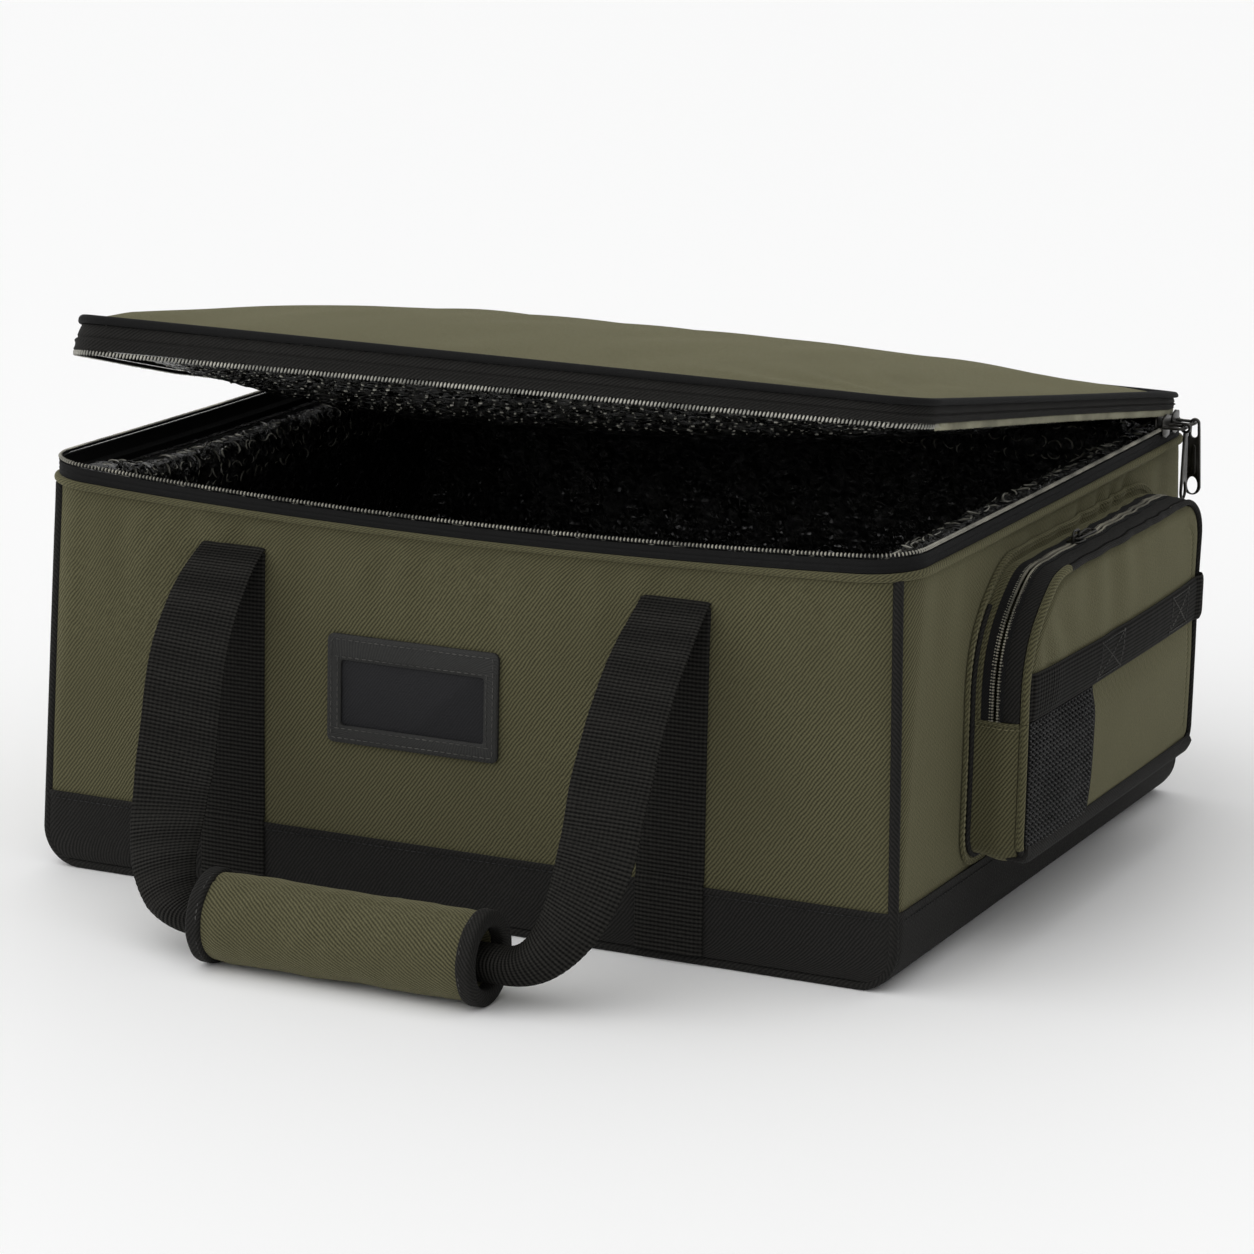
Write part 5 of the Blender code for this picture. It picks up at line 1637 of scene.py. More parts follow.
@dataclass
class Lid:
    """The lid: crowned top, bead, band, zip teeth, foam and a loose padded lining, with pale dashes on it as painted
    glints.
    """

    rise: float = 0.0140
    corner: tuple[float, float] = (0.236, -0.206)
    cell: float = 0.0027
    roll: float = 0.0032
    sag: float = 0.0250
    pitch: float = 0.0021
    comb_pitch: float = 0.0018
    lining_low: tuple[float, float] = (-0.2360, -0.2160)
    lining_high: tuple[float, float] = (0.2460, 0.2160)
    lining_edge: float = 0.0016
    painted_glint_rows: tuple[int, int, int] = (5, 10, 3)

    def crown(self, plan: Array) -> Array:
        """Height of the crown over the lid's edge.

        Args:
            plan: Places in plan, (..., 2).

        Returns:
            The height at each place.
        """
        x, y = np.abs(plan[..., 0]) / CUT.half_x, np.abs(plan[..., 1]) / CUT.half_y
        swell = self.rise * (1 - np.clip(x, 0, 1) ** 4) * (1 - np.clip(y, 0, 1) ** 2.4)
        inside = np.clip((1 - x) / 0.12, 0, 1) * np.clip((1 - y) / 0.12, 0, 1)
        from_corner = plan - self.corner
        far = np.hypot(from_corner[..., 0], from_corner[..., 1])
        spoke = np.arctan2(from_corner[..., 1], from_corner[..., 0])
        crease = 0.0009 * np.sin(spoke * 13.0 + 0.8 * np.sin(far * 60)) * np.exp(-((far - 0.075) / 0.05) ** 2)
        from_left, from_front = plan[..., 0] + CUT.half_x, plan[..., 1] + CUT.half_y
        roll = self.roll * ease(from_left, 0.0, 0.022) * (1 - ease(from_left, 0.018, 0.080))
        roll = roll * ease(from_front, 0.0, 0.035) * (1 - ease(from_front, 0.26, 0.40))
        return swell + roll + inside * (0.0006 * ripple(plan, 41, 12, 0.16, 0.045) + crease)

    def top(self) -> None:
        """The olive top."""
        edge = CUT.bead - CUT.proud + CUT.clear
        reach = np.array([CUT.half_x - edge, CUT.half_y - edge])
        plan, _, us, vs = rounded_grid(-reach, reach, CUT.rim_corner - edge, self.cell)
        outer = LID_FORM(raised(plan, CUT.lid_bead + self.crown(plan)))
        normals = grid_normals(outer)
        normals *= np.sign(normals[..., 2:])
        sheet("lid_top_cloth", outer, outer - normals * CUT.shell, us, vs, "olive_twill", Body.LID, Slot.OLIVE,
              "lid_top")

    def edge(self) -> None:
        """Bead, band and teeth."""
        path, out = rim_path(-CUT.proud, CUT.lid_bead)
        dress(sweep("lid_bead_cord", path, out, circle_profile(CUT.bead, 14), closed=True, form=LID_FORM),
              "black_tape", Body.LID, Slot.BLACK, "lid_bead")
        top = CUT.lid_bead - CUT.bead - CUT.clear
        middle, half = (CUT.lid_band_foot + top) / 2, (top - CUT.lid_band_foot) / 2
        path, out = rim_path(0.0, middle)
        up = np.linspace(-1, 1, 25)
        puff = 0.0009 * (1 - up ** 2)
        for middle_up, spread, lift in ((0.02, 0.10, -0.0007), (-0.22, 0.13, 0.0008), (-0.90, 0.14, 0.0006)):
            puff = puff + lift * hump(up, middle_up, spread)
        profile = np.vstack([np.column_stack([puff, up * half]), np.column_stack([puff[::-1] - CUT.band, -up * half])])
        profile = np.broadcast_to(profile, (len(path), *profile.shape)).copy()
        profile[..., 0] += (0.00025 * ripple(path, 43, 12, 0.06, 0.015))[:, None]
        dress(sweep("lid_band_tape", path, out, profile, closed=True, form=LID_FORM), "black_twill", Body.LID,
              Slot.BLACK, "lid_band")
        path, out = zip_run(CUT.lid_coil)
        core = sweep("lid_zip_cord", path, out, circle_profile(CUT.coil * 0.85, 8), form=LID_FORM)
        dress(core, "black_tape", Body.LID, Slot.COIL, "lid_zip_coil")
        placed = LID_FORM(path) + out * CUT.coil * 0.8
        side = (path[:, 0] > CUT.half_x - 0.0015) & (path[:, 1] > 0.024 - CUT.half_y)
        run_teeth("lid_zip_teeth", [(placed[~side], out[~side], False)], (0.0013, 0.0030, 0.0010), self.pitch,
                  "zip_teeth", Body.LID, 6, 0.35)
        run_teeth("lid_zip_comb", [(placed[side] - (0, 0, 0.0004), out[side], False)], (0.0012, 0.0042, 0.0008),
                  self.comb_pitch, "comb_teeth", Body.LID, 7)
        strip = rounded_rectangle(0.0004, 0.0019, 0.0002, (-0.0004, 0.0008), 2)
        dress(sweep("lid_zip_tape", LID_FORM(path)[side], out[side], strip), "black_tape", Body.LID, Slot.BLACK)

    def inside(self) -> None:
        """The loose lining under the lid, rows of pale dashes on it as painted glints, and the foam between it and the
        top.
        """
        low, high = np.array(self.lining_low), np.array(self.lining_high)
        plan, rise, us, vs = rounded_grid(low, high, 0.022, self.cell, turned_up=3)
        x, y = (plan[..., 0] - 0.005) / 0.241, plan[..., 1] / 0.216
        belly = (1 - np.abs(x) ** 2.4) * (1 - np.abs(y) ** 2.6)
        under = CUT.lid_band_foot + self.lining_edge
        top = CUT.lid_bead + self.crown(plan) - self.lining_edge
        lower = LID_FORM(raised(plan, under + (top - under) * rise))
        loose = np.clip(belly, 0, 1) ** 0.8 * (1 - rise)
        puff = 0.0012 * ripple(plan, 45, 16, 0.060, 0.020) + 0.0008 * crinkle(plan, 47, 14, 0.030, 0.009)
        rows = np.sin(plan[..., 0] * math.tau / 0.0085) * np.sin(plan[..., 1] * math.tau / 0.0075)
        lower[..., 2] -= self.sag * loose + (puff + 0.0007 * rows) * np.clip(loose * 3, 0, 1)
        sheet("lid_lining_film", lower, lower + (0, 0, 0.0009), us, vs, "lining_film", Body.LID, Slot.FILM,
              "lid_lining")
        # Rows of small pale dashes on the lining's underside: painted glints.
        normals = grid_normals(lower)
        down = -np.sign(normals[..., 2:]) * normals
        first, count, step = self.painted_glint_rows
        guides = [(lower[row, 5:-5] + down[row, 5:-5] * 0.0002, down[row, 5:-5], False)
                  for row in range(first, first + count * step, step)]
        painted_glints = REPEAT.run("lid_lining_dimples", guides, tooth(0.0017, 0.0007, 0.0006), 0.0080, "film_glint",
                             (0.5, 0.2, 1.4), 12)
        dress(painted_glints, "film_glint", Body.LID, Slot.FILM)
        coarse = slice(2, -2, 4)
        foam_high = LID_FORM(raised(plan, CUT.lid_bead + self.crown(plan) - 0.0022))
        foam = sheet("lid_padding", (lower + (0, 0, 0.0014))[coarse, coarse], foam_high[coarse, coarse], us[coarse],
                     vs[coarse], "foam_grey", Body.LID, Slot.FOAM, "lid_foam")

    def hinge(self) -> None:
        """The cloth strip along the back that the lid turns on."""
        half = CUT.half_x - CUT.rim_corner - 0.005
        columns = np.linspace(-half, half, 120)
        for name, low, high, body, form in (
                ("lid_hinge_strip_lower", CUT.band_foot, CUT.zip_plane - 0.00015, Body.BAG, still),
                ("lid_hinge_strip_upper", CUT.zip_plane + 0.00015, CUT.lid_band_foot + 0.0095, Body.LID, LID_FORM)):
            rows = np.linspace(low, high, 8)
            x, z = np.meshgrid(columns, rows)
            inner = np.stack([x, np.full(x.shape, CUT.half_y + CUT.clear), z], -1)
            outer = inner + (0.0, CUT.trim, 0.0)
            sheet(name + "_cloth", form(outer), form(inner), columns, rows, "black_tape", body, Slot.BLACK, name)

    def build(self) -> None:
        """Build the lid."""
        self.top()
        self.edge()
        self.inside()
        self.hinge()


@dataclass
class Inside:
    """What lies inside the walls: crinkled film lining and the foam pads behind it."""

    out: float = 0.0078
    film: float = 0.0008
    floor_foot: float = 0.0106
    glint_rows: int = 4
    section: tuple[tuple[float, float], ...] = (
        (0.0088, 0.0112), (0.0088, 0.1300), (0.0100, 0.1500), (0.0140, 0.1700), (0.0205, 0.1870), (0.0270, 0.2000),
        (0.0285, 0.2070), (0.0260, 0.2120), (0.0205, 0.2150), (0.0140, 0.2148), (0.0090, 0.2120), (0.0068, 0.2085))
    left_low: float = 0.0100

    def curl(self) -> Object:
        """One small curled pale strip, a painted glint on a crease of the film, which lies flat.

        Returns:
            The strip.
        """
        turns = np.radians(np.linspace(-70, 80, 9))
        path = np.column_stack([0.0032 * np.sin(turns), 0.0032 * (1 - np.cos(turns)) - 0.0010, np.zeros(9)])
        swell = 0.00046 * np.array([0.2, 0.7, 0.95, 1, 1, 0.95, 0.85, 0.6, 0.2])
        shape = circle_profile(1.0, 4)[None] * swell[:, None, None]
        return sweep("curl_item", path, facing(UPWARD, path), shape, smooth=80.0)

    def lining(self) -> None:
        """The film: gathered under the rim, creased down the walls and over the floor, with pale curls along its upper
        rows as painted glints.
        """
        plan = CUT.rim(self.out, 0.0036)
        out = way_out(plan)
        profile = resample(np.array(self.section), 0.0037)
        profile = np.vstack([profile[:1], (profile[:-2] + profile[1:-1] * 2 + profile[2:]) / 4, profile[-1:]])
        run = run_lengths(plan, True)[:-1]
        rise = run_lengths(profile)
        cloth = np.stack(np.broadcast_arrays(run[None], rise[:, None]), -1)
        front = ease(-plan[:, 1], 0.17, 0.205) * (1 - ease(np.abs(plan[:, 0]), 0.20, 0.235))
        left = ease(-plan[:, 0], 0.205, 0.235) * ease(plan[:, 1], -0.19, -0.13) * (1 - ease(plan[:, 1], 0.17, 0.21))
        depth = (profile[:, 0] - self.out)[:, None] * (1 - 0.55 * front - 0.35 * left)[None]
        surface = raised(np.broadcast_to(plan, (len(profile), *plan.shape)), profile[:, 1:])
        surface = surface - out[None] * depth[..., None]
        surface[..., 2] -= self.left_low * left[None] * ease(profile[:, 1], 0.120, 0.195)[:, None]
        normals = grid_normals(surface, wrap_columns=True)
        normals *= -np.sign((normals[len(profile) // 4] * out).sum(-1))[None, :, None]
        gathers = np.abs(np.sin((cloth[..., 0] + 0.0045 * ripple(cloth, 51, 10, 0.05, 0.015)) * math.pi / 0.0105))
        creases = crinkle(cloth, 53, 20, 0.020, 0.006)
        sewn = (1 - ease(rise, rise[-1] - 0.007, rise[-1]))[:, None]
        upper = ease(profile[:, 1], 0.145, 0.185)[:, None] * sewn
        swell = (0.0030 * gathers + 0.0024 * creases) * upper
        swell = swell + 0.0022 * creases * (1 - upper) * ease(rise, 0, 0.01)[:, None] * sewn
        inner = SLUMP(surface + normals * swell[..., None])
        draft = Draft()
        outer = SLUMP(surface + normals * (swell[..., None] - self.film))
        draft.shell(inner, outer, run_lengths(plan, True), rise, True)
        # Pale curls along the upper rows: painted glints on the film's creases.
        last = len(profile) - 5
        guides = [(inner[row] + normals[row] * 0.0002, normals[row], True)
                  for row in range(last, last - 2 * self.glint_rows, -2)]
        glints = REPEAT.run("lining_creases", guides, self.curl(), 0.0084, "film_glint", (0.45, 0.35, 3.1), 14)
        dress(glints, "film_glint", Body.BAG, Slot.FILM)
        lip, lip_out = rim_path(self.out, CUT.wall_top - 0.0005)
        lip_profile = np.array([(-0.0008, -0.0004), (-0.0008, 0.0004), (0.0058, 0.0004), (0.0058, -0.0004)])
        sweep("", lip, lip_out, lip_profile, closed=True, form=SLUMP, draft=draft)
        reach = np.array([CUT.half_x - self.out - 0.0002, CUT.half_y - self.out - 0.0002])
        plan, _, us, vs = rounded_grid(-reach, reach, CUT.rim_corner - self.out, 0.0042)
        wrinkle = 0.0016 * crinkle(plan, 55, 16, 0.06, 0.014)
        draft.shell(raised(plan, self.floor_foot + (0.0010 + wrinkle)), raised(plan, self.floor_foot), us, vs)
        dress(draft.build("lining_film"), "lining_film", Body.BAG, Slot.FILM, "lining")

    def pads(self) -> None:
        """The foam pads, settled with their walls."""
        for node in ("front_foam", "back_foam", "right_foam", "left_foam", "base_foam"):
            low, high = (np.array(corner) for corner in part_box(node))
            thin = int(np.argmin(high - low))
            u_axis, v_axis = [axis for axis in range(3) if axis != thin]
            us = np.linspace(low[u_axis], high[u_axis], 60)
            vs = np.linspace(low[v_axis], high[v_axis], 40)
            u, v = np.meshgrid(us, vs)
            near = np.minimum(np.minimum(u - us[0], us[-1] - u), np.minimum(v - vs[0], vs[-1] - v))
            tuck = 0.0016 * (1 - ease(near, 0.0, 0.006)) + 0.0001 * ripple(np.stack([u, v], -1), 57, 8, 0.06, 0.02)
            faces = []
            for level, inward in ((low[thin], 1), (high[thin], -1)):
                face = np.zeros((*u.shape, 3))
                face[..., u_axis], face[..., v_axis], face[..., thin] = u, v, level + inward * tuck
                faces.append(SLUMP(face))
            pad = sheet(node + "_pad", *faces, us, vs, "foam_grey", Body.BAG, Slot.FOAM, node)

    def build(self) -> None:
        """Build the lining and the pads, and finish the stiff base sheet."""
        self.lining()
        self.pads()
        refinish("base_board", "board_grey")


def refinish(node: str, look: str) -> None:
    """Give a node of the frame that keeps its shape a better finish.

    Args:
        node: Name of the node.
        look: Name of the finish.
    """
    piece = bpy.data.objects[node] if node in bpy.data.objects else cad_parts[node]
    for place in piece.material_slots:
        place.material = LOOK[look]


def ribs(run: Array, pitch: float) -> Array:
    """Height of a webbing's cross ribs at each distance along it, between 0 and 1."""
    return np.abs(np.sin(np.asarray(run) * math.pi / pitch)) ** 0.8


def edge_row(width: float, thickness: float, columns: int) -> tuple[Array, Array]:
    """Across a strap: places from -1 to 1 with more of them near the edges, and how thick it is at each.

    Args:
        width: Width of the strap.
        thickness: Its full thickness.
        columns: Places across it, without the extra ones at its edges.

    Returns:
        The places, and the share of the full thickness at each.
    """
    places = np.sin(np.linspace(-math.pi / 2, math.pi / 2, columns + 1))
    near = (1 - np.abs(places)) * width / 2
    selvedge = 1 - 0.30 * hump(near, 0.0026, 0.0006)
    return places, (0.25 + 0.75 * ease(near, 0.0, thickness * 0.9)) * selvedge


@dataclass
class Handle:
    """One handle: its sewn anchors, the webbing loop and the padded grip with bound ends."""

    name: str
    sign: int
    body: Body
    lean: tuple[float, float]
    twist: tuple[float, float]
    sway: tuple[float, float]
    anchor_x: float = 0.127
    width: float = 0.038
    thick: float = 0.0016
    fold: tuple[float, float] = (0.0, 0.1885)
    bar: tuple[float, float] = (0.107, 0.0243)
    swell: float = 0.0255
    axis_out: float = 0.0030
    fold_radius: float = 0.0026
    pitch: float = 0.0022
    step: float = 0.00044
    rib: float = 0.00042
    turn_from: float = 0.074
    turn_x: float = 0.086
    ring: float = 0.0225
    ring_bore: float = 0.0160
    thread_out: float = 0.0241
    wrap_half: float = 0.0717
    bound: tuple[float, float] = (0.0716, 0.0802)

    def curve(self) -> tuple[Array, Array]:
        """Side view of the hanging loop: distances along it and its points as (out, height).

        Returns:
            The distances and the points.
        """
        fold, bar = np.array(self.fold), np.array(self.bar)
        belly = (fold + bar) / 2 + self.swell * unit(np.array([fold[1] - bar[1], bar[0]]))
        share = np.linspace(0, 1, 200)[:, None]
        line = fold * (1 - share) ** 2 + belly * 2 * (1 - share) * share + bar * share ** 2
        back = unit(line[1] - line[0])
        turn = math.atan2(back[1], back[0]) + math.pi
        centre = line[0] - self.fold_radius * np.array([math.sin(turn), -math.cos(turn)])
        steps = np.linspace(0, math.radians(128), 14)[1:, None]
        begin = math.atan2(*(line[0] - centre)[::-1])
        over = centre + self.fold_radius * np.hstack([np.cos(begin + steps), np.sin(begin + steps)])
        beyond = bar + unit(bar - belly) * np.linspace(0.002, 0.030, 15)[:, None]
        whole = np.vstack([over[::-1], line, beyond])
        lengths = run_lengths(whole)
        return lengths - lengths[len(over)], whole

    def place(self, x: Array, run: Array, lift: Array) -> Array:
        """Place points of the loop.

        Args:
            x: place across the bag.
            run: distance along the loop's side view.
            lift: distance off the loop's surface, on its outer side.
        Returns:
            The places in the scene.
        """
        lengths, line = self.curve()
        slopes = unit(np.gradient(line, axis=0))
        out, height = (np.interp(run, lengths, line[:, axis]) for axis in (0, 1))
        way = unit(np.stack([np.interp(run, lengths, slopes[:, axis]) for axis in (0, 1)], -1))
        out, height = out - way[..., 1] * lift, height + way[..., 0] * lift
        return np.stack([-self.sign * x, self.sign * (CUT.half_y + self.axis_out + out), height], -1)

    def strap(self) -> None:
        """The webbing loop: over its folds, down both legs and cupped through the grip."""
        lengths, _ = self.curve()
        full = lengths[-1] - 0.028
        inner_x, outer_x = self.anchor_x - self.width / 2, self.anchor_x + self.width / 2
        angles = np.radians(np.linspace(0, 90, 80))[1:]
        bend = full - self.turn_from
        legs = np.linspace(lengths[0], bend, 300)
        edges = []
        for edge, chord in ((inner_x, -0.010), (outer_x, 0.010)):
            grow = math.copysign(0.0012, chord)
            curve = np.column_stack([self.turn_x + (edge + grow - self.turn_x) * np.cos(angles) ** 0.9,
                                     bend + (self.turn_from + chord) * np.sin(angles)])
            leg = np.column_stack([edge + grow * ease(legs, 0.0, 0.03), legs])
            edges.append(np.vstack([leg, curve, [(0.0, full + chord)]]))
        inner, outer = edges
        cup = np.concatenate([np.zeros(300), np.sin(angles) ** 1.6, [1.0]])
        marks = run_lengths((inner + outer) / 2)
        along = np.linspace(0, marks[-1], int(marks[-1] / self.step) + 1)
        low, high = (np.stack([np.interp(along, marks, edge[:, axis]) for axis in (0, 1)], -1) for edge in edges)
        curl = np.interp(along, marks, cup)[:, None]
        places, thick = edge_row(self.width, self.thick, 14)
        share = (places + 1) / 2
        spot = low[:, None] * (1 - share)[:, None] + high[:, None] * share[:, None]
        down = np.clip(spot[..., 1] / full, 0, 1)
        hang = np.sin(math.pi * down) ** 1.2 * (1 - curl * 0.6)
        rib = self.rib * (ribs(along, self.pitch)[:, None] - 0.5) * ease(thick, 0.25, 0.9)
        half = self.thick / 2 * thick
        wobble = 0.00012 * np.sin(along * 2100)[:, None] * (np.abs(places) > 0.97)
        tops, unders = [], []
        for side, lean, twist, sway in zip((-1, 1), self.lean, self.twist, self.sway):
            lift = lean * hang + twist * places * np.sin(math.pi * down) ** 2 + sway * np.sin(math.tau * down)
            lift = lift + curl * 0.0105 * (1 - places ** 2 - 0.45)
            wave = ripple(np.stack([side * spot[..., 0], spot[..., 1]], -1), 61, 10, 0.09, 0.03)
            lift = lift + 0.0007 * wave * ease(down, 0.03, 0.15)
            x = side * (spot[..., 0] + wobble)
            tops.append(self.place(x, spot[..., 1], lift + half + rib))
            unders.append(self.place(x, spot[..., 1], lift - half - rib))
        top, under = (np.vstack([left[:, ::-1], right[::-1][1:]]) for left, right in (tops, unders))
        piece = sheet(self.name + "_strap_webbing", top, under, places * self.width / 2, run_lengths(top[:, 7]),
                      "black_webbing", None, Slot.WEBBING, self.name + "_strap", smooth=RIB_EDGE)
        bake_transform(piece)

    def anchors(self) -> None:
        """The two sewn lengths of webbing."""
        side_view = np.array([(0.0016, 0.0054), (0.0016, 0.0423), (0.0003, 0.0463), (0.0003, 0.1872)])
        line = resample(side_view, self.step)
        slopes = unit(np.gradient(line, axis=0))
        along = run_lengths(line)
        places, thick = edge_row(self.width, self.thick, 12)
        for side, end in ((-1, "left"), (1, "right")):
            name = self.name.replace("handle", "anchor_" + end)
            middle = -self.sign * side * self.anchor_x
            rib = self.rib * ribs(along, self.pitch)[:, None] * ease(thick, 0.25, 0.9)
            lift = self.thick * (0.25 + 0.75 * thick) + rib - self.rib * 0.5
            x = middle + places[None] * self.width / 2
            faces = []
            for thickness in (lift, 0 * lift):
                y = self.sign * (CUT.half_y + line[:, :1] + thickness * slopes[:, 1:])
                z = line[:, 1:] + slopes[:, :1] * -thickness
                faces.append(SLUMP(np.stack(np.broadcast_arrays(x, y, z), -1)))
            sheet(name + "_webbing", *faces, places * self.width / 2, along, "black_webbing", Body.BAG, Slot.WEBBING,
                  name, smooth=RIB_EDGE)

    def grip(self) -> None:
        """The padded wrap and its bound ends, with a row of stitches round each."""
        y, z = self.sign * (CUT.half_y + self.axis_out + self.bar[0]), self.bar[1]
        turns = np.linspace(0, math.tau, 73)[:-1]
        rows = np.linspace(-self.wrap_half, self.wrap_half, 90)
        x, turn = np.meshgrid(rows, turns, indexing="ij")
        spots = np.stack([x, self.ring * np.cos(turn), self.ring * np.sin(turn)], -1)
        pinch = ease(np.abs(x), self.wrap_half - 0.010, self.wrap_half)
        seam = hump(np.mod(turn - math.radians(100 + 20 * self.sign), math.tau) - 0.5, 0.0, 0.045)
        radius = self.ring + 0.0004 - 0.0006 * pinch + 0.00045 * ripple(spots, 63, 12, 0.06, 0.014) - 0.0008 * seam
        radius = radius + 0.0003 * crinkle(spots * (1, 0.5, 0.5), 65, 10, 0.05, 0.012)
        outer = np.stack([x, y + radius * np.cos(turn), z + radius * np.sin(turn) * 0.985], -1)
        inner = np.stack([x, y + self.ring_bore * np.cos(turn), z + self.ring_bore * np.sin(turn)], -1)
        name = self.name.replace("handle", "grip")
        wrap = sheet(name + "_wrap", outer, inner, run_lengths(outer[0], True), rows + 0.2, "olive_twill", self.body,
                     Slot.GRIP, name, wrap=True)
        low, high = self.bound
        middle, half = (low + high) / 2, (high - low) / 2
        rim = 0.0240
        section = rounded_rectangle(rim / 2 - self.ring_bore / 2 + 0.0004, half, 0.0022,
                                    (rim / 2 + self.ring_bore / 2, 0.0), 5)
        section = resample(section, 0.0008, closed=True)
        about = np.stack([np.cos(turns), np.sin(turns)], -1)
        guides = []
        for side, end in ((-1, "left"), (1, "right")):
            spread = section[None, :, 0] + (0.00025 * ripple(about * 0.02, 66 + side, 8, 0.03, 0.010))[:, None]
            grid = np.stack([np.broadcast_to(side * -self.sign * (middle + section[:, 1]), spread.shape),
                             y + spread * about[:, :1], z + spread * about[:, 1:]], -1)
            draft = Draft()
            draft.tube(grid, run_lengths(section, True), np.linspace(0, 0.15, 73), True)
            name = self.name.replace("handle", "grip_binding_") + end
            dress(draft.build(name + "_tape"), "black_twill", self.body, Slot.BLACK, name)
            ring = np.column_stack([np.full(72, -self.sign * side * (low + 0.0022)), (y, z) + self.thread_out * about])
            guides.append((ring, unit(ring - (ring[0, 0], y, z)), True))
        sew(self.name + "_binding_stitches", guides, "pale_thread", self.body, Slot.BLACK, 0.0034, 0.0024, 0.00030)

    def build(self) -> None:
        """Build the handle."""
        self.anchors()
        self.strap()
        self.grip()


@dataclass
class Label:
    """The label holder on the front: a backing and a stitched frame."""

    middle: tuple[float, float] = (-0.0200, 0.1210)
    size: tuple[float, float] = (0.099, 0.058)
    window: tuple[float, float] = (0.083, 0.035)
    window_z: float = 0.1190
    corner: float = 0.0035
    seam: float = 0.0017
    thread_out: float = 0.0030

    def place(self, points: Array) -> Array:
        """Lay points of (x, z, height) on the front wall."""
        return SLUMP(np.stack([points[..., 0], -CUT.half_y - points[..., 2], points[..., 1]], -1))

    def loop(self, half_x: float, half_z: float, z: float, corner: float) -> Array:
        """A rounded rectangle around the label's middle."""
        return resample(rounded_rectangle(half_x, half_z, corner, (self.middle[0], z), 8), 0.0012, closed=True)

    def build(self) -> None:
        """Build the backing, the frame and the stitches."""
        half_x, half_z = self.size[0] / 2, self.size[1] / 2
        in_x, in_z = self.window[0] / 2, self.window[1] / 2
        outline = self.loop(half_x, half_z, self.middle[1], self.corner)
        draft = Draft()
        plate(draft, outline, 0.0003, 0.0013, self.place, 0.0003)
        dress(draft.build("label_backing_sheet"), "window_cloth", Body.BAG, Slot.LABEL, "label_backing")
        hole = self.loop(in_x, in_z, self.window_z, 0.0015)
        share = np.linspace(0, 1, len(outline), endpoint=False)
        hole = np.stack([np.interp(share, np.linspace(0, 1, len(hole), endpoint=False), hole[:, axis], period=1)
                         for axis in (0, 1)], -1)
        rows = [raised(outline * (1 - part) + hole * part, lift) for lift, part in (
            (0.0015, 0.0), (0.0022, 0.0), (0.0027, 0.06), (0.0029, 0.18), (0.0029, 0.5), (0.0029, 0.82),
            (0.0027, 0.94), (0.0022, 1.0), (0.0015, 1.0))]
        draft = Draft()
        draft.grid(self.place(np.stack(rows + rows[:1])), run_lengths(outline, True), np.arange(len(rows) + 1) * 0.002,
                   wrap_columns=True)
        dress(draft.build("label_frame_sheet"), "label_vinyl", Body.BAG, Slot.LABEL, "label_frame")
        lines = [(self.loop(half_x - 0.0026, half_z - 0.0026, self.middle[1], 0.002), True)]
        left = self.middle[0]
        for level in (self.window_z + in_z + self.seam, self.window_z - in_z - self.seam):
            across = np.linspace(-in_x - 0.002, in_x + 0.002, 40) + left
            lines.append((np.column_stack([across, np.full(40, level)]), False))
        for x in (in_x + self.seam, -in_x - self.seam):
            upright = np.linspace(-in_z, in_z, 30) + self.window_z
            lines.append((np.column_stack([np.full(30, x + left), upright]), False))
        out = np.array([0, -1.0, 0])
        guides = [(self.place(raised(line, self.thread_out)), out, closed) for line, closed in lines]
        sew("label_stitches", guides, "pale_thread", Body.BAG, Slot.LABEL, 0.0038, 0.0027, 0.00028)


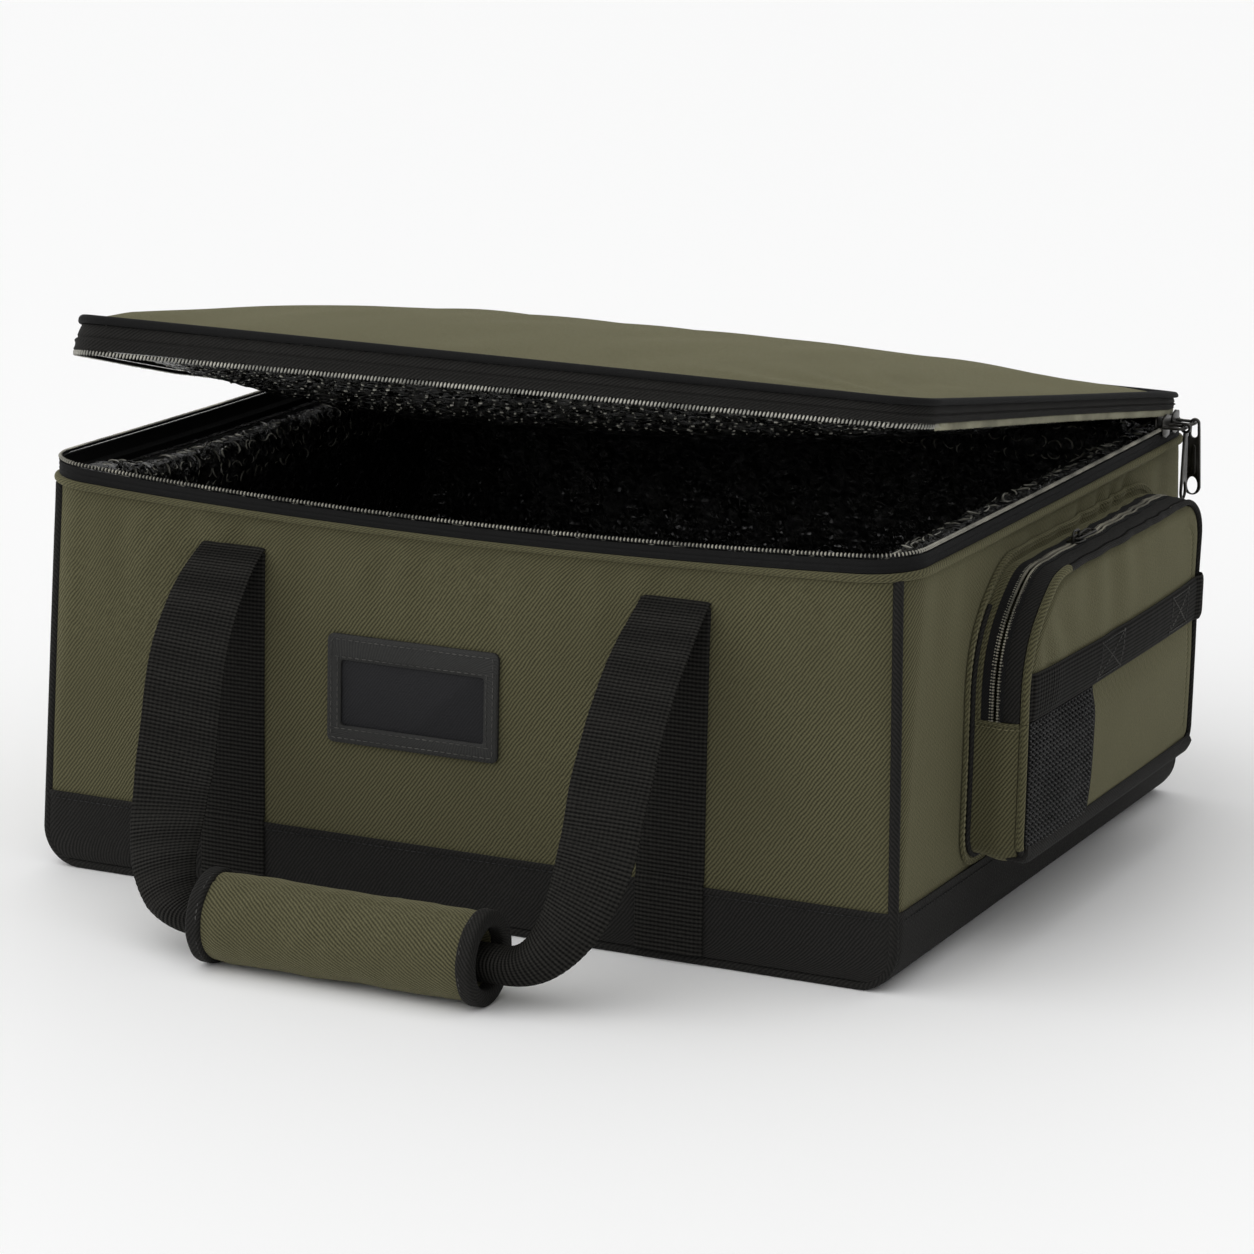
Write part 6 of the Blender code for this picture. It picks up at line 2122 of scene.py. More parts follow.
@dataclass
class Pocket:
    """The side pocket: stitched flange, gussets, zip round its arch, hinged flap, mesh and webbing."""

    front: float = -0.131
    back: float = 0.146
    foot: float = 0.050
    top: float = 0.1945
    front_corner: float = 0.060
    back_corner: float = 0.025
    foot_corner: float = 0.012
    seam: float = 0.1236
    depth: float = 0.0279
    cloth: float = 0.0012
    face_out: float = 0.0310
    cord_out: float = 0.0304
    cord: float = 0.0022
    crown: float = 0.0034
    coils: tuple[float, float] = (0.0132, 0.0164)
    pitch: float = 0.0016
    mesh_back: float = -0.0355
    webbing_z: tuple[float, float] = (0.1240, 0.1490)

    def arch(self, grow: float = 0.0, step: float = 0.0020) -> Array:
        """The outline above the seam, from front to back, as (y, z).

        Args:
            grow: How far it stands outside the pocket's edge.
            step: Distance between its points.

        Returns:
            Its points.
        """
        low, high, top = self.front - grow, self.back + grow, self.top + grow
        first, last = self.front_corner + grow, self.back_corner + grow
        line = np.vstack([[(low, self.seam + 0.0002)], arc((low + first, top - first), first, 180, 90, 40),
                          arc((high - last, top - last), last, 90, 0, 30), [(high, self.seam + 0.0002)]])
        return resample(line, step)

    def trough(self, grow: float = 0.0, step: float = 0.0020) -> Array:
        """The outline below the seam, from back to front, as (y, z).

        Args:
            grow: How far it stands outside the pocket's edge.
            step: Distance between its points.

        Returns:
            Its points.
        """
        low, high, foot = self.front - grow, self.back + grow, self.foot - grow
        corner = max(self.foot_corner + grow, 0.001)
        line = np.vstack([[(high, self.seam - 0.0002)], arc((high - corner, foot + corner), corner, 0, -90, 16),
                          arc((low + corner, foot + corner), corner, 270, 180, 16), [(low, self.seam - 0.0002)]])
        return resample(line, step)

    def outline(self, grow: float = 0.0, step: float = 0.0020) -> Array:
        """The whole outline, as (y, z)."""
        return np.vstack([self.arch(grow, step)[1:-1], self.trough(grow, step)[1:-1]])

    def away(self, path: Array, closed: bool) -> Array:
        """At each point of a path on the pocket's outline, the way out from the pocket's middle.

        Args:
            path: Points of the path.
            closed: Whether the last point joins the first.

        Returns:
            One direction for each point.
        """
        across = np.cross(tangents(path, closed), ACROSS)
        middle = np.array([0.0, (self.front + self.back) / 2, (self.foot + self.top) / 2])
        return across * np.sign(((path - middle) * across).sum(-1, keepdims=True))

    def strip(self, name: str, line: Array, section: Array, closed: bool = False) -> Object:
        """Run a section of (grow, out) along an outline of the pocket.

        Args:
            name: Name of the object.
            line: The outline, as (y, z).
            section: The section.
            closed: Whether the outline is closed.

        Returns:
            The strip.
        """
        path = np.column_stack([np.full(len(line), CUT.half_x), line])
        grid = SLUMP(path[:, None] + self.away(path, closed)[:, None] * section[None, :, :1]
                     + np.array(ACROSS) * section[None, :, 1:])
        draft = Draft()
        draft.tube(grid, run_lengths(section, True), run_lengths(path, closed), closed)
        return draft.build(name, 50.0)

    def guide(self, line: Array, out: float, lean: float = 0.0, closed: bool = False) -> Guide:
        """A guide path on an outline of the pocket, and the way that it faces.

        Args:
            line: The outline, as (y, z).
            out: How far it stands out of the wall.
            lean: Angle by which it faces up from the outline's own way out.
            closed: Whether the outline is closed.

        Returns:
            The guide.
        """
        path = np.column_stack([np.full(len(line), CUT.half_x + out), line])
        way = unit(self.away(path, closed) * math.cos(lean) + np.array(ACROSS) * math.sin(lean))
        return SLUMP(path), way, closed

    def swell(self, y: Array, z: Array) -> Array:
        """How far the padded face stands out.

        Args:
            y: Places along the wall.
            z: Heights.

        Returns:
            How far it stands out at each place.
        """
        u = np.clip(np.abs(y - (self.front + self.back) / 2) / ((self.back - self.front) / 2), 0, 1)
        v = np.clip(np.abs(z - (self.foot + self.top) / 2) / ((self.top - self.foot) / 2), 0, 1)
        soft = 0.0004 * ripple(np.stack([y, z], -1), 71, 10, 0.11, 0.04)
        fold = 1 - 0.75 * np.exp(-((z - self.seam) / 0.010) ** 2)
        return (self.crown + soft) * (1 - u ** 3) * (1 - v ** 3) * fold

    def fold(self) -> None:
        """The strip of cloth that joins the flap to the lower face, behind both."""
        y, z = np.meshgrid(np.linspace(self.front + 0.004, self.back - 0.004, 120),
                           np.linspace(self.seam - 0.006, self.seam + 0.006, 17))
        out = CUT.half_x + self.face_out + self.swell(y, z) - self.cloth - 0.0004
        faces = [SLUMP(np.stack([out - depth, y, z], -1)) for depth in (0.0, 0.0008)]
        strip = sheet("pocket_fold_cloth", *faces, y[0], z[:, 0], "olive_twill", None, Slot.OLIVE)
        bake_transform(strip)

    def face_rows(self, low: float, high: float, grow: float, count: int) -> tuple[Array, Array, Array]:
        """Heights, and where the face begins and ends at each.

        Args:
            low: Lowest height.
            high: Highest height.
            grow: How far it stands outside the edge.
            count: Number of heights.

        Returns:
            The heights, and both ends at each.
        """
        z = np.linspace(low, high, count)
        begin, end = np.full(count, self.front - grow), np.full(count, self.back + grow)
        for corner, level, sign in ((self.front_corner, self.top, 1), (self.back_corner, self.top, -1),
                                    (self.foot_corner, self.foot, 1), (self.foot_corner, self.foot, -1)):
            radius = max(corner + grow, 0.001)
            edge = level + grow if level == self.top else level - grow
            rise = np.clip(radius - np.abs(edge - z), 0, radius)
            cut = radius - np.sqrt(radius ** 2 - rise ** 2)
            if sign > 0:
                begin = np.maximum(begin, self.front - grow + cut)
            else:
                end = np.minimum(end, self.back + grow - cut)
        return z, begin, end

    def face(self, name: str, low: float, high: float, body: Body, node: str) -> None:
        """One half of the olive face.

        Args:
            name: Name of the piece.
            low: Lowest height.
            high: Highest height.
            body: The body that it moves with.
            node: The node that it replaces.
        """
        grow = -0.0035
        z, begin, end = self.face_rows(low, high, grow, int(abs(high - low) / 0.0016) + 2)
        share = (1 - np.cos(np.linspace(0, math.pi, 150))) / 2 * 0.35 + np.linspace(0, 1, 150) * 0.65
        y = begin[:, None] + (end - begin)[:, None] * share
        z = np.broadcast_to(z[:, None], y.shape)
        rim = np.vstack([self.arch(grow, 0.001), self.trough(grow, 0.001)])
        rim = rim[np.abs(rim[:, 1] - self.seam) > 0.0004]
        spots = np.stack([y, z], -1).reshape(-1, 1, 2)
        near = np.concatenate([np.sqrt(((part - rim[None]) ** 2).sum(-1)).min(1)
                               for part in np.array_split(spots, 40)])
        near = near.reshape(y.shape)
        from_y, from_z = y - self.front, z - 0.196
        crease = 0.0005 * np.sin(14 * np.arctan2(from_z, from_y)) * hump(np.hypot(from_y, from_z), 0.055, 0.02)
        level = self.face_out + self.swell(y, z) - 0.0014 * (1 - ease(near, 0.0, 0.0045))
        level = level + crease * ease(near, 0.002, 0.012) - 0.0006 * hump(near, 0.0115, 0.0012) * ease(y, 0.10, 0.13)
        outer = np.stack([CUT.half_x + level, y, z], -1)
        sheet(name, SLUMP(outer), SLUMP(outer - (self.cloth, 0, 0)), share * 0.27, z[:, 0], "olive_twill", body,
              Slot.OLIVE, node)

    def flange(self) -> None:
        """The flange sewn to the wall, with its double row of stitches."""
        section = np.array([(0.0058, 0.0004), (0.0066, 0.0009), (0.0066, 0.0017), (0.0060, 0.0023), (0.0050, 0.0025),
                            (0.0038, 0.0023), (0.0029, 0.0017), (0.0018, 0.0014), (0.0006, 0.0015), (-0.0080, 0.0015),
                            (-0.0080, 0.0004)])
        loop = self.outline()
        welt = self.strip("pocket_flange_welt", loop, section, True)
        dress(welt, "olive_twill", Body.BAG, Slot.OLIVE, "pocket_flange")
        near = np.flatnonzero(loop[:, 0] < self.front + 0.020)
        cord = loop[np.concatenate([near[near > len(loop) // 2], near[near <= len(loop) // 2]])]
        dress(self.strip("pocket_root_piping", cord, circle_profile(0.0013, 10) + (0.0012, 0.0030)), "black_twill",
              Body.BAG, Slot.BLACK)
        guides = [self.guide(self.outline(grow), out, math.radians(80), True)
                  for grow, out in ((0.0058, 0.0026), (0.0034, 0.0021))]
        sew("pocket_flange_stitches", guides, "olive_thread", Body.BAG, Slot.OLIVE, 0.0034, 0.0025, 0.00030)

    def gussets(self) -> None:
        """The pocket's own walls."""
        fold = np.array([(0.0, 0.0016), (0.0006, 0.0036), (0.0002, 0.0052), (0.0012, 0.0060), (0.0012, 0.0068),
                         (0.0001, 0.0073), (0.0000, 0.0118), (-0.0012, 0.0118), (-0.0012, 0.0016)])
        dress(self.strip("pocket_back_gusset_cloth", self.arch(), fold), "olive_twill", Body.BAG, Slot.OLIVE,
              "pocket_back_gusset")
        stations = np.linspace(0, 1, 25)
        belly = 0.0016 * np.sin(stations * math.pi) - 0.0009 * np.sin(stations * math.tau)
        outer = np.column_stack([belly, 0.0016 + stations * (self.depth - 0.0016)])
        section = np.vstack([outer, outer[::-1] - (0.0012, 0)])
        dress(self.strip("pocket_lower_gusset_cloth", self.trough(), section), "olive_twill", Body.BAG, Slot.OLIVE,
              "pocket_lower_gusset")
        rows, draft = [], Draft()
        for y, sign in ((self.back, 1.0), (self.front, -1.0)):
            path = np.column_stack([CUT.half_x + outer[:, 1], y + (outer[:, 0] + 0.0001) * sign,
                                    np.full(len(outer), self.seam - 0.0009)])
            way = np.array([0.0, sign, 0.0])
            sweep("", SLUMP(path), facing(way, path), circle_profile(0.0009, 8), draft=draft)
            rows.append((SLUMP(path - (0, 0, 0.0024)), way, False))
        dress(draft.build("pocket_gusset_hems"), "olive_twill", Body.BAG, Slot.OLIVE)
        sew("pocket_hem_stitches", rows, "olive_thread", Body.BAG, Slot.OLIVE, 0.0032, 0.0023, 0.00028)
        black = np.array([(0.0, 0.0178), (0.0005, 0.0190), (0.0007, 0.0225), (0.0005, 0.0262), (0.0, 0.0279),
                          (-0.0012, 0.0279), (-0.0012, 0.0178)])
        dress(self.strip("pocket_front_gusset_cloth", self.arch(), black), "black_twill", Body.FLAP, Slot.BLACK,
              "pocket_front_gusset")

    def zip(self) -> None:
        """Both halves of the zip: tape, cord and two rows of teeth each."""
        for out, tape, body, node in ((self.coils[0], (0.0074, 0.0130), Body.BAG, "pocket_zip_coil_back"),
                                      (self.coils[1], (0.0166, 0.0194), Body.FLAP, "pocket_zip_coil_front")):
            low, high = tape
            section = np.array([(0.0009, low), (0.0011, (low + high) / 2), (0.0009, high), (-0.0016, high),
                                (-0.0016, low)])
            dress(self.strip(node + "_tape", self.arch(), section), "black_tape", body, Slot.COIL, node)
            sign = 1 if body is Body.FLAP else -1
            guides = [self.guide(self.arch(0.0007 - part * 0.0004), out - sign * (0.0002 - part * 0.0014))
                      for part in (0, 1)]
            run_teeth(node + "_teeth", guides, (0.0011, 0.0015, 0.0014), self.pitch, "pocket_teeth", body, 8)

    def piping(self) -> None:
        """Piping round the face: olive at the front, black round the rest, bound along the foot."""
        out, radius, grow = self.cord_out, self.cord, -0.0010
        section = circle_profile(radius, 12) + (grow, out)
        thin = circle_profile(radius * 0.75, 12) + (grow - 0.0004, out)
        arch, trough = self.arch(0.0, 0.0018), self.trough(0.0, 0.0018)
        cut = int(np.argmax(arch[:, 0] > self.front + 0.058))
        for node, body, front_line, back_line, end in (
                ("pocket_flap_piping", Body.FLAP, arch[:cut + 1], arch[cut:], "_top"),
                ("pocket_lower_piping", Body.BAG, trough[trough[:, 0] < self.front + 0.0012],
                 trough[trough[:, 0] > self.front + 0.0010], "_back")):
            dress(self.strip(node + "_front", front_line, section), "olive_twill", body, Slot.OLIVE, node)
            dress(self.strip(node + end, back_line, thin), "black_twill", body, Slot.BLACK)
        bound = np.array([(0.0012, 0.0215), (0.0020, 0.0225), (0.0022, 0.0300), (0.0012, 0.0326), (-0.0010, 0.0338),
                          (-0.0040, 0.0334), (-0.0064, 0.0328), (-0.0070, 0.0320), (-0.0064, 0.0312), (0.0006, 0.0280),
                          (0.0006, 0.0222)])
        foot = trough[(trough[:, 1] < self.foot + 0.0035) & (trough[:, 0] > self.front + 0.0008)]
        dress(self.strip("pocket_foot_binding", foot, bound), "black_twill", Body.BAG, Slot.BLACK)

    def net(self) -> None:
        """The black mesh patch: a diamond net over a thin dark backing."""
        low_y, high_y, low_z, high_z, corner = -0.1268, self.mesh_back, 0.0545, self.seam, 0.008
        y, z = np.meshgrid(np.linspace(low_y, high_y, 40), np.linspace(low_z, high_z, 34))
        def begin(level: Array) -> Array:
            """Where the patch begins at a height, round its lower corner."""
            inset = np.clip(corner - (level - low_z), 0, corner)
            return low_y + corner - np.sqrt(corner ** 2 - inset ** 2)

        y = np.where(y < low_y + corner, np.maximum(y, begin(z)), y)
        base = CUT.half_x + self.face_out + self.swell(y, z)
        faces = [SLUMP(np.stack([base + lift, y, z], -1)) for lift in (0.0005, 0.0001)]
        sheet("pocket_mesh_backing", *faces, y[20], z[:, 0], "mesh_backing", Body.BAG, Slot.MESH, "pocket_mesh")
        wide, tall, lines = 0.0046, 0.0056, []
        for phase in (-1, 1):
            for number in range(-1, int((high_y - low_y) / wide) + 2):
                run = np.arange(low_z, high_z, tall / 8)
                wave = np.cos((run - low_z) * math.tau / tall)
                across = low_y + number * wide + phase * wide / 2 * np.sign(wave) * np.abs(wave) ** 0.8
                height = CUT.half_x + self.face_out + self.swell(across, run) + 0.0009
                height = height + phase * 0.0002 * np.sin((run - low_z) * math.tau / tall)
                keep = (across > begin(run)) & (across < high_y)
                points = SLUMP(np.column_stack([height, across, run]))
                for part in np.split(np.arange(len(run)), np.flatnonzero(np.diff(keep.astype(int))) + 1):
                    if len(part) > 2 and keep[part[0]]:
                        lines.append((points[part], np.array(ACROSS), False))
        net = NET.apply("pocket_mesh_net", lines, "mesh_thread", {"Thread": 0.00042, "Sides": 5,
                                                                  "Unevenness": 0.00008, "Seed": 9})
        dress(net, "mesh_thread", Body.BAG, Slot.MESH)
        edge = np.column_stack([np.full(40, high_y), np.linspace(low_z, high_z, 40)])
        path = np.column_stack([CUT.half_x + self.face_out + self.swell(edge[:, 0], edge[:, 1]) + 0.0004, edge])
        hem = sweep("pocket_mesh_hem", path, facing(ACROSS, path), rounded_rectangle(0.0006, 0.0013, 0.0004, steps=3),
                    form=SLUMP)
        dress(hem, "black_tape", Body.BAG, Slot.MESH)

    def webbing(self) -> None:
        """The webbing across the flap: ribs, two crossed boxes of stitches, round the back edge."""
        low, high = self.webbing_z
        flat = np.linspace(self.front + 0.0042, self.back - 0.0040, 560)
        z = np.linspace(low, high, 15)
        over = self.cord_out + self.cord + 0.0003

        def bed(y: Array, level: Array) -> Array:
            """How far out the webbing lies, on the face and up over the piping at the back."""
            return self.face_out + self.swell(y, level) + 0.0009 + (over - self.face_out) * ease(
                y, self.back - 0.012, self.back - 0.005)

        y, level = np.meshgrid(flat, z)
        lift = bed(y, level) - 0.0022 * (1 - ease(y, self.front + 0.004, self.front + 0.010))
        turn = np.linspace(0, math.pi / 2, 14)[1:]
        centre_y, centre_out = self.back - 0.0010, over - 0.0022
        bend_y = centre_y + 0.0028 * np.sin(turn)
        bend_out = centre_out + 0.0022 * np.cos(turn) + 0.0003
        tail = np.linspace(centre_out, centre_out - 0.010, 24)[1:]
        y = np.hstack([y, np.broadcast_to(np.concatenate([bend_y, np.full(23, bend_y[-1])]), (15, 36))])
        out = np.hstack([lift, np.broadcast_to(np.concatenate([bend_out, tail]), (15, 36))])
        level = np.broadcast_to(z[:, None], y.shape)
        points = np.stack([CUT.half_x + out, y, level], -1)
        normals = grid_normals(points)
        normals *= np.sign(normals[7, 100, 0])
        run = run_lengths(points[7])
        coarse = 1 - ease(run, 0.028, 0.046)
        rib = 0.00034 * coarse * ribs(run, 0.0032) + 0.00016 * (1 - coarse) * ribs(run, 0.0014)
        across = np.linspace(-1, 1, 15)[:, None]
        thick = 0.0012 * (0.3 + 0.7 * (1 - np.abs(across) ** 8)) + rib * (1 - np.abs(across) ** 8)
        sheet("pocket_webbing_strap", SLUMP(points + normals * thick[..., None]), SLUMP(points), run, z,
              "black_webbing", Body.FLAP, Slot.WEBBING, "pocket_webbing", smooth=RIB_EDGE)
        guides = []
        inset = 0.0028
        for begin, end in ((-0.032, 0.004), (0.088, 0.118)):
            corners = [(begin, low + inset), (end, low + inset), (end, high - inset), (begin, high - inset)]
            for first, last in ((0, 1), (1, 2), (2, 3), (3, 0), (0, 2), (1, 3)):
                share = np.linspace(0, 1, 24)[:, None]
                spot = np.array(corners[first]) * (1 - share) + np.array(corners[last]) * share
                lift = bed(spot[:, 0], spot[:, 1]) + 0.00145
                guides.append((SLUMP(np.column_stack([CUT.half_x + lift, spot])), np.array(ACROSS), False))
        sew("pocket_webbing_stitches", guides, "pale_thread", Body.FLAP, Slot.WEBBING, 0.0031, 0.0024, 0.00030)

    def build(self) -> None:
        """Build the pocket."""
        self.flange()
        self.gussets()
        self.zip()
        self.piping()
        self.face("pocket_flap_face", self.seam + 0.0002, self.top - 0.0036, Body.FLAP, "pocket_flap")
        self.face("pocket_lower_face", self.foot + 0.0036, self.seam - 0.0002, Body.BAG, "pocket_lower_panel")
        self.fold()
        self.net()
        self.webbing()


def cut_plate(name: str, outline: Array, holes: Sequence[Array], thickness: float, bevel: float,
              place: Callable[[Array], Array]) -> Object:
    """A flat plate with holes and bevelled edges.

    Args:
        name: the piece's name.
        outline: the plate's outline in its plane.
        holes: the outlines of its holes.
        thickness: how thick it is.
        bevel: how wide its bevels are.
        place: turns points of (across, along, height) into places.
    Returns:
        The new object.
    """
    curve = bpy.data.curves.new(name, "CURVE")
    curve.dimensions, curve.fill_mode, curve.bevel_resolution = "2D", "BOTH", 2
    scale = 1000.0
    curve.extrude, curve.bevel_depth, curve.offset = (thickness / 2 - bevel) * scale, bevel * scale, -bevel * scale
    for loop in (outline, *holes):
        spline = curve.splines.new("POLY")
        spline.points.add(len(loop) - 1)
        table = np.column_stack([loop * scale, np.zeros(len(loop)), np.ones(len(loop))])
        spline.points.foreach_set("co", table.ravel())
        spline.use_cyclic_u = True
    holder = add_object(name, curve)
    bpy.context.view_layer.update()
    graph = bpy.context.evaluated_depsgraph_get()
    mesh = bpy.data.meshes.new_from_object(holder.evaluated_get(graph))
    bpy.data.objects.remove(holder, do_unlink=True)
    bpy.data.curves.remove(curve)
    spots = np.zeros(len(mesh.vertices) * 3)
    mesh.vertices.foreach_get("co", spots)
    mesh.vertices.foreach_set("co", place(spots.reshape(-1, 3) / scale).ravel())
    mesh.uv_layers.new(name=UV_NAME)
    return close_mesh(name, mesh, 35.0)


def merge(name: str, pieces: Sequence[Object]) -> Object:
    """Join pieces into one object under a name.

    Args:
        name: Name of the joined object.
        pieces: The pieces, which it takes up.

    Returns:
        The joined object.
    """
    with bpy.context.temp_override(active_object=pieces[0], selected_editable_objects=list(pieces),
                                   selected_objects=list(pieces)):
        bpy.ops.object.join()
    pieces[0].name = pieces[0].data.name = name
    return pieces[0]


def tapered(width: float, top: float, low: float, end: float, head: float) -> Array:
    """A pull's outline as (across, height): a narrow round head, straight flanks and a wide round end."""
    return np.vstack([arc((0.0, top), head, 0, 180, 12), [(-width, top - head - 0.001)],
                      arc((0.0, low), end, 180, 360, 20), [(width, top - head - 0.001)]])


@dataclass
class MainSlider:
    """One of the two sliders of the main zip, with its bail and its hanging pull."""

    name: str
    y: float
    body: Body
    pull: Body
    turned: bool
    zip_x: float = 0.24925
    bar_x: float = 0.26315
    length: float = 0.041
    thick: float = 0.0016

    def slider(self) -> None:
        """The body's two plates, the web between them and the bail."""
        half, corner = 0.0042, 0.0018
        shield = np.vstack([arc((half, 0.0042), corner, 0, 80, 6), arc((0.0, 0.0046), 0.0022, 60, 120, 6),
                            arc((-half, 0.0036), corner, 100, 180, 6), arc((-half, -0.0036), corner, 180, 260, 6),
                            arc((0.0, -0.0046), 0.0022, 240, 300, 6), arc((half, -0.0042), corner, 280, 360, 6)])
        pieces = []
        for x in (self.zip_x + 0.0021, self.zip_x - 0.0021):
            pieces.append(cut_plate(self.name + "_plate", shield, [], 0.0012, 0.0004, lambda spot, x=x: np.column_stack(
                [x + spot[:, 2], self.y + spot[:, 0], CUT.zip_plane + spot[:, 1]])))
        draft = Draft()
        rail = resample(np.array([(self.zip_x + part, self.y - 0.0052, CUT.zip_plane) for part in (-0.0018, 0.0018)]),
                        0.0008)
        sweep("", rail, facing(UPWARD, rail), circle_profile(0.00045, 8), draft=draft)
        corner, wide = 0.0026, 0.0050
        turn_x = self.bar_x - corner
        line = np.vstack([[(self.zip_x + 0.0024, -wide)], [(turn_x, -wide)],
                          arc((turn_x, -wide + corner), corner, -90, 0, 8),
                          arc((turn_x, wide - corner), corner, 0, 90, 8), [(self.zip_x + 0.0024, wide)]])
        path = resample(np.column_stack([line[:, 0], self.y + line[:, 1], np.full(len(line), CUT.zip_plane)]), 0.0006)
        swell = 0.0009 + 0.0003 * ease(path[:, 0], self.zip_x + 0.006, self.zip_x + 0.002)
        section = circle_profile(1.0, 10)[None] * swell[:, None, None]
        sweep("", path, facing(UPWARD, path), section, draft=draft)
        pieces.append(draft.build(self.name + "_bail"))
        dress(merge(self.name + "_metal", pieces), "zip_metal", self.body, Slot.METAL, self.name)

    def tab(self) -> None:
        """The pull: a slotted head on the bail's bar and a wide end with an oval hole."""
        low, end = -self.length + 0.0050, 0.0050
        turns = np.linspace(0, math.tau, 33)[:-1]
        hole = np.column_stack([0.0031 * np.cos(turns), low + 0.0006 + 0.0036 * np.sin(turns) * 1.35])

        def side_on(spot: Array) -> Array:
            """Stand a plate across the zip."""
            return np.column_stack([self.bar_x + spot[:, 0], self.y + spot[:, 2], CUT.zip_plane + spot[:, 1]])

        def edge_on(spot: Array) -> Array:
            """Stand a plate along the zip."""
            return np.column_stack([self.bar_x + spot[:, 2], self.y + spot[:, 0], CUT.zip_plane + spot[:, 1]])

        if self.turned:
            turns = np.linspace(0, math.tau, 25)[:-1]
            ring = 0.0031 * np.column_stack([np.cos(turns), np.sin(turns)])
            blade = np.vstack([[(0.0026, -0.0026), (-0.0026, -0.0026)], arc((0.0, low), end - 0.0004, 180, 360, 20)])
            pieces = [cut_plate("pull_ring", ring, [ring * 0.5], self.thick, 0.0004, side_on),
                      cut_plate("pull_blade", blade, [hole], self.thick, 0.00045, edge_on)]
        else:
            flat = tapered(0.0034, 0.0, low, end, 0.0031)
            slot = np.vstack([arc((0.0, 0.0), 0.0016, 0, 180, 8), arc((0.0, -0.0062), 0.0019, 180, 360, 8)])
            rib = np.vstack([arc((0.0, -0.0135), 0.0014, 0, 180, 8), arc((0.0, low + 0.0085), 0.0018, 180, 360, 8)])
            pieces = [cut_plate("pull_plate", flat, [slot, hole], self.thick, 0.00045, side_on),
                      cut_plate("pull_rib", rib, [], self.thick + 0.0006, 0.0003, side_on)]
        dress(merge(self.name + "_tab", pieces), "zip_metal", self.pull, Slot.METAL, self.name + "_pull")

    def build(self) -> None:
        """Build the slider and its pull."""
        self.slider()
        self.tab()


@dataclass
class PocketSlider:
    """The pocket zip's slider and its long slotted pull, lying back along the zip."""

    y: float = -0.017
    x: float = 0.2648
    z: float = 0.1939
    plate_top: float = 0.1966
    tab_z: float = 0.1975
    half_width: float = 0.0036

    def build(self) -> None:
        """Build the slider and its pull."""
        shift = float(SLUMP(np.array([[self.x, self.y, self.z]]))[0, 0]) - self.x
        half, corner = 0.0039, 0.0014
        shield = np.vstack([arc((half, 0.0030), corner, 0, 80, 5), arc((-half, 0.0024), corner, 100, 180, 5),
                            arc((-half, -0.0024), corner, 180, 260, 5), arc((half, -0.0030), corner, 280, 360, 5)])
        pieces = []
        for z in (self.z + 0.0022, self.z - 0.0022):
            pieces.append(cut_plate("pocket_plate", shield, [], 0.0010, 0.00035, lambda spot, z=z: np.column_stack(
                [self.x + shift + spot[:, 1], self.y + spot[:, 0], z + spot[:, 2]])))
        top, reach, corner = self.plate_top - 0.0004, self.plate_top + 0.0050, 0.0020
        line = np.vstack([[(-0.0044, top)], arc((-0.0044 + corner, reach - corner), corner, 180, 90, 7),
                          arc((0.0044 - corner, reach - corner), corner, 90, 0, 7), [(0.0044, top)]])
        path = resample(np.column_stack([np.full(len(line), self.x + shift), self.y + line[:, 0], line[:, 1]]), 0.0006)
        draft = Draft()
        sweep("", path, facing(ACROSS, path), circle_profile(0.0008, 8), draft=draft)
        pieces.append(draft.build("pocket_bail"))
        dress(merge("pocket_slider_metal", pieces), "zip_metal", Body.POCKET_SLIDER, Slot.METAL, "pocket_slider")
        wide, end = self.half_width, 0.026 - 0.0036
        outline = np.vstack([arc((0.0, 0.0), wide * 0.72, 180, 360, 12), arc((0.0, end), wide, 0, 180, 14)])
        eye = np.vstack([arc((0.0, 0.0008), 0.0014, 180, 360, 6), arc((0.0, 0.0066), 0.0018, 0, 180, 6)])
        slot = np.vstack([arc((0.0, 0.0120), 0.0016, 180, 360, 6), arc((0.0, end), 0.0020, 0, 180, 8)])
        tab = cut_plate("pocket_slider_tab", outline, [eye, slot], 0.0013, 0.0004, lambda spot: np.column_stack(
            [self.x + shift + spot[:, 0], self.y + spot[:, 1], self.tab_z + spot[:, 2]]))
        dress(tab, "zip_metal", Body.POCKET_PULL, Slot.METAL, "pocket_slider_pull")


# Camera, light and floor

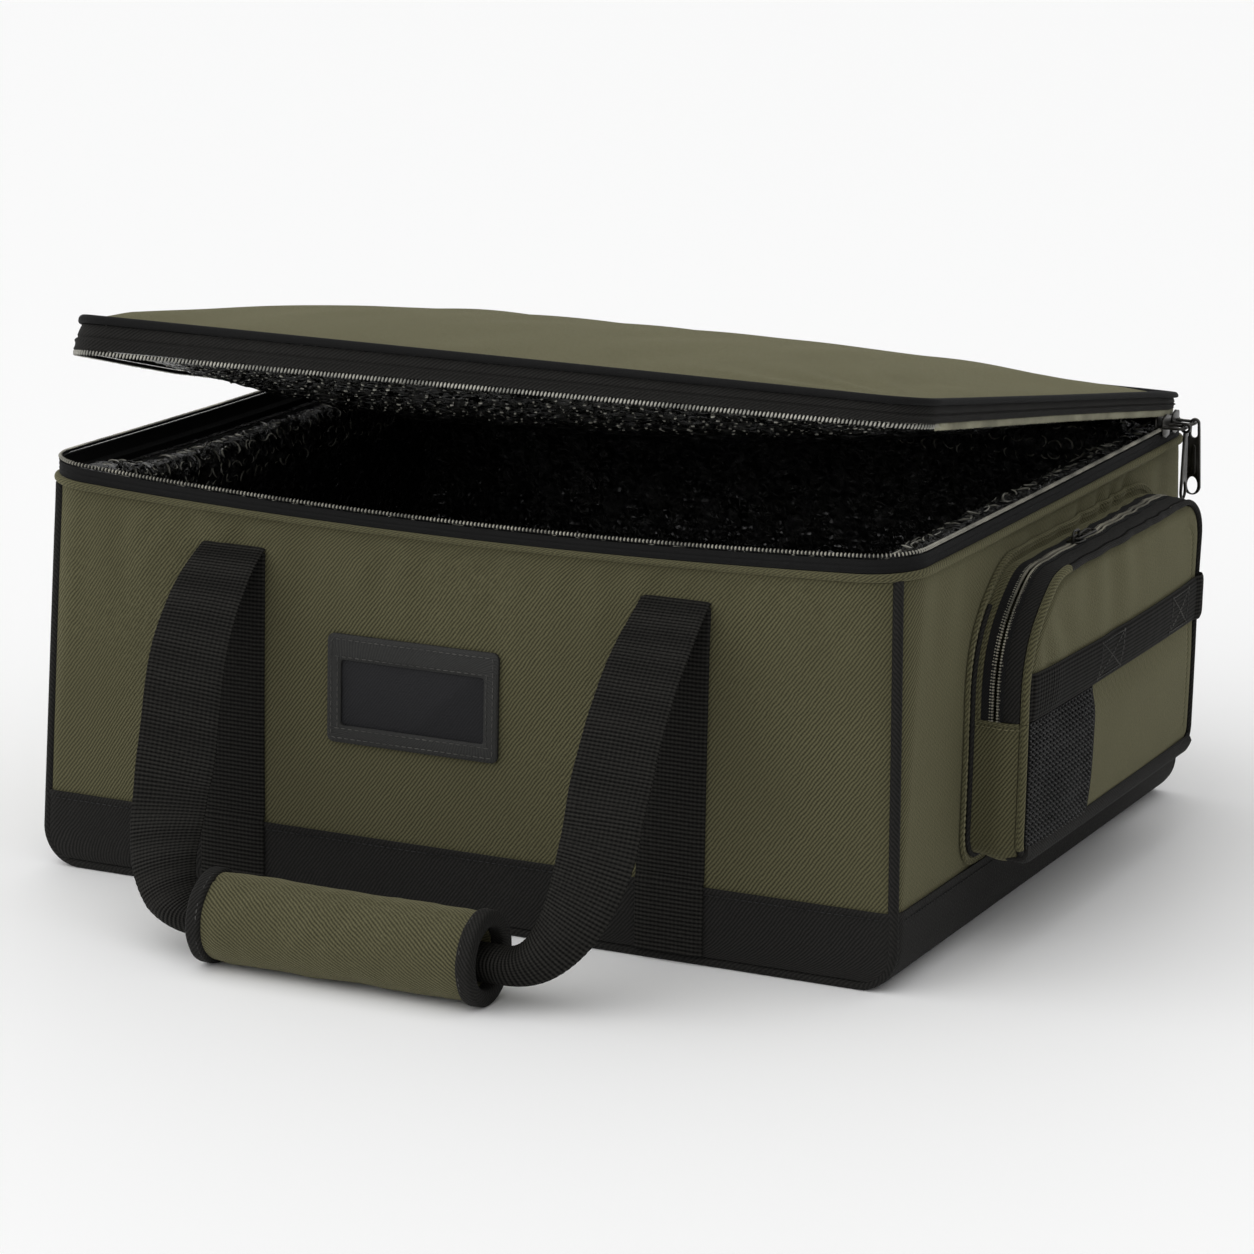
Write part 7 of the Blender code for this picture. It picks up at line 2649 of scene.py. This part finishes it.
class Studio:
    """The camera at the photograph's angle, a pale floor and plain soft light."""

    def camera(self) -> None:
        """Place the camera from its position, heading and roll."""
        yaw, pitch, roll = math.radians(24.66), math.radians(13.31), math.radians(1.13)
        ahead = np.array([-math.sin(yaw) * math.cos(pitch), math.cos(yaw) * math.cos(pitch), -math.sin(pitch)])
        right = np.array([math.cos(yaw), math.sin(yaw), 0.0])
        up = np.cross(right, ahead)
        side = math.cos(roll) * right + math.sin(roll) * up
        top = -math.sin(roll) * right + math.cos(roll) * up
        data = bpy.data.cameras.new("camera")
        data.lens, data.sensor_width, data.clip_end = 134.12, 36.0, 60.0
        place = np.eye(4)
        place[:3] = np.column_stack([side, top, -ahead, (1.05601, -2.30323, 0.71417)])
        made = add_object("camera", data)
        made.matrix_world = Matrix(place.tolist())
        bpy.context.scene.camera = made

    def floor(self) -> None:
        """A pale floor that keeps the object's shadow."""
        mesh = bpy.data.meshes.new("floor")
        size = 14.0
        mesh.from_pydata([(-size, -size, 0), (size, -size, 0), (size, size, 0), (-size, size, 0)], [], [(0, 1, 2, 3)])
        made = add_object("floor", mesh)
        look = bpy.data.materials.new("floor")
        look.use_nodes = True
        shader = look.node_tree.nodes["Principled BSDF"]
        shader.inputs["Base Color"].default_value = colour(251, 251, 251)
        shader.inputs["Roughness"].default_value = 0.55
        shader.inputs["Specular IOR Level"].default_value = 0.12
        mesh.materials.append(look)

    def light(self) -> None:
        """A broad soft light overhead, a soft key from the front left, and a sky that dims to the right."""
        for name, energy, angle, turn in (("top", 1.33, 150, (10, 0, -40)), ("key", 0.72, 70, (50, 0, -36))):
            data = bpy.data.lights.new(name, "SUN")
            data.energy, data.angle = energy, math.radians(angle)
            add_object(name, data).rotation_euler = [math.radians(part) for part in turn]
        world = bpy.data.worlds.new("studio")
        world.use_nodes = True
        bpy.context.scene.world = world
        back = world.node_tree.nodes["Background"]
        back.inputs["Color"].default_value = (1.0, 1.0, 1.0, 1.0)
        nodes, links = world.node_tree.nodes, world.node_tree.links
        way, split, dim = (nodes.new("ShaderNode" + kind) for kind in ("TexCoord", "SeparateXYZ", "MapRange"))
        for label, value in (("From Min", 0.1), ("From Max", 0.9), ("To Min", 0.53), ("To Max", 0.16)):
            dim.inputs[label].default_value = value
        links.new(way.outputs["Generated"], split.inputs["Vector"])
        links.new(split.outputs["X"], dim.inputs["Value"])
        links.new(dim.outputs["Result"], back.inputs["Strength"])

    def build(self) -> None:
        """Set the studio up."""
        self.camera()
        self.floor()
        self.light()
        bpy.context.scene.view_settings.view_transform = "Standard"


def main() -> None:
    """Build the studio, then every sub-assembly in order, and note the sizes."""
    logging.basicConfig(level=logging.INFO, format="%(message)s")
    Studio().build()
    handles = (Handle("front_handle", -1, Body.FRONT_HANDLE, (-0.012, 0.006), (0.0055, -0.003), (0.012, 0.003)),
               Handle("rear_handle", 1, Body.REAR_HANDLE, (0.0, 0.0), (0.002, 0.002), (0.004, 0.004)))
    for part in (Walls(), Rim(), Lid(), Inside(), *handles, Label(), Pocket(),
                 MainSlider("front_slider", 0.1700, Body.FRONT_SLIDER, Body.FRONT_PULL, True),
                 MainSlider("rear_slider", 0.1865, Body.REAR_SLIDER, Body.REAR_PULL, False), PocketSlider()):
        part.build()


if __name__ == "__main__":
    main()
